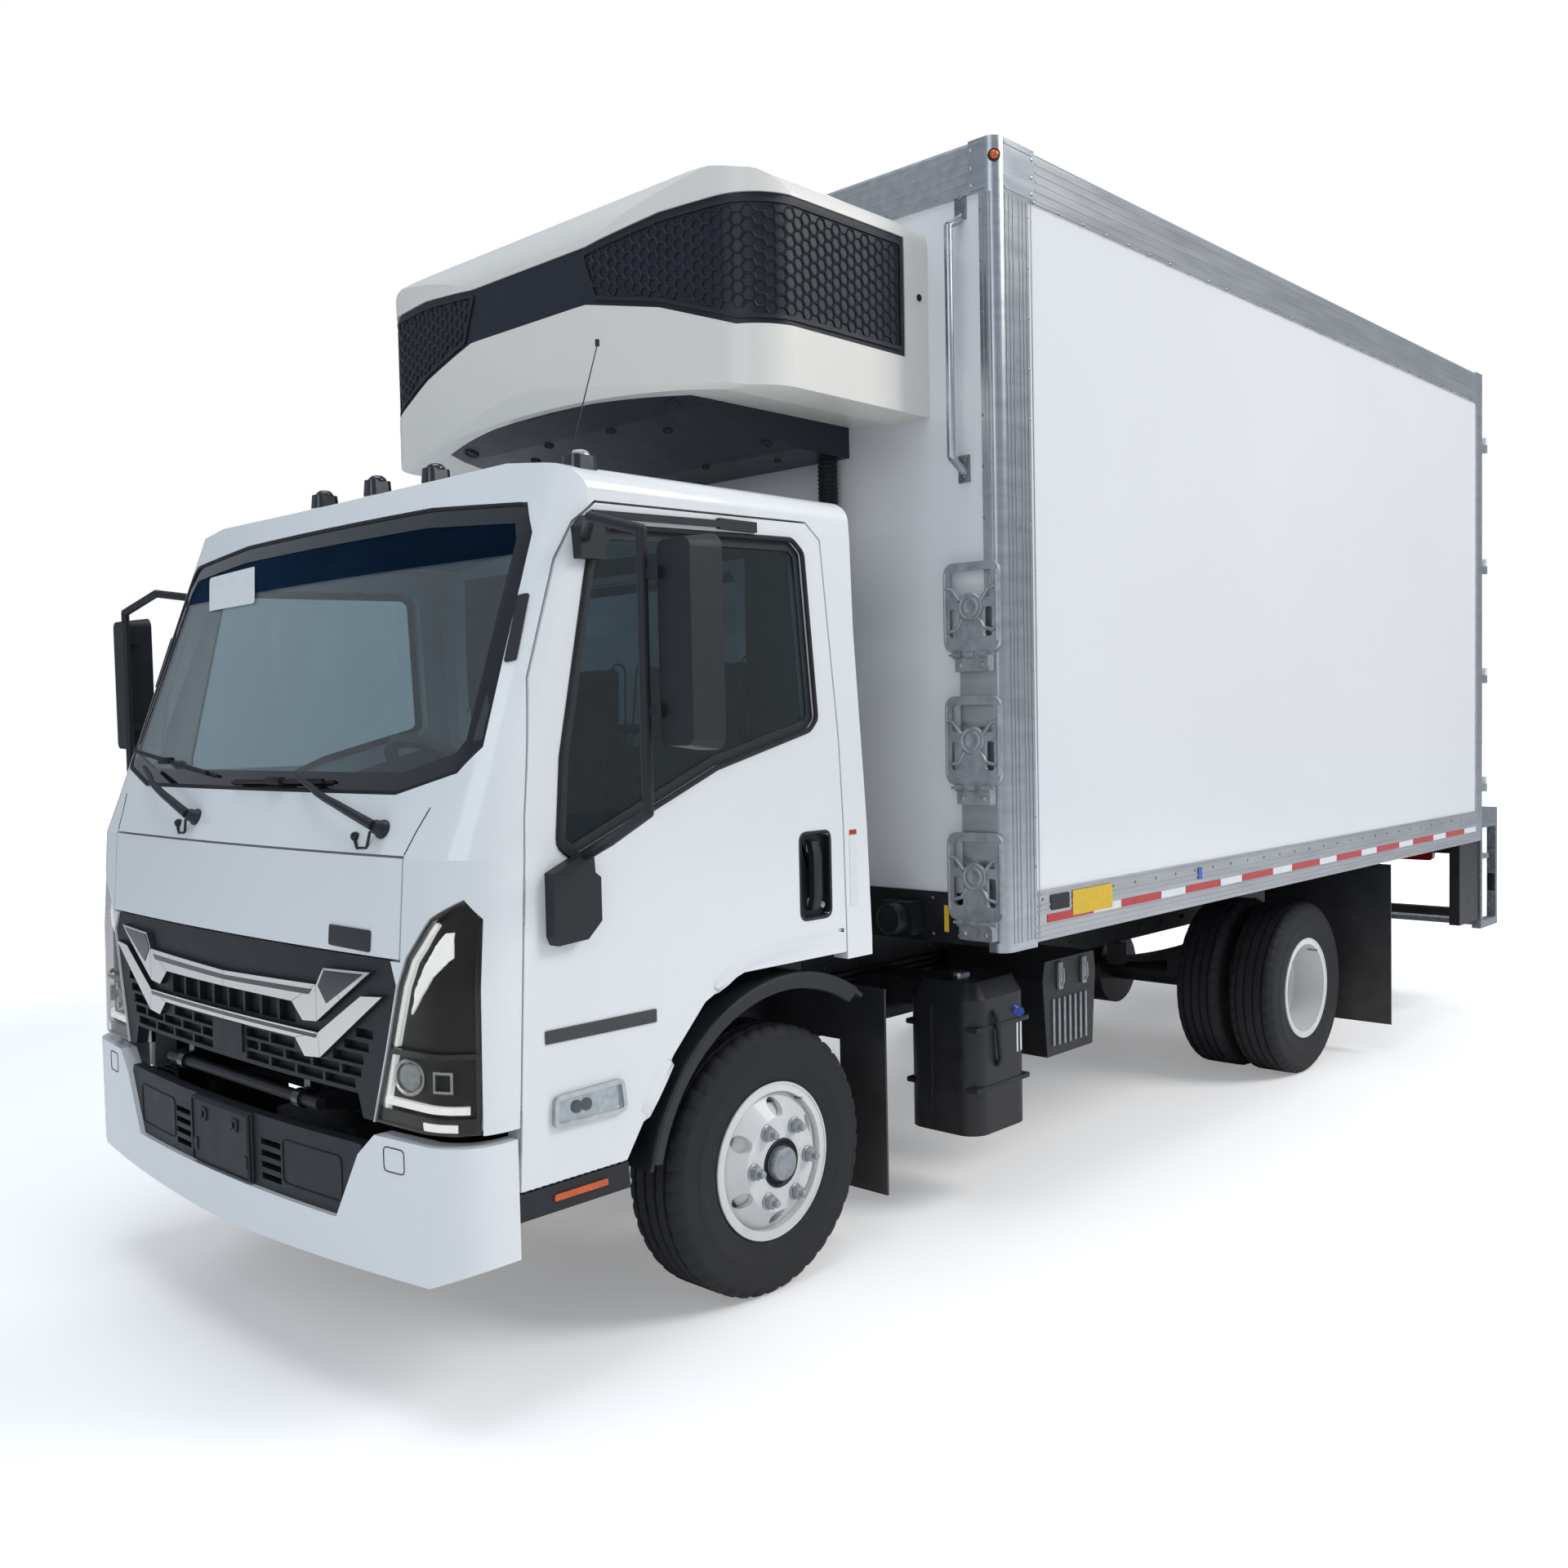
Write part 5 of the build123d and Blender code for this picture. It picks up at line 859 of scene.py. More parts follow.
def strip_faces(points):
    """A light strip in four-sided faces. A bent one has nine points, and its fifth inner one isn't used."""
    if len(points) == 4:
        return [points]
    inner, outer = points[1:5], [points[0]] + points[:-4:-1]
    return [[outer[i], inner[i], inner[i + 1], outer[i + 1]] for i in range(3)]


def reflector_relief(u, v):
    """Height of the reflectors' small domes at a point of the front view."""
    return 0.004 * (math.sin(u * reflector_wave) * math.sin(v * reflector_wave))


for side, label in labelled_sides:
    def turned_face(points):
        face = [(side * u, v) for u, v in points]
        return face if side > 0 else flip(face)

    def lamp_sheet(part, faces, material, **options):
        """A part of the headlamp that lies along its outer surface."""
        sheet_piece(f"headlamp_{part}_{label}", faces, "front", lamp_skin, material, "cab",
                    smooth=20 if part == "reflectors" else 35, **options)

    outline = turned_face(lamp_face)
    lamp_sheet("housing", [outline], smoked_lamp, slot="lamp_lens", replaces=["headlamps"], offset=-0.030,
               thickness=0.004, step=0.02)
    strips = Shape()
    for strip in lamp_strips:
        for face in strip_faces(strip):
            drape(strips, [turned_face(metres(face))], "front", lamp_skin, offset=-0.0255, thickness=0.012,
                  step=0.025)
    strips.done(f"headlamp_strips_{label}", lamp_white_painted_glow, "cab")
    lamp_sheet("reflectors", [turned_face(reflector_field)], lamp_white_painted_glow, offset=-0.0255, thickness=0.006,
               step=0.012, lift=reflector_relief)
    border = Shape()
    drape(border, band(outline, inset(outline, 0.005)), "front", lamp_skin, offset=-0.012, thickness=0.008,
          step=0.03)
    shelf = turned_face(metres([(752, 876), (998, 880), (998, 892), (757, 890)]))
    drape(border, [shelf], "front", lamp_skin, offset=-0.012, thickness=0.007, step=0.04)
    low_edge = turned_face(metres([(700, 708), (998, 708), (998, 742), (712, 742)]))
    drape(border, [low_edge], "front", lamp_skin, offset=-0.02, thickness=0.01, step=0.04)
    border.done(f"headlamp_border_{label}", gloss_black, "cab")
    place, _ = seat(side * 0.822, 0.826, views["front"], lamp_skin)
    facing = (1, side * 0.35, 0)
    turned_piece(f"headlamp_bezel_{label}", lamp_bezel, place, facing, 28, lamp_silver, "cab")
    turned_piece(f"headlamp_projector_{label}", lamp_projector, place, facing, 24, clear_lens, "cab")
    lamp_sheet("low_reflector", [turned_face(metres([(880, 713), (965, 713), (965, 731), (876, 731)]))],
               lamp_white_painted_glow, offset=-0.009, thickness=0.003, step=0.03)
    square = turned_face(metres([(905, 800), (955, 800), (955, 850), (905, 850)]))
    element = Shape()
    for face in band(square, inset(square, 0.006)):
        drape(element, [face], "front", lamp_skin, offset=-0.025, thickness=0.012, step=0.03)
    element.done(f"headlamp_frame_{label}", lamp_silver, "cab")
    lamp_sheet("cover", [outline], smoked_cover, offset=-0.0035, thickness=0.003, step=0.02)

# Doors: window seals, handle recess and grip, side lamp, blank strip and the crease over the wheel arch
window = rounded(ahead([(800, 1350), (778, 1560), (660, 2070), (600, 2118), (-60, 2136), (-98, 2105),
                        (-128, 1640), (-100, 1612), (267, 1520), (755, 1322)]), 0.03, 3)
handle_x, handle_z = at(-0.107), 1.197
# Distance from the middle and height along the grip, and its section: shares of its half width, steps outward
grip_line = [(0.9925, 1.0955), (1.0135, 1.1005), (1.0235, 1.1345), (1.024, 1.197), (1.0235, 1.2585),
             (1.0135, 1.2935), (0.9925, 1.2985)]
grip_section = [(-1, -8), (-1, 0.2), (-0.7, 0.9), (0, 1.2), (0.7, 0.9), (1, 0.2), (1, -8)]
grip_step = 0.0025
# How far each loop of the recess lies inside its outline, and from the middle
recess_floor = 0.9936
recess_loops = [(0.0006, 1.0152), (-0.006, 1.0172), (-0.007, 1.0166), (-0.006, 1.0154), (0.001, 1.0146),
                (0.0012, 0.9938), (0.03, recess_floor)]
side_lamp = flip(rounded(ahead([(846, 682), (617, 680), (628, 764), (840, 760)]), 0.02, 4))
# The body line over the wheel, and its crease as distances across it and heights
body_line = ahead([(603, 563), (551, 655), (464, 772), (348, 879), (296, 935), (224, 972), (156, 992), (60, 1003),
                   (-66, 1008), (-225, 1008)])
crease_section = [(-0.024, 0), (-0.012, 0.003), (-0.003, 0.0062), (0.004, 0.006), (0.012, 0.002), (0.02, 0)]
for side, label in labelled_sides:
    body = f"door_{label}"
    door_skin = skin_of(body)
    pane_skin = skin_of(f"door_glass_{label}")
    sheet_piece(f"window_border_{label}", band(inset(window, 0.002), inset(window, 0.026)), label, pane_skin,
                plain_black, body, offset=0.0006, thickness=0.004, step=0.05)
    bead(f"window_seal_{label}", inset(window, -0.004), label, door_skin, 0.0075, body)

    recess = Shape()
    outer = box_outline(handle_x, handle_z, 0.122, 0.239, 0.022)
    loops = [[Vector((u, side * y, v)) for u, v in inset(outer, inset_by)] for inset_by, y in recess_loops]
    recess.loop_skin(loops[::-1], cap=False)
    recess.mesh.faces.new([recess.mesh.verts.new((u, side * recess_floor, v)) for u, v in inset(outer, 0.029)])
    recess.done(f"handle_recess_{label}", plain_black, body)
    grip = Shape()
    loops = []
    for y, z in grip_line:
        wide = 0.0165 if 1.11 < z < 1.29 else 0.0152
        loops.append([Vector((handle_x + wide * across, side * (y + grip_step * out), z))
                      for across, out in grip_section])
    grip.loop_skin(loops)
    grip.done(f"handle_grip_{label}", plain_black, body)
    turned_piece(f"handle_key_{label}", [(0, 0.011), (0.012, 0.011), (0.015, 0.009), (0.0155, 0.0)],
                 (handle_x - 0.036, side * recess_floor, handle_z - 0.088), (0, side, 0), 16, steel, body)

    sheet_piece(f"side_lamp_rim_{label}", band(side_lamp, inset(side_lamp, 0.011)), label, door_skin,
                lamp_silver, body, smooth=35, offset=0.0005, thickness=0.013, step=0.05)
    inner_face = inset(side_lamp, 0.01)
    plate(f"side_lamp_back_{label}", inner_face, label, door_skin, lamp_silver, body, offset=0.0005,
          thickness=0.002, step=0.05)
    plate(f"side_lamp_lens_{label}", inner_face, label, door_skin, clear_lens, body, offset=0.009,
          thickness=0.003, step=0.05)
    bulbs = Shape()
    for x in (0.772, 0.742):
        bulbs.lathe([(0.002, 0.014), (0.006, 0.016), (0.0085, 0.01), (0.0088, 0)], (at(x), side * 1.015, 0.722),
                    (0, side, 0), sides=14)
    bulbs.done(f"side_lamp_bulbs_{label}", gloss_black, body)
    plate(f"door_blank_strip_{label}", rounded(ahead([(857, 886), (508, 882), (508, 916), (857, 918)]), 0.004),
          label, door_skin, gloss_black, body, offset=0.0004, thickness=0.003, step=0.06)

    flare = Shape()
    crease = [seat(u, v, views[label], door_skin) for u, v in resampled(body_line, 0.05, closed=False)]
    last = len(crease) - 1
    loops = []
    for i, (place, normal) in enumerate(crease):
        run = (crease[min(i + 1, last)][0] - crease[max(i - 1, 0)][0]).normalized()
        across = run.cross(normal)
        ends = min(1.0, 4 * min(i, last - i) / len(crease))
        loops.append([place + across * w + normal * (h * ends + 0.0002) for w, h in crease_section])
    flare.loop_skin(loops)
    flare.done(f"arch_crease_{label}", cab_white, body, smooth=60)

# Narrow dark plates on the pillars beside the windscreen
for side, label in labelled_sides:
    outline = rounded([(side * 0.944, 1.785), (side * 0.966, 1.79), (side * 0.956, 1.95), (side * 0.934, 1.945)],
                      0.006)
    plate(f"pillar_plate_{label}", outline if side > 0 else flip(outline), "front", shell_skin, plain_black,
          "cab", offset=0.0004, thickness=0.004, step=0.06)

# Distance from the wheel's axis and from the truck's middle at each corner of the wheel arch's flare
flare_section = [(0.496, 0.986), (0.498, 0.998), (0.512, 1.003), (0.535, 1.011), (0.544, 1.008), (0.5455, 1.0),
                 (0.52, 0.99)]
flare_angles = [math.radians(14 + 4.5 * k) for k in range(25)]

# Blank label and wheel arch flare on the shell behind the doors
for side, label in labelled_sides:
    outline = rounded(ahead([(-288, 1093), (-256, 1093), (-256, 1300), (-288, 1300)]), 0.002)
    plate(f"pillar_label_{label}", outline, label, shell_skin, label_white, "cab", offset=0.0003,
          thickness=0.0008, step=0.08)
    plate(f"pillar_label_head_{label}", ahead([(-288, 1301), (-256, 1301), (-256, 1315), (-288, 1315)]), label,
          shell_skin, tape_red, "cab", offset=0.0003, thickness=0.0008, step=0.08)
    lip = Shape()
    lip.loop_skin([[Vector((front_axle.x + reach * math.cos(angle), side * y,
                            front_axle.z + reach * math.sin(angle)))
                    for reach, y in flare_section] for angle in flare_angles])
    lip.done(f"arch_lip_{label}", plain_black, "cab")

# Step treads below the doors, with serrated edges and an orange reflector
for side, label in labelled_sides:
    tread = Shape()
    for k in range(15):
        x = at(0.622 + k * 0.021)
        tread.side_block(side, (x - 0.004, 0.80, 0.5462), (x + 0.004, 1.004, 0.5508), 0.0012, 1)
    for y in (0.83, 0.9, 0.97):
        tread.block((at(0.61), side * y - 0.004, 0.5462), (at(0.93), side * y + 0.004, 0.5498), 0.0012, 1)
    tread.done(f"step_tread_{label}", step_metal, "cab")
    plate(f"step_reflector_{label}", rounded(ahead([(675, 506), (838, 506), (838, 522), (675, 522)]), 0.004),
          label, skin_of("cab_steps"), amber, "cab", offset=0.0004, thickness=0.004, step=0.08)

# Bumper: seams of the insert's panels, the empty plate holder and the seams of the corner covers
insert_skin = skin_of("bumper_insert")
trim = Shape()
for side in (1, -1):
    outline = box_outline(side * 0.44, 0.545, 0.26, 0.115, 0.02)
    drape(trim, band(outline, inset(outline, 0.003)), "front", insert_skin, offset=0.0004, thickness=0.0015,
          step=0.05)
trim.done("bumper_panel_seams", gap_black, "chassis")
holder = Shape()
outline = box_outline(0, 0.55, 0.334, 0.186, 0.01)
drape(holder, band(outline, inset(outline, 0.009)), "front", insert_skin, offset=0.0004, thickness=0.003,
      step=0.06)
for side in (1, -1):
    square = box_outline(side * 0.089, 0.6, 0.034, 0.034, 0.004)
    slit = box_outline(side * 0.142, 0.51, 0.02, 0.034, 0.004)
    for faces in (band(square, inset(square, 0.009)), [slit]):
        drape(holder, faces, "front", insert_skin, offset=0.0004, thickness=0.003, step=0.05)
holder.done("plate_holder", plain_black, "chassis")
covers = Shape()
bumper_skin = skin_of("front_bumper")
for side in (1, -1):
    outline = box_outline(side * 0.79, 0.632, 0.075, 0.06, 0.014)
    drape(covers, band(outline, inset(outline, 0.0025)), "front", bumper_skin, offset=0.0003, thickness=0.0008,
          step=0.05)
covers.done("bumper_cover_seams", gap_black, "chassis")

# Refrigeration unit: two fields of hexagon cells in raised frames, bolts and pan rings
unit_skin = skin_of("unit_shell", "unit_grille")
hex_flat = 0.019
hex_reach = hex_flat / math.cos(math.radians(30))
# Share of a cell's reach, and height above the surface, at each corner of its raised wall
cell_section = [(0.985, -0.003), (0.985, 0.0035), (0.9, 0.0048), (0.82, 0.0035), (0.72, -0.003)]
band_top = [(0.0, 3.08), (0.3, 3.08), (0.6, 3.112), (0.95, 3.115), (1.7, 3.115)]
band_low = [(0.0, 2.905), (0.3, 2.905), (0.6, 2.84), (0.87, 2.75), (1.7, 2.75)]


def height_at(table, u):
    """A height read from a table of points by linear steps."""
    for (u0, v0), (u1, v1) in zip(table[:-1], table[1:]):
        if u <= u1:
            return v0 + (v1 - v0) * (u - u0) / (u1 - u0)
    return table[-1][1]


def field_edge(margin):
    """Outline of the left field of cells, from distances around the unit and heights."""
    stations = [0.6, 0.75, 0.87, 0.98, 1.1, 1.25, 1.4, 1.54 - margin]
    top = [(0.275 + margin, height_at(band_top, 0.275) - 0.016 - margin)]
    top += [(u, height_at(band_top, u) - 0.016 - margin) for u in stations]
    low = [(u, height_at(band_low, u) + 0.016 + margin) for u in reversed(stations)]
    low += [(0.335 + margin, height_at(band_low, 0.335) + 0.016 + margin)]
    return low + top


def within(point, outline):
    """Whether a point lies inside an outline."""
    inside = False
    x, y = point
    for (x0, y0), (x1, y1) in zip(outline, outline[1:] + outline[:1]):
        if (y0 > y) != (y1 > y) and x < x0 + (y - y0) * (x1 - x0) / (y1 - y0):
            inside = not inside
    return inside


def hexagon(u, v, reach):
    """Corners of an upright hexagon in the unit's drawing."""
    return [(u + reach * math.cos(a), v + reach * math.sin(a)) for a in (math.radians(60 * k) for k in range(6))]


def cell_places():
    """Middles of the cells whose inner halves lie inside the field, column by column."""
    field = field_edge(0.012)
    column = 0
    u = 0.28
    while u < 1.56:
        v = 2.74 + (hex_flat if column % 2 else 0)
        while v < 3.12:
            if all(within(point, field) for point in hexagon(u, v, 0.5 * hex_reach)):
                yield u, v
            v += 2 * hex_flat
        u += 1.5 * hex_reach
        column += 1


for side, label in labelled_sides:
    cells = Shape()
    for u, v in cell_places():
        rings = []
        for share, height in cell_section:
            seated = [seat(side * a, b, unit_ray, unit_skin) for a, b in hexagon(u, v, hex_reach * share)]
            rings.append([place + normal * height for place, normal in seated])
        cells.loop_skin(rings, ring=True)
    cells.done(f"unit_cells_{label}", navy_black, "chassis", smooth=20)
    outline = rounded([(side * a, b) for a, b in field_edge(0.0)], 0.02, 3)
    if side < 0:
        outline = flip(outline)
    sheet_piece(f"unit_frame_{label}", band(outline, inset(outline, 0.012)), "unit", unit_skin, plain_black,
                "chassis", smooth=35, offset=0.0, thickness=0.0055, step=0.05)
    turned_piece(f"unit_bolt_{label}", [(-0.001, 0.011), (0.003, 0.011), (0.005, 0.008), (0.0055, 0)],
                 *seat(side * 1.62, 2.944, unit_ray, unit_skin), 14, gap_black, "chassis")

pan_skin = skin_of("unit_pan")
pan_rings = Shape()
# Height of a ring's section, and its share of the ring's radius
pan_ring = [(-0.002, 1), (0.003, 1), (0.006, 0.92), (0.004, 0.8), (0.001, 0.74), (0.001, 0.4), (0.003, 0.36),
            (0.0032, 0)]
for side in (1, -1):
    for x, y, size in ((-0.06, 0.52, 0.026), (-0.2, 0.34, 0.017), (-0.12, 0.16, 0.017), (-0.42, 0.56, 0.02),
                       (-0.5, 0.2, 0.014), (-0.6, 0.44, 0.012)):
        place, normal = seat(at(x), side * y, views["below"], pan_skin)
        pan_rings.lathe([(along, size * share) for along, share in pan_ring], place, normal, sides=20)
pan_rings.done("unit_pan_rings", plain_black, "chassis")

# Whip aerial from the left pillar, with its foot and tip
aerial = Shape()
foot = Vector((at(0.72), 0.915, 2.09))
place, normal = nose_skin.find_nearest(foot)[:2]
tip = Vector((at(0.571), 0.93, 2.58))
aerial.tube([place - normal * 0.002, place + normal * 0.02, place.lerp(tip, 0.25) + Vector((0.008, 0, 0)),
             place.lerp(tip, 0.6) + Vector((0.004, 0, 0)), tip], lambda t: 0.003 - 0.0014 * t, sides=6)
aerial.tube([tip - Vector((0, 0, 0.004)), tip, tip + Vector((0, 0, 0.012))], 0.0055, sides=8)
aerial.lathe([(-0.003, 0.014), (0.006, 0.013), (0.014, 0.008), (0.018, 0)], place, normal, sides=12)
aerial.done("aerial", plain_black, "cab")

# Lens of each roof marker lamp, seated on the solids' bases
roof_skin = skin_of("roof_lamps")
for index, y in enumerate((0.925, 0.3, 0.0, -0.3, -0.925)):
    place, _ = seat(at(0.633), y, views["top"], roof_skin)
    turned_piece(f"marker_lens_{index}", [(-0.003, 0.026), (0.002, 0.0265), (0.009, 0.023), (0.014, 0.016),
                                          (0.016, 0.008), (0.0165, 0)], place, (0, 0, 1), 20,
                 clear_lens if index == 0 else dome_black, "cab", slot="amber_lens")

# Ribbed sleeve of the hose and its straps
hose_low, hose_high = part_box("unit_hose")
hose_foot = (hose_high.x - 0.035, 0.56, 0)
profile = []
z = hose_low.z + 0.002
while z < hose_high.z - 0.014:
    profile += [(z, 0.0304), (z + 0.003, 0.0335), (z + 0.008, 0.0335), (z + 0.011, 0.0304)]
    z += 0.0145
turned_piece("hose_sleeve", profile, hose_foot, (0, 0, 1), 18, rubber, "chassis", slot="rubber", smooth=40)
straps = Shape()
for z in (1.2, 1.7, 2.2):
    straps.lathe([(z - 0.001, 0.0335), (z - 0.001, 0.0375), (z + 0.019, 0.0375), (z + 0.019, 0.0335)],
                 hose_foot, (0, 0, 1), sides=20, ring=True)
straps.done("hose_straps", steel, "chassis")

# Box: flutes on the rails and corner posts, rivets, tape and blank labels
rail_front_x = at(-0.925)
rail_rear_x = at(-5.14)
flutes = Shape()
rivets = Shape()
reds = Shape()
whites = Shape()
flute_round = 0.0008
# Lowest height and width of each group of flutes along the rails, and how far its front end stands back
rail_flutes = [((0.928, 0.945, 0.962, 1.012, 1.03, 1.066), 0.007, 0),
               ((3.236, 3.262, 3.29, 3.318, 3.345), 0.008, 0.04)]
tape_lengths = (0.28, 0.18)


def dome(shape, centre, axis, radius=0.006, height=0.003):
    """A low round rivet head."""
    shape.lathe([(-0.001, radius), (height * 0.5, radius * 0.85), (height, radius * 0.3), (height * 1.02, 0)],
                centre, axis, sides=8)


for side in (1, -1):
    y = side * box_half
    for heights, width, back in rail_flutes:
        for z in heights:
            flutes.side_block(side, (rail_rear_x, box_half, z),
                              (rail_front_x - back, box_half + 0.002, z + width), flute_round, 1)
    for x in (0.012, 0.032, 0.052, 0.086, 0.106, 0.126, 0.15):
        flutes.side_block(side, (box_front - 0.04 - x, box_half, 0.93),
                          (box_front - 0.034 - x, box_half + 0.002, 3.22), flute_round, 1)
    for step in (0.012, 0.026, 0.04):
        inner = side * (box_half - 0.063 + step)
        flutes.block((box_front - 0.0005, inner - 0.0025, 1.09), (box_front + 0.002, inner + 0.0025, 3.22),
                     flute_round, 1)
    for index in range(29):
        x = rail_front_x - 0.03 - index * 0.146
        dome(rivets, (x, y, 1.052), (0, side, 0))
        dome(rivets, (x, y, 3.228), (0, side, 0))
    for index in range(14):
        height = 1.16 + index * 0.155
        dome(rivets, (box_front - 0.168, y, height), (0, side, 0))
        dome(rivets, (box_front, side * (box_half - 0.057), height), (1, 0, 0), 0.0055)
    x = at(-0.981)
    index = 0
    while x - tape_lengths[index % 2] > rail_rear_x:
        end = x - tape_lengths[index % 2]
        dashes = (reds, whites)[index % 2]
        dashes.side_block(side, (end + 0.001, box_half, 0.975), (x, box_half + 0.0024, 1.001), 0.0004, 1)
        x = end
        index += 1
for index in range(11):
    dome(rivets, (box_front, -1.0 + index * 0.2, 3.24), (1, 0, 0), 0.0055)
for z in (3.26, 3.29, 3.32, 3.35):
    flutes.block((box_front - 0.0005, -1.118, z), (box_front + 0.002, 1.118, z + 0.008), flute_round, 1)
flutes.done("box_flutes", rail_metal, "chassis", slot="aluminium")
rivets.done("box_rivets", steel, "chassis", slot="aluminium")
reds.done("tape_red_dashes", tape_red, "chassis")
whites.done("tape_white_dashes", tape_white, "chassis")

side_skin = skin_of("side_walls", "box_rails", "corner_posts", "rear_frame")
# Rear lower and front upper corner of each label, in millimetres ahead of the front axle and above the ground
labels = [
    ("yellow", (-1380, 982), (-1130, 1064), label_yellow),
    ("dark", (-1110, 1012), (-1000, 1062), plain_black),
    ("blue", (-2030, 1016), (-2000, 1060), label_blue),
]
for _, label in labelled_sides:
    for name, (x0, z0), (x1, z1), material in labels:
        outline = box_outline(at((x0 + x1) / 2000), (z0 + z1) / 2000, (x1 - x0) / 1000, (z1 - z0) / 1000, 0.004)
        plate(f"box_label_{name}_{label}", outline, label, side_skin, material, "chassis", offset=0.0024,
              thickness=0.0008, step=0.3)

# Corner caps: two ribs, rivets and a small amber lamp
for side, label in labelled_sides:
    cap = Shape()
    y = side * box_half
    for z in (3.232, 3.366):
        cap.side_block(side, (box_front - 0.2, box_half, z), (box_front - 0.045, box_half + 0.003, z + 0.008),
                       0.001, 1)
        cap.side_block(side, (box_front - 0.001, 1.125, z), (box_front + 0.003, 1.175, z + 0.008), 0.001, 1)
    for z in (3.25, 3.3, 3.355):
        dome(cap, (box_front - 0.195, y, z), (0, side, 0), 0.007, 0.004)
        dome(cap, (box_front, side * 1.128, z), (1, 0, 0), 0.007, 0.004)
    cap.done(f"cap_trim_{label}", aluminium, "chassis", slot="aluminium")
    lamp_place = (box_front - 0.012, side * (box_half - 0.0125), 3.325)
    turned_piece(f"corner_lamp_rim_{label}", [(-0.004, 0.019), (0.006, 0.019), (0.009, 0.016), (0.006, 0.014)],
                 lamp_place, (1, side, 0), 18, rubber, "chassis")
    turned_piece(f"corner_lamp_{label}", [(-0.003, 0.0145), (0.007, 0.0145), (0.012, 0.009), (0.0135, 0)],
                 lamp_place, (1, side, 0), 16, amber, "chassis", slot="amber_lens")

# Folding steps: a round pad with ribs on each loop, the hinge knuckles and bolts
pads = Shape()
step_face_x = box_front + 0.036
step_middle = 1.13
step_pad = [(-0.006, 0.044), (0.003, 0.044), (0.006, 0.04), (0.004, 0.034), (0.004, 0.03), (0.006, 0.027),
            (0.006, 0.02), (0.004, 0.016), (0.004, 0)]
# Middle, half length, radius and number of sides of each knuckle of the hinge and of its pin
step_hinge = [(-0.05, 0.014, 0.0125, 12), (0.0, 0.014, 0.0125, 12), (0.05, 0.014, 0.0125, 12),
              (0.0, 0.082, 0.0045, 8)]
# Rods of each step: offset ahead, distance from its middle and height above its base, at each bend, and radius
step_rods = [
    ([(0.001, 0.04, 0.218), (0.002, 0.07, 0.253), (0.001, 0.092, 0.258)], 0.007),
    ([(0.001, 0.03, 0.164), (0.002, 0.05, 0.132), (0.001, 0.086, 0.123)], 0.006),
    ([(-0.001, 0.096, 0.09), (-0.001, 0.096, 0.305)], 0.0065),
]
for base in (0.943, 1.365, 1.775):
    pads.lathe(step_pad, (step_face_x, step_middle, base + 0.198), (1, 0, 0), sides=28)
    for sign in (1, -1):
        for bends, radius in step_rods:
            pads.tube([(step_face_x + x, step_middle + sign * y, base + z) for x, y, z in bends], radius, sides=8)
    for offset, half, radius, sides in step_hinge:
        middle = step_middle + offset
        pads.tube([(step_face_x, middle - half, base + 0.052), (step_face_x, middle + half, base + 0.052)],
                  radius, sides=sides)
    for y in (-0.04, 0.04):
        dome(pads, (step_face_x, step_middle + y, base + 0.02), (1, 0, 0), 0.01, 0.006)
pads.done("folding_step_pads", step_metal, "chassis", slot="galvanised")
backing = Shape()
backing.block((box_front, 1.062, 0.935), (box_front + 0.003, 1.198, 2.0), 0.001, 1)
backing.done("folding_step_rail", aluminium, "chassis", slot="aluminium")
handle_feet = Shape()
for z in (2.36, 3.16):
    handle_feet.block((box_front - 0.009, 1.063, z), (box_front - 0.003, 1.107, z + 0.085), 0.002, 2)
    for z_bolt in (z + 0.018, z + 0.067):
        dome(handle_feet, (box_front - 0.003, 1.085, z_bolt), (1, 0, 0), 0.008, 0.004)
handle_feet.done("grab_handle_feet", steel, "chassis")

# Ring of the breather on the front sill, a blank yellow tag and screws
turned_piece("breather_ring", [(-0.002, 0.05), (0.006, 0.05), (0.01, 0.046), (0.006, 0.041), (-0.02, 0.038),
                               (-0.02, 0)], (box_front + 0.11, 0.848, 0.997), (1, 0, 0), 32, rubber, "chassis")
tags = Shape()
tags.block((box_front, 0.985, 0.955), (box_front + 0.0016, 1.003, 1.04), 0.0005, 1)
tags.done("sill_yellow_tag", label_yellow, "chassis")
sill_screws = Shape()
for y in (0.3, 0.6, 0.94, 1.04):
    for z in (0.945, 1.06):
        dome(sill_screws, (box_front, y, z), (1, 0, 0), 0.008, 0.004)
sill_screws.done("sill_screws", steel, "chassis")

# Wheels: nuts, washers, hub caps, a seam ring on the rims and valves
wheel_hub_y = 0.832
bolt_circle = 0.111
# Axle, nuts' distance from the middle, body's name, mark in the pieces' names and rim edge's distance
axle_table = [
    (front_axle, wheel_hub_y + 0.125, "front_{}_wheel", "front", wheel_hub_y + 0.096),
    (rear_axle, 0.825, "rear_{}_wheels", "rear", 0.95 + 0.096),
]
hub_ring = [(-0.012, 0.069), (0.002, 0.069), (0.004, 0.066), (0.0, 0.062), (-0.006, 0.055), (-0.006, 0.05)]
front_hub_cap = [(-0.003, 0.048), (0.012, 0.048), (0.018, 0.045), (0.0215, 0.037), (0.0205, 0.034),
                 (0.0225, 0.03), (0.0245, 0.012), (0.0248, 0)]
rear_hub_cap = [(0.02, 0.0705), (0.058, 0.0635), (0.064, 0.06), (0.066, 0.05), (0.07, 0.046), (0.0715, 0.02),
                (0.072, 0)]
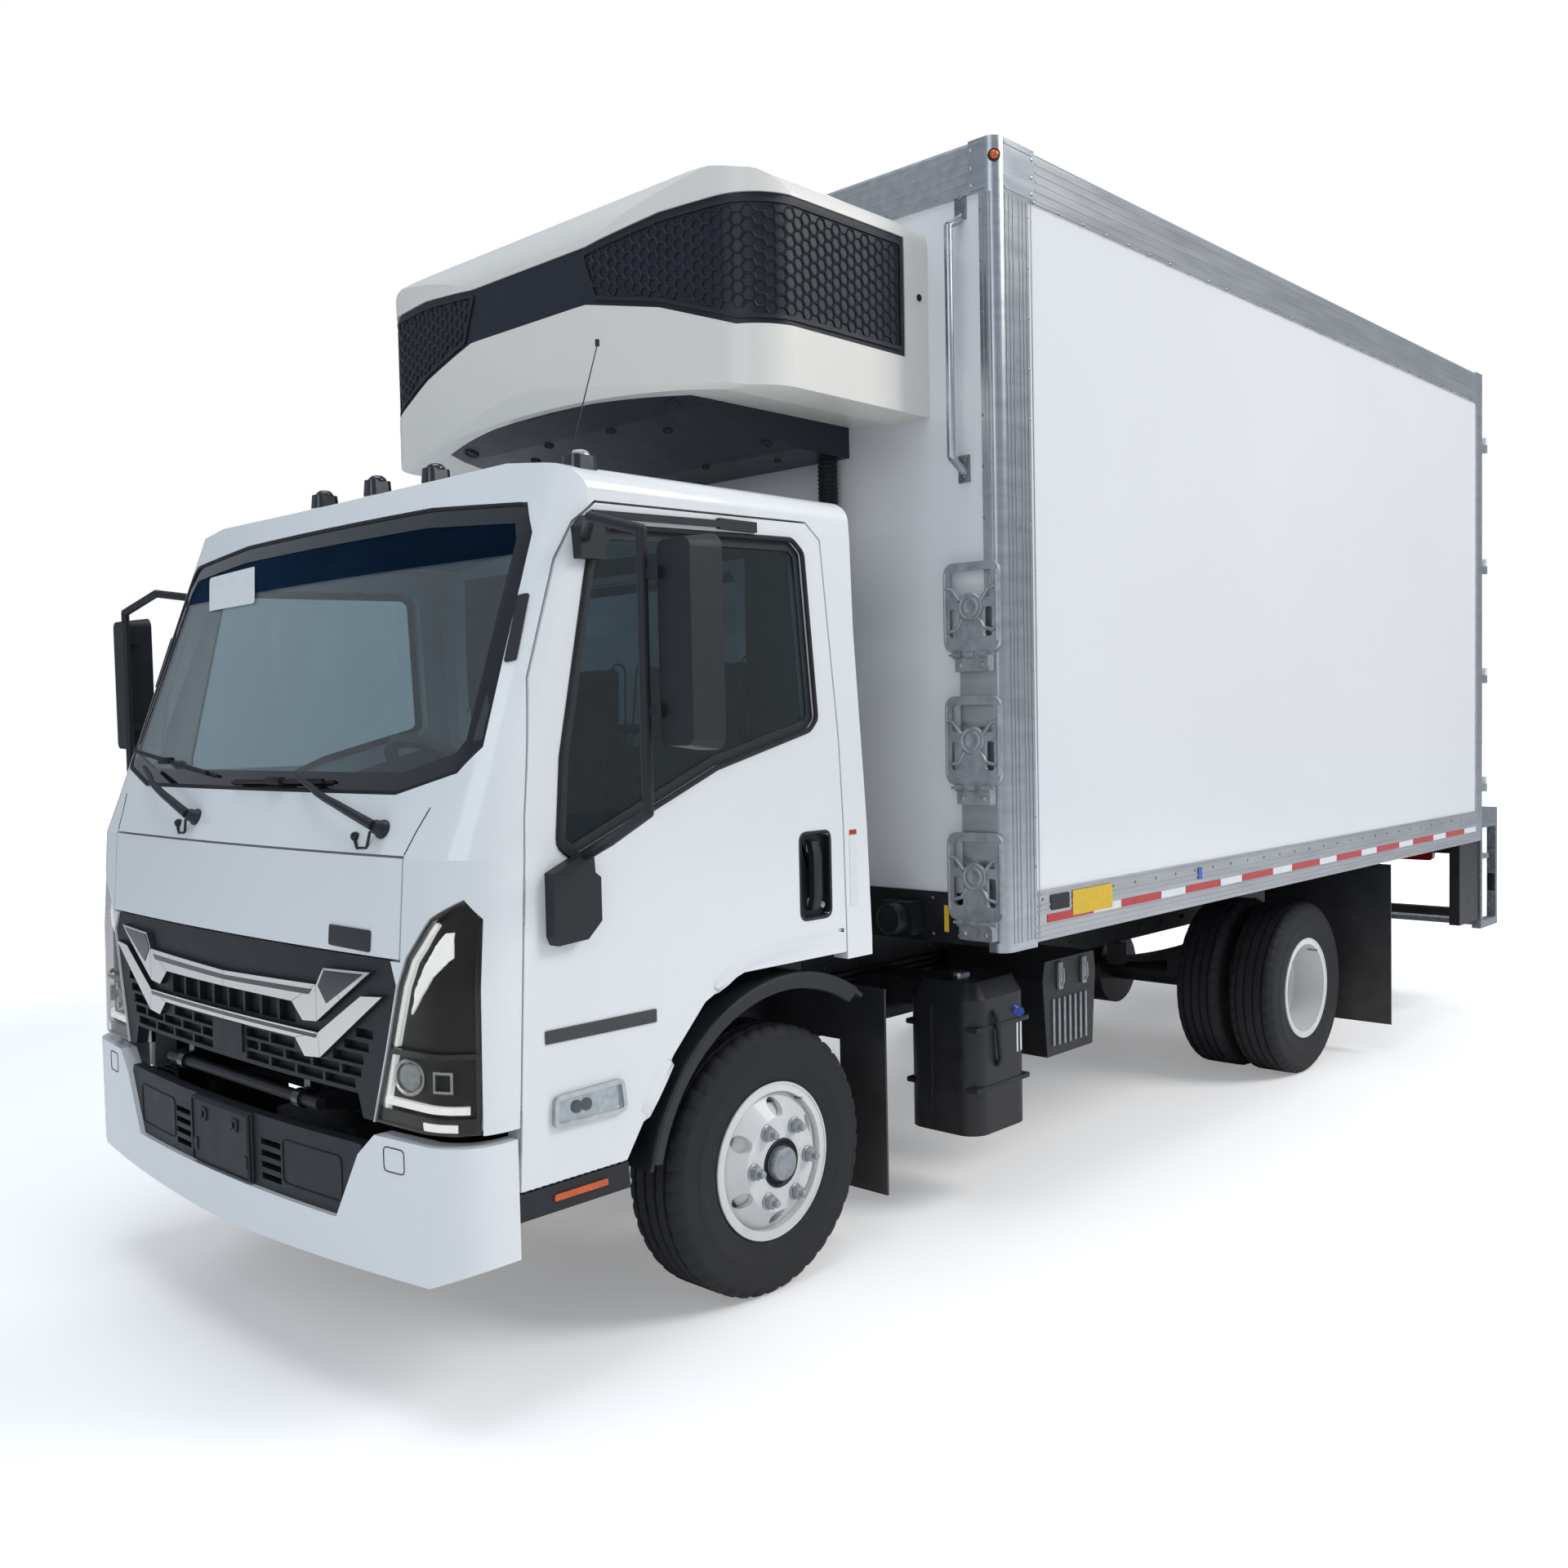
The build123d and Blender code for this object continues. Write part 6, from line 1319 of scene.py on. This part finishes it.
for side, label in labelled_sides:
    for axle, face_y, body_name, mark, rim_y in axle_table:
        body = body_name.format(label)
        nuts = Shape()
        centre = Vector((axle.x, side * face_y, axle.z))
        out = Vector((0, side, 0))
        for k in range(6):
            angle = math.radians(60 * k)
            spot = centre + bolt_circle * Vector((math.cos(angle), 0, math.sin(angle)))
            nuts.lathe([(-0.002, 0.024), (0.004, 0.024), (0.006, 0.021)], spot, out, sides=20)
            nuts.lathe([(0.004, 0.019), (0.024, 0.019), (0.027, 0.0165), (0.027, 0.011), (0.04, 0.011),
                        (0.042, 0.009), (0.042, 0)], spot, out, sides=6)
        nuts.done(f"wheel_nuts_{mark}_{label}", step_metal, body, smooth=25)
        if mark == "front":
            turned_piece(f"hub_ring_{label}", hub_ring, centre, out, 40, plain_black, body)
            turned_piece(f"hub_cap_{label}", front_hub_cap, centre, out, 40, step_metal, body)
        else:
            turned_piece(f"hub_cap_rear_{label}", rear_hub_cap, centre, out, 40, step_metal, body)
        rims = Shape()
        rims.lathe([(-0.006, 0.208), (-0.003, 0.222), (0.0015, 0.2245), (0.004, 0.2225), (0.0035, 0.219),
                    (-0.001, 0.2165)], Vector((axle.x, side * rim_y, axle.z)), out, sides=72, ring=True)
        rims.done(f"rim_edge_{mark}_{label}", wheel_white, body, slot="wheel_paint")
        valve = Shape()
        spot = Vector((axle.x - 0.12, side * (rim_y - 0.012), axle.z + 0.155))
        valve.tube([spot - out * 0.03, spot, spot + out * 0.014], 0.0045, sides=8)
        valve.done(f"valve_{mark}_{label}", steel, body)

# Chassis: tank cap, handle and blank label, latches on the battery box, bolts on the frame
tank = Shape()
cap_axis = Vector((-0.03, 0.035, 0.08)).normalized()
cap_base = Vector((at(-1.14), 0.965, 0.64))
tank.lathe([(-0.004, 0.041), (0.012, 0.043), (0.02, 0.042), (0.026, 0.036), (0.027, 0)], cap_base, cap_axis,
           sides=28)
side_axis = cap_axis.orthogonal().normalized()
other_axis = cap_axis.cross(side_axis)
for k in range(14):
    angle = 2 * math.pi * k / 14
    spot = cap_base + 0.0425 * (math.cos(angle) * side_axis + math.sin(angle) * other_axis)
    tank.tube([spot + cap_axis * 0.002, spot + cap_axis * 0.018], 0.0035, sides=6)
tank.done("tank_cap", cap_blue, "chassis")
tank_trim = Shape()
tank_trim.tube([(at(-1.0), 0.9965, 0.66), (at(-1.0), 1.008, 0.64), (at(-1.015), 1.01, 0.5),
                (at(-1.015), 0.9965, 0.475)], 0.009, sides=8)
tank_trim.tube([(at(-0.8905), 0.82, 0.32), (at(-0.8895), 0.82, 0.68)], 0.006, sides=6)
for z in (0.40, 0.60):
    tank_trim.block((at(-1.205), 0.705, z), (at(-0.895), 0.999, z + 0.018), 0.004)
tank_trim.done("tank_ribs", plain_black, "chassis")
plate("tank_label", box_outline(at(-1.15), 0.55, 0.04, 0.1, 0.003), "left", skin_of("reductant_tank"),
      label_white, "chassis", offset=0.0004, thickness=0.0008, step=0.1)
turned_piece("tank_top_cap", [(-0.004, 0.034), (0.014, 0.034), (0.02, 0.03), (0.021, 0)], (at(-1.0), 0.86, 0.761),
             (0, 0, 1), 24, steel, "chassis")
latches = Shape()
for x in (-1.5, -1.66):
    latches.block((at(x) - 0.014, 0.929, 0.65), (at(x) + 0.014, 0.942, 0.75), 0.004)
    latches.tube([(at(x), 0.94, 0.66), (at(x), 0.952, 0.68), (at(x), 0.95, 0.73)], 0.004, sides=6)
for k in range(7):
    x = -1.46 - k * 0.036
    latches.block((at(x) - 0.006, 0.929, 0.45), (at(x) + 0.006, 0.936, 0.62), 0.002)
latches.done("battery_latches", step_metal, "chassis")
frame_side, line_side = 0.425, 0.437
bolts = Shape()
for side in (1, -1):
    for index in range(26):
        x = at(0.8) - index * 0.2
        if x < rail_rear_x + 0.15:
            break
        for z in (0.655, 0.775):
            dome(bolts, (x, side * frame_side, z), (0, side, 0), 0.012, 0.008)
bolts.done("frame_bolts", frame_black, "chassis", slot="frame_paint")
lines = Shape()
for side in (1, -1):
    for z, reach in ((0.7, 0.0), (0.72, 0.02), (0.742, 0.05)):
        run = [(at(-0.62) - reach, z), (at(-2.0), z - 0.006), (at(-3.0), z), (at(-4.1), z + 0.004)]
        lines.tube([(x, side * line_side, height) for x, height in run], 0.007, sides=6)
lines.done("frame_lines", rubber, "chassis")

# Rear: gaskets around the doors, guides of the lock rods, red marker lamps, tail lamp lenses and deck treads
door_face_x = at(-0.75) - 4.48
door_low_z, door_high_z = 1.0995, 3.2355
door_middle_y, door_width = 0.5615, 1.112
# Ahead of the doors' face, across and up to the same, of the bar and of the plate of each lock
lock_blocks = [((-0.042, 0.13, 1.41), (-0.02, 0.215, 1.464), 0.006),
               ((-0.008, 0.17, 1.38), (-0.0005, 0.2, 1.5), 0.003)]
for side, label in labelled_sides:
    gasket = Shape()
    outline = box_outline(side * door_middle_y, (door_low_z + door_high_z) / 2, door_width,
                          door_high_z - door_low_z, 0.012)
    points = [Vector((door_face_x - 0.001, u, v)) for u, v in resampled(outline, 0.25)]
    points.append(points[0] + (points[1] - points[0]) * 0.02)
    gasket.tube(points, 0.0055, sides=6)
    gasket.done(f"cargo_gasket_{label}", rubber, f"cargo_door_{label}")
    locks = Shape()
    for y in (0.12, 0.76):
        for z in (1.175, 1.515, 2.175, 2.815, 3.185):
            locks.lathe([(-0.02, 0.0135), (-0.02, 0.0165), (0.02, 0.0165), (0.02, 0.0135)],
                        (door_face_x - 0.027, side * y, z), (0, 0, 1), sides=16, ring=True)
        for low, high, round_by in lock_blocks:
            locks.side_block(side, (door_face_x + low[0], y + low[1], low[2]),
                             (door_face_x + high[0], y + high[1], high[2]), round_by)
    locks.done(f"lock_rod_guides_{label}", step_metal, f"cargo_door_{label}")
markers = Shape()
bases = Shape()
for y in (-1.13, -0.2, 0.0, 0.2, 1.13):
    bases.block((door_face_x - 0.012, y - 0.06, 3.3), (door_face_x + 0.001, y + 0.06, 3.336), 0.004)
    markers.block((door_face_x - 0.024, y - 0.05, 3.304), (door_face_x - 0.008, y + 0.05, 3.332), 0.006, 3)
bases.done("rear_marker_bases", plain_black, "chassis")
markers.done("rear_marker_lamps", red_lens, "chassis", slot="red_lens")
tail = Shape()
tail_rims = Shape()
tail_skin = skin_of("tail_lamps")
tail_lamp_z = 0.853
for side in (1, -1):
    outline = box_outline(side * 0.8, tail_lamp_z, 0.33, 0.112, 0.024)
    drape(tail_rims, band(outline, inset(outline, 0.009)), "rear", tail_skin, offset=0.0, thickness=0.004,
          step=0.08)
    for u in (0.7, 0.9):
        bar = box_outline(side * u, tail_lamp_z, 0.006, 0.09)
        drape(tail_rims, [bar], "rear", tail_skin, offset=0.0, thickness=0.003, step=0.08)
    for u in (0.665, 0.935):
        tail.lathe([(-0.001, 0.026), (0.003, 0.026), (0.0045, 0.02), (0.0055, 0.008), (0.0056, 0)],
                   *seat(side * u, tail_lamp_z, views["rear"], tail_skin), sides=20)
tail_rims.done("tail_lamp_rims", rubber, "chassis")
tail.done("tail_lamp_lenses", amber, "chassis", slot="amber_lens")
deck = Shape()
step_rear_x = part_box("rear_step")[0].x
for row in range(22):
    y = -1.16 + row * (2.32 / 21)
    for column in range(5):
        x = step_rear_x + 0.03 + column * 0.052
        turn = Matrix.Rotation(math.radians(45 if (row + column) % 2 else -45), 3, "Z")
        for z in (1.0825, 0.4675) if column < 3 else (1.0825,):
            deck.block((x - 0.014, y - 0.004, z), (x + 0.014, y + 0.004, z + 0.003), 0.0012, 1, turn=turn)
deck.done("rear_step_treads", galvanised, "chassis", slot="galvanised")
buffers = Shape()
for side in (1, -1):
    for height in (0.62, 0.98):
        buffers.side_block(side, (step_rear_x, 1.17, height), (step_rear_x + 0.03, 1.21, height + 0.1), 0.006)
buffers.done("rear_step_buffers", rubber, "chassis")

# Dark cooling pack and splash panels behind the grille
cooler = Shape()
cooler.block((at(0.52), -0.34, 0.44), (at(0.58), 0.34, 0.80), 0.01)
for k in range(24):
    z = 0.455 + k * 0.0145
    cooler.block((at(0.58), -0.32, z), (at(0.586), 0.32, z + 0.006), 0.0015, 1)
for side in (1, -1):
    low, high = sorted((side * 0.435, side * 0.775))
    cooler.block((at(0.79), low, 0.44), (at(0.80), high, 0.80), 0.004)
    cooler.block((at(0.60), low, 0.44), (at(0.79), low + 0.01, 0.62), 0.004)
cooler.block((at(0.84), -0.345, 0.60), (at(0.85), 0.345, 0.80), 0.004)
cooler.block((at(0.60), -0.86, 0.44), (at(1.06), 0.86, 0.448), 0.003)
cooler.done("cooling_pack", gap_black, "chassis")

# Bright rail of the grab handle over its solid
rail = Shape()
rail.tube([(box_front - 0.006, 1.085, 2.392), (box_front + 0.06, 1.085, 2.43), (box_front + 0.06, 1.085, 3.128),
           (box_front - 0.006, 1.085, 3.166)], 0.0132, sides=14)
rail.done("grab_handle_rail", aluminium, "chassis", slot="aluminium")


# Seats: cushions swollen by a short cloth simulation, with sewn channels and piping
def swollen(shape_mesh):
    """Coordinates and faces of a pad after remeshing and a short simulation with inner pressure."""
    pad = bpy.data.objects.new("pad_trial", shape_mesh)
    bpy.context.scene.collection.objects.link(pad)
    remesh = pad.modifiers.new("remesh", "REMESH")
    remesh.mode = "VOXEL"
    remesh.voxel_size = pad_voxel
    graph = bpy.context.evaluated_depsgraph_get()
    rest = bpy.data.meshes.new_from_object(pad.evaluated_get(graph))
    pad.modifiers.clear()
    pad.data = rest
    before = [v.co.copy() for v in rest.vertices]
    cloth = pad.modifiers.new("cloth", "CLOTH")
    cloth.settings.use_pressure = True
    cloth.settings.uniform_pressure_force = pad_pressure
    cloth.settings.effector_weights.gravity = 0
    cloth.settings.quality = 4
    scene = bpy.context.scene
    for number in range(1, pad_frames + 1):
        scene.frame_set(number)
    graph = bpy.context.evaluated_depsgraph_get()
    held = pad.evaluated_get(graph).to_mesh()
    after = [v.co.copy() for v in held.vertices]
    pad.evaluated_get(graph).to_mesh_clear()
    pad.modifiers.clear()
    scene.frame_set(1)
    result = []
    for a, b in zip(before, after):
        move = b - a
        if move.length > pad_cap:
            move = move.normalized() * pad_cap
        moved = a + move
        if a.z < seat_floor + pad_voxel:
            moved.z = seat_floor
        result.append(moved)
    faces = [list(p.vertices) for p in rest.polygons]
    bpy.data.objects.remove(pad)
    return result, faces


def make_pad(name, side_profile, y_low, y_high, channels):
    """A cushion over a side view outline of four corners, with sewn channels and a piped seam."""
    outline = inset(side_profile, pad_inset)
    low, high = y_low + pad_inset, y_high - pad_inset
    start = Shape()
    start.loop_skin([[Vector((x, low, z)) for x, z in outline], [Vector((x, high, z)) for x, z in outline]])
    bmesh.ops.recalc_face_normals(start.mesh, faces=start.mesh.faces)
    bmesh.ops.bevel(start.mesh, geom=start.mesh.edges[:], offset=0.03, segments=3, affect="EDGES", profile=0.6)
    bmesh.ops.triangulate(start.mesh, faces=start.mesh.faces[:])
    mesh = bpy.data.meshes.new(name + "_start")
    start.mesh.to_mesh(mesh)
    start.mesh.free()
    places, faces = swollen(mesh)
    middle = sum(places, Vector()) / len(places)
    for place in places:
        for axis, value in channels:
            gap = place[axis] - value
            depth = channel_depth * math.exp(-(gap / channel_width) ** 2)
            toward = middle - place
            toward[axis] = 0
            if toward.length > 1e-6:
                place += toward.normalized() * depth
    shape = Shape()
    verts = [shape.mesh.verts.new(p) for p in places]
    for face in faces:
        shape.mesh.faces.new([verts[i] for i in face])
    bmesh.ops.smooth_vert(shape.mesh, verts=shape.mesh.verts[:], factor=0.5,
                          use_axis_x=True, use_axis_y=True, use_axis_z=True)
    return shape


# Cloth simulation of the pads, how far they start inside their outline, and the sewn channels
pad_inset = 0.014
pad_pressure = 4.0
pad_frames = 20
pad_voxel = 0.011
pad_cap = 0.012
channel_depth = 0.0075
channel_width = 0.011
seat_floor = 1.1203
base_profile = ahead([(-50, 1121), (330, 1121), (343, 1228), (-48, 1240)])
back_profile = ahead([(-212, 1130), (-62, 1130), (-150, 1845), (-228, 1845)])
for name, y_low, y_high in (("driver", 0.20, 0.70), ("bench", -0.70, 0.10)):
    base_channels = [(0, at(0.05)), (0, at(0.2)), (1, y_low + 0.09), (1, y_high - 0.09)]
    back_channels = [(2, 1.38), (2, 1.62), (1, y_low + 0.08), (1, y_high - 0.08)]
    if name == "bench":
        base_channels.append((1, (y_low + y_high) / 2))
        back_channels.append((1, (y_low + y_high) / 2))
    for part_name, profile, channels, fill in (("base", base_profile, base_channels, 0.85),
                                               ("back", back_profile, back_channels, 0.8)):
        pad_name = f"seat_{name}_{part_name}"
        pad = make_pad(pad_name, profile, y_low, y_high, channels)
        made = pad.done(pad_name, seat_fabric, "cab", slot="seat_cloth", smooth=80, replaces=["seats"])
        finer = made.modifiers.new("finer", "SUBSURF")
        finer.levels = 1
        finer.render_levels = 1
        edge = Shape()
        outer = inset(profile, 0.012)
        for y in (y_low + 0.012, y_high - 0.012):
            route = [Vector((x, y, z)) for x, z in rounded(outer, 0.03, 4)]
            route.append(route[0].lerp(route[1], 0.1))
            edge.tube(route, 0.0035, sides=6)
        edge.done(f"{pad_name}_piping", plain_black, "cab")

# Cab trim: headliner, rear lining, door panels, instrument hood, blank screen and vents
roof_outline = [(at(-0.2), -0.84), (at(0.5), -0.84), (at(0.5), 0.84), (at(-0.2), 0.84)]
plate("headliner", roof_outline, "up", shell_skin, headliner, "cab", offset=0.001, thickness=0.006, step=0.1)
wall_outer = metres([(-880, 1140), (880, 1140), (860, 2190), (-860, 2190)])
wall_inner = metres([(-610, 1560), (610, 1560), (620, 2135), (-620, 2135)])
sheet_piece("rear_lining", band(wall_outer, wall_inner), "back", shell_skin, interior_grey, "cab", offset=0.001,
            thickness=0.005, step=0.12)
for _, label in labelled_sides:
    trim_outline = rounded(ahead([(720, 1290), (230, 1470), (-110, 1560), (-185, 1560), (-195, 1000), (215, 990),
                                  (440, 840), (640, 640), (820, 640), (790, 1250)]), 0.03, 3)
    plate(f"door_panel_{label}", trim_outline, f"to_{label}", skin_of(f"door_{label}"), interior_grey,
          f"door_{label}", offset=0.001, thickness=0.006, step=0.12)
dash = Shape()
hood = [(0.02, 0.0), (0.0, 0.045), (0.02, 0.062), (0.09, 0.058), (0.13, 0.03), (0.14, 0.0)]
loops = []
for share in (0, 0.06, 0.2, 0.5, 0.8, 0.94, 1):
    drop = 0.55 + 0.45 * math.sin(math.pi * min(max(share, 0.08), 0.92)) ** 0.5
    loops.append([Vector((at(0.84) + x, 0.26 + 0.38 * share, 1.432 + z * drop)) for x, z in hood])
dash.loop_skin(loops)
dash.done("instrument_hood", interior_grey, "cab")
fascia = Shape()
fascia.block((at(0.752), -0.02, 1.315), (at(0.760), 0.19, 1.395), 0.003)
for y in (-0.82, -0.55, 0.24, 0.66):
    for row in range(4):
        fascia.block((at(0.75), y - 0.055, 1.33 + row * 0.016), (at(0.76), y + 0.055, 1.336 + row * 0.016),
                     0.0015, 1)
fascia.done("dash_fascia", gloss_black, "cab")
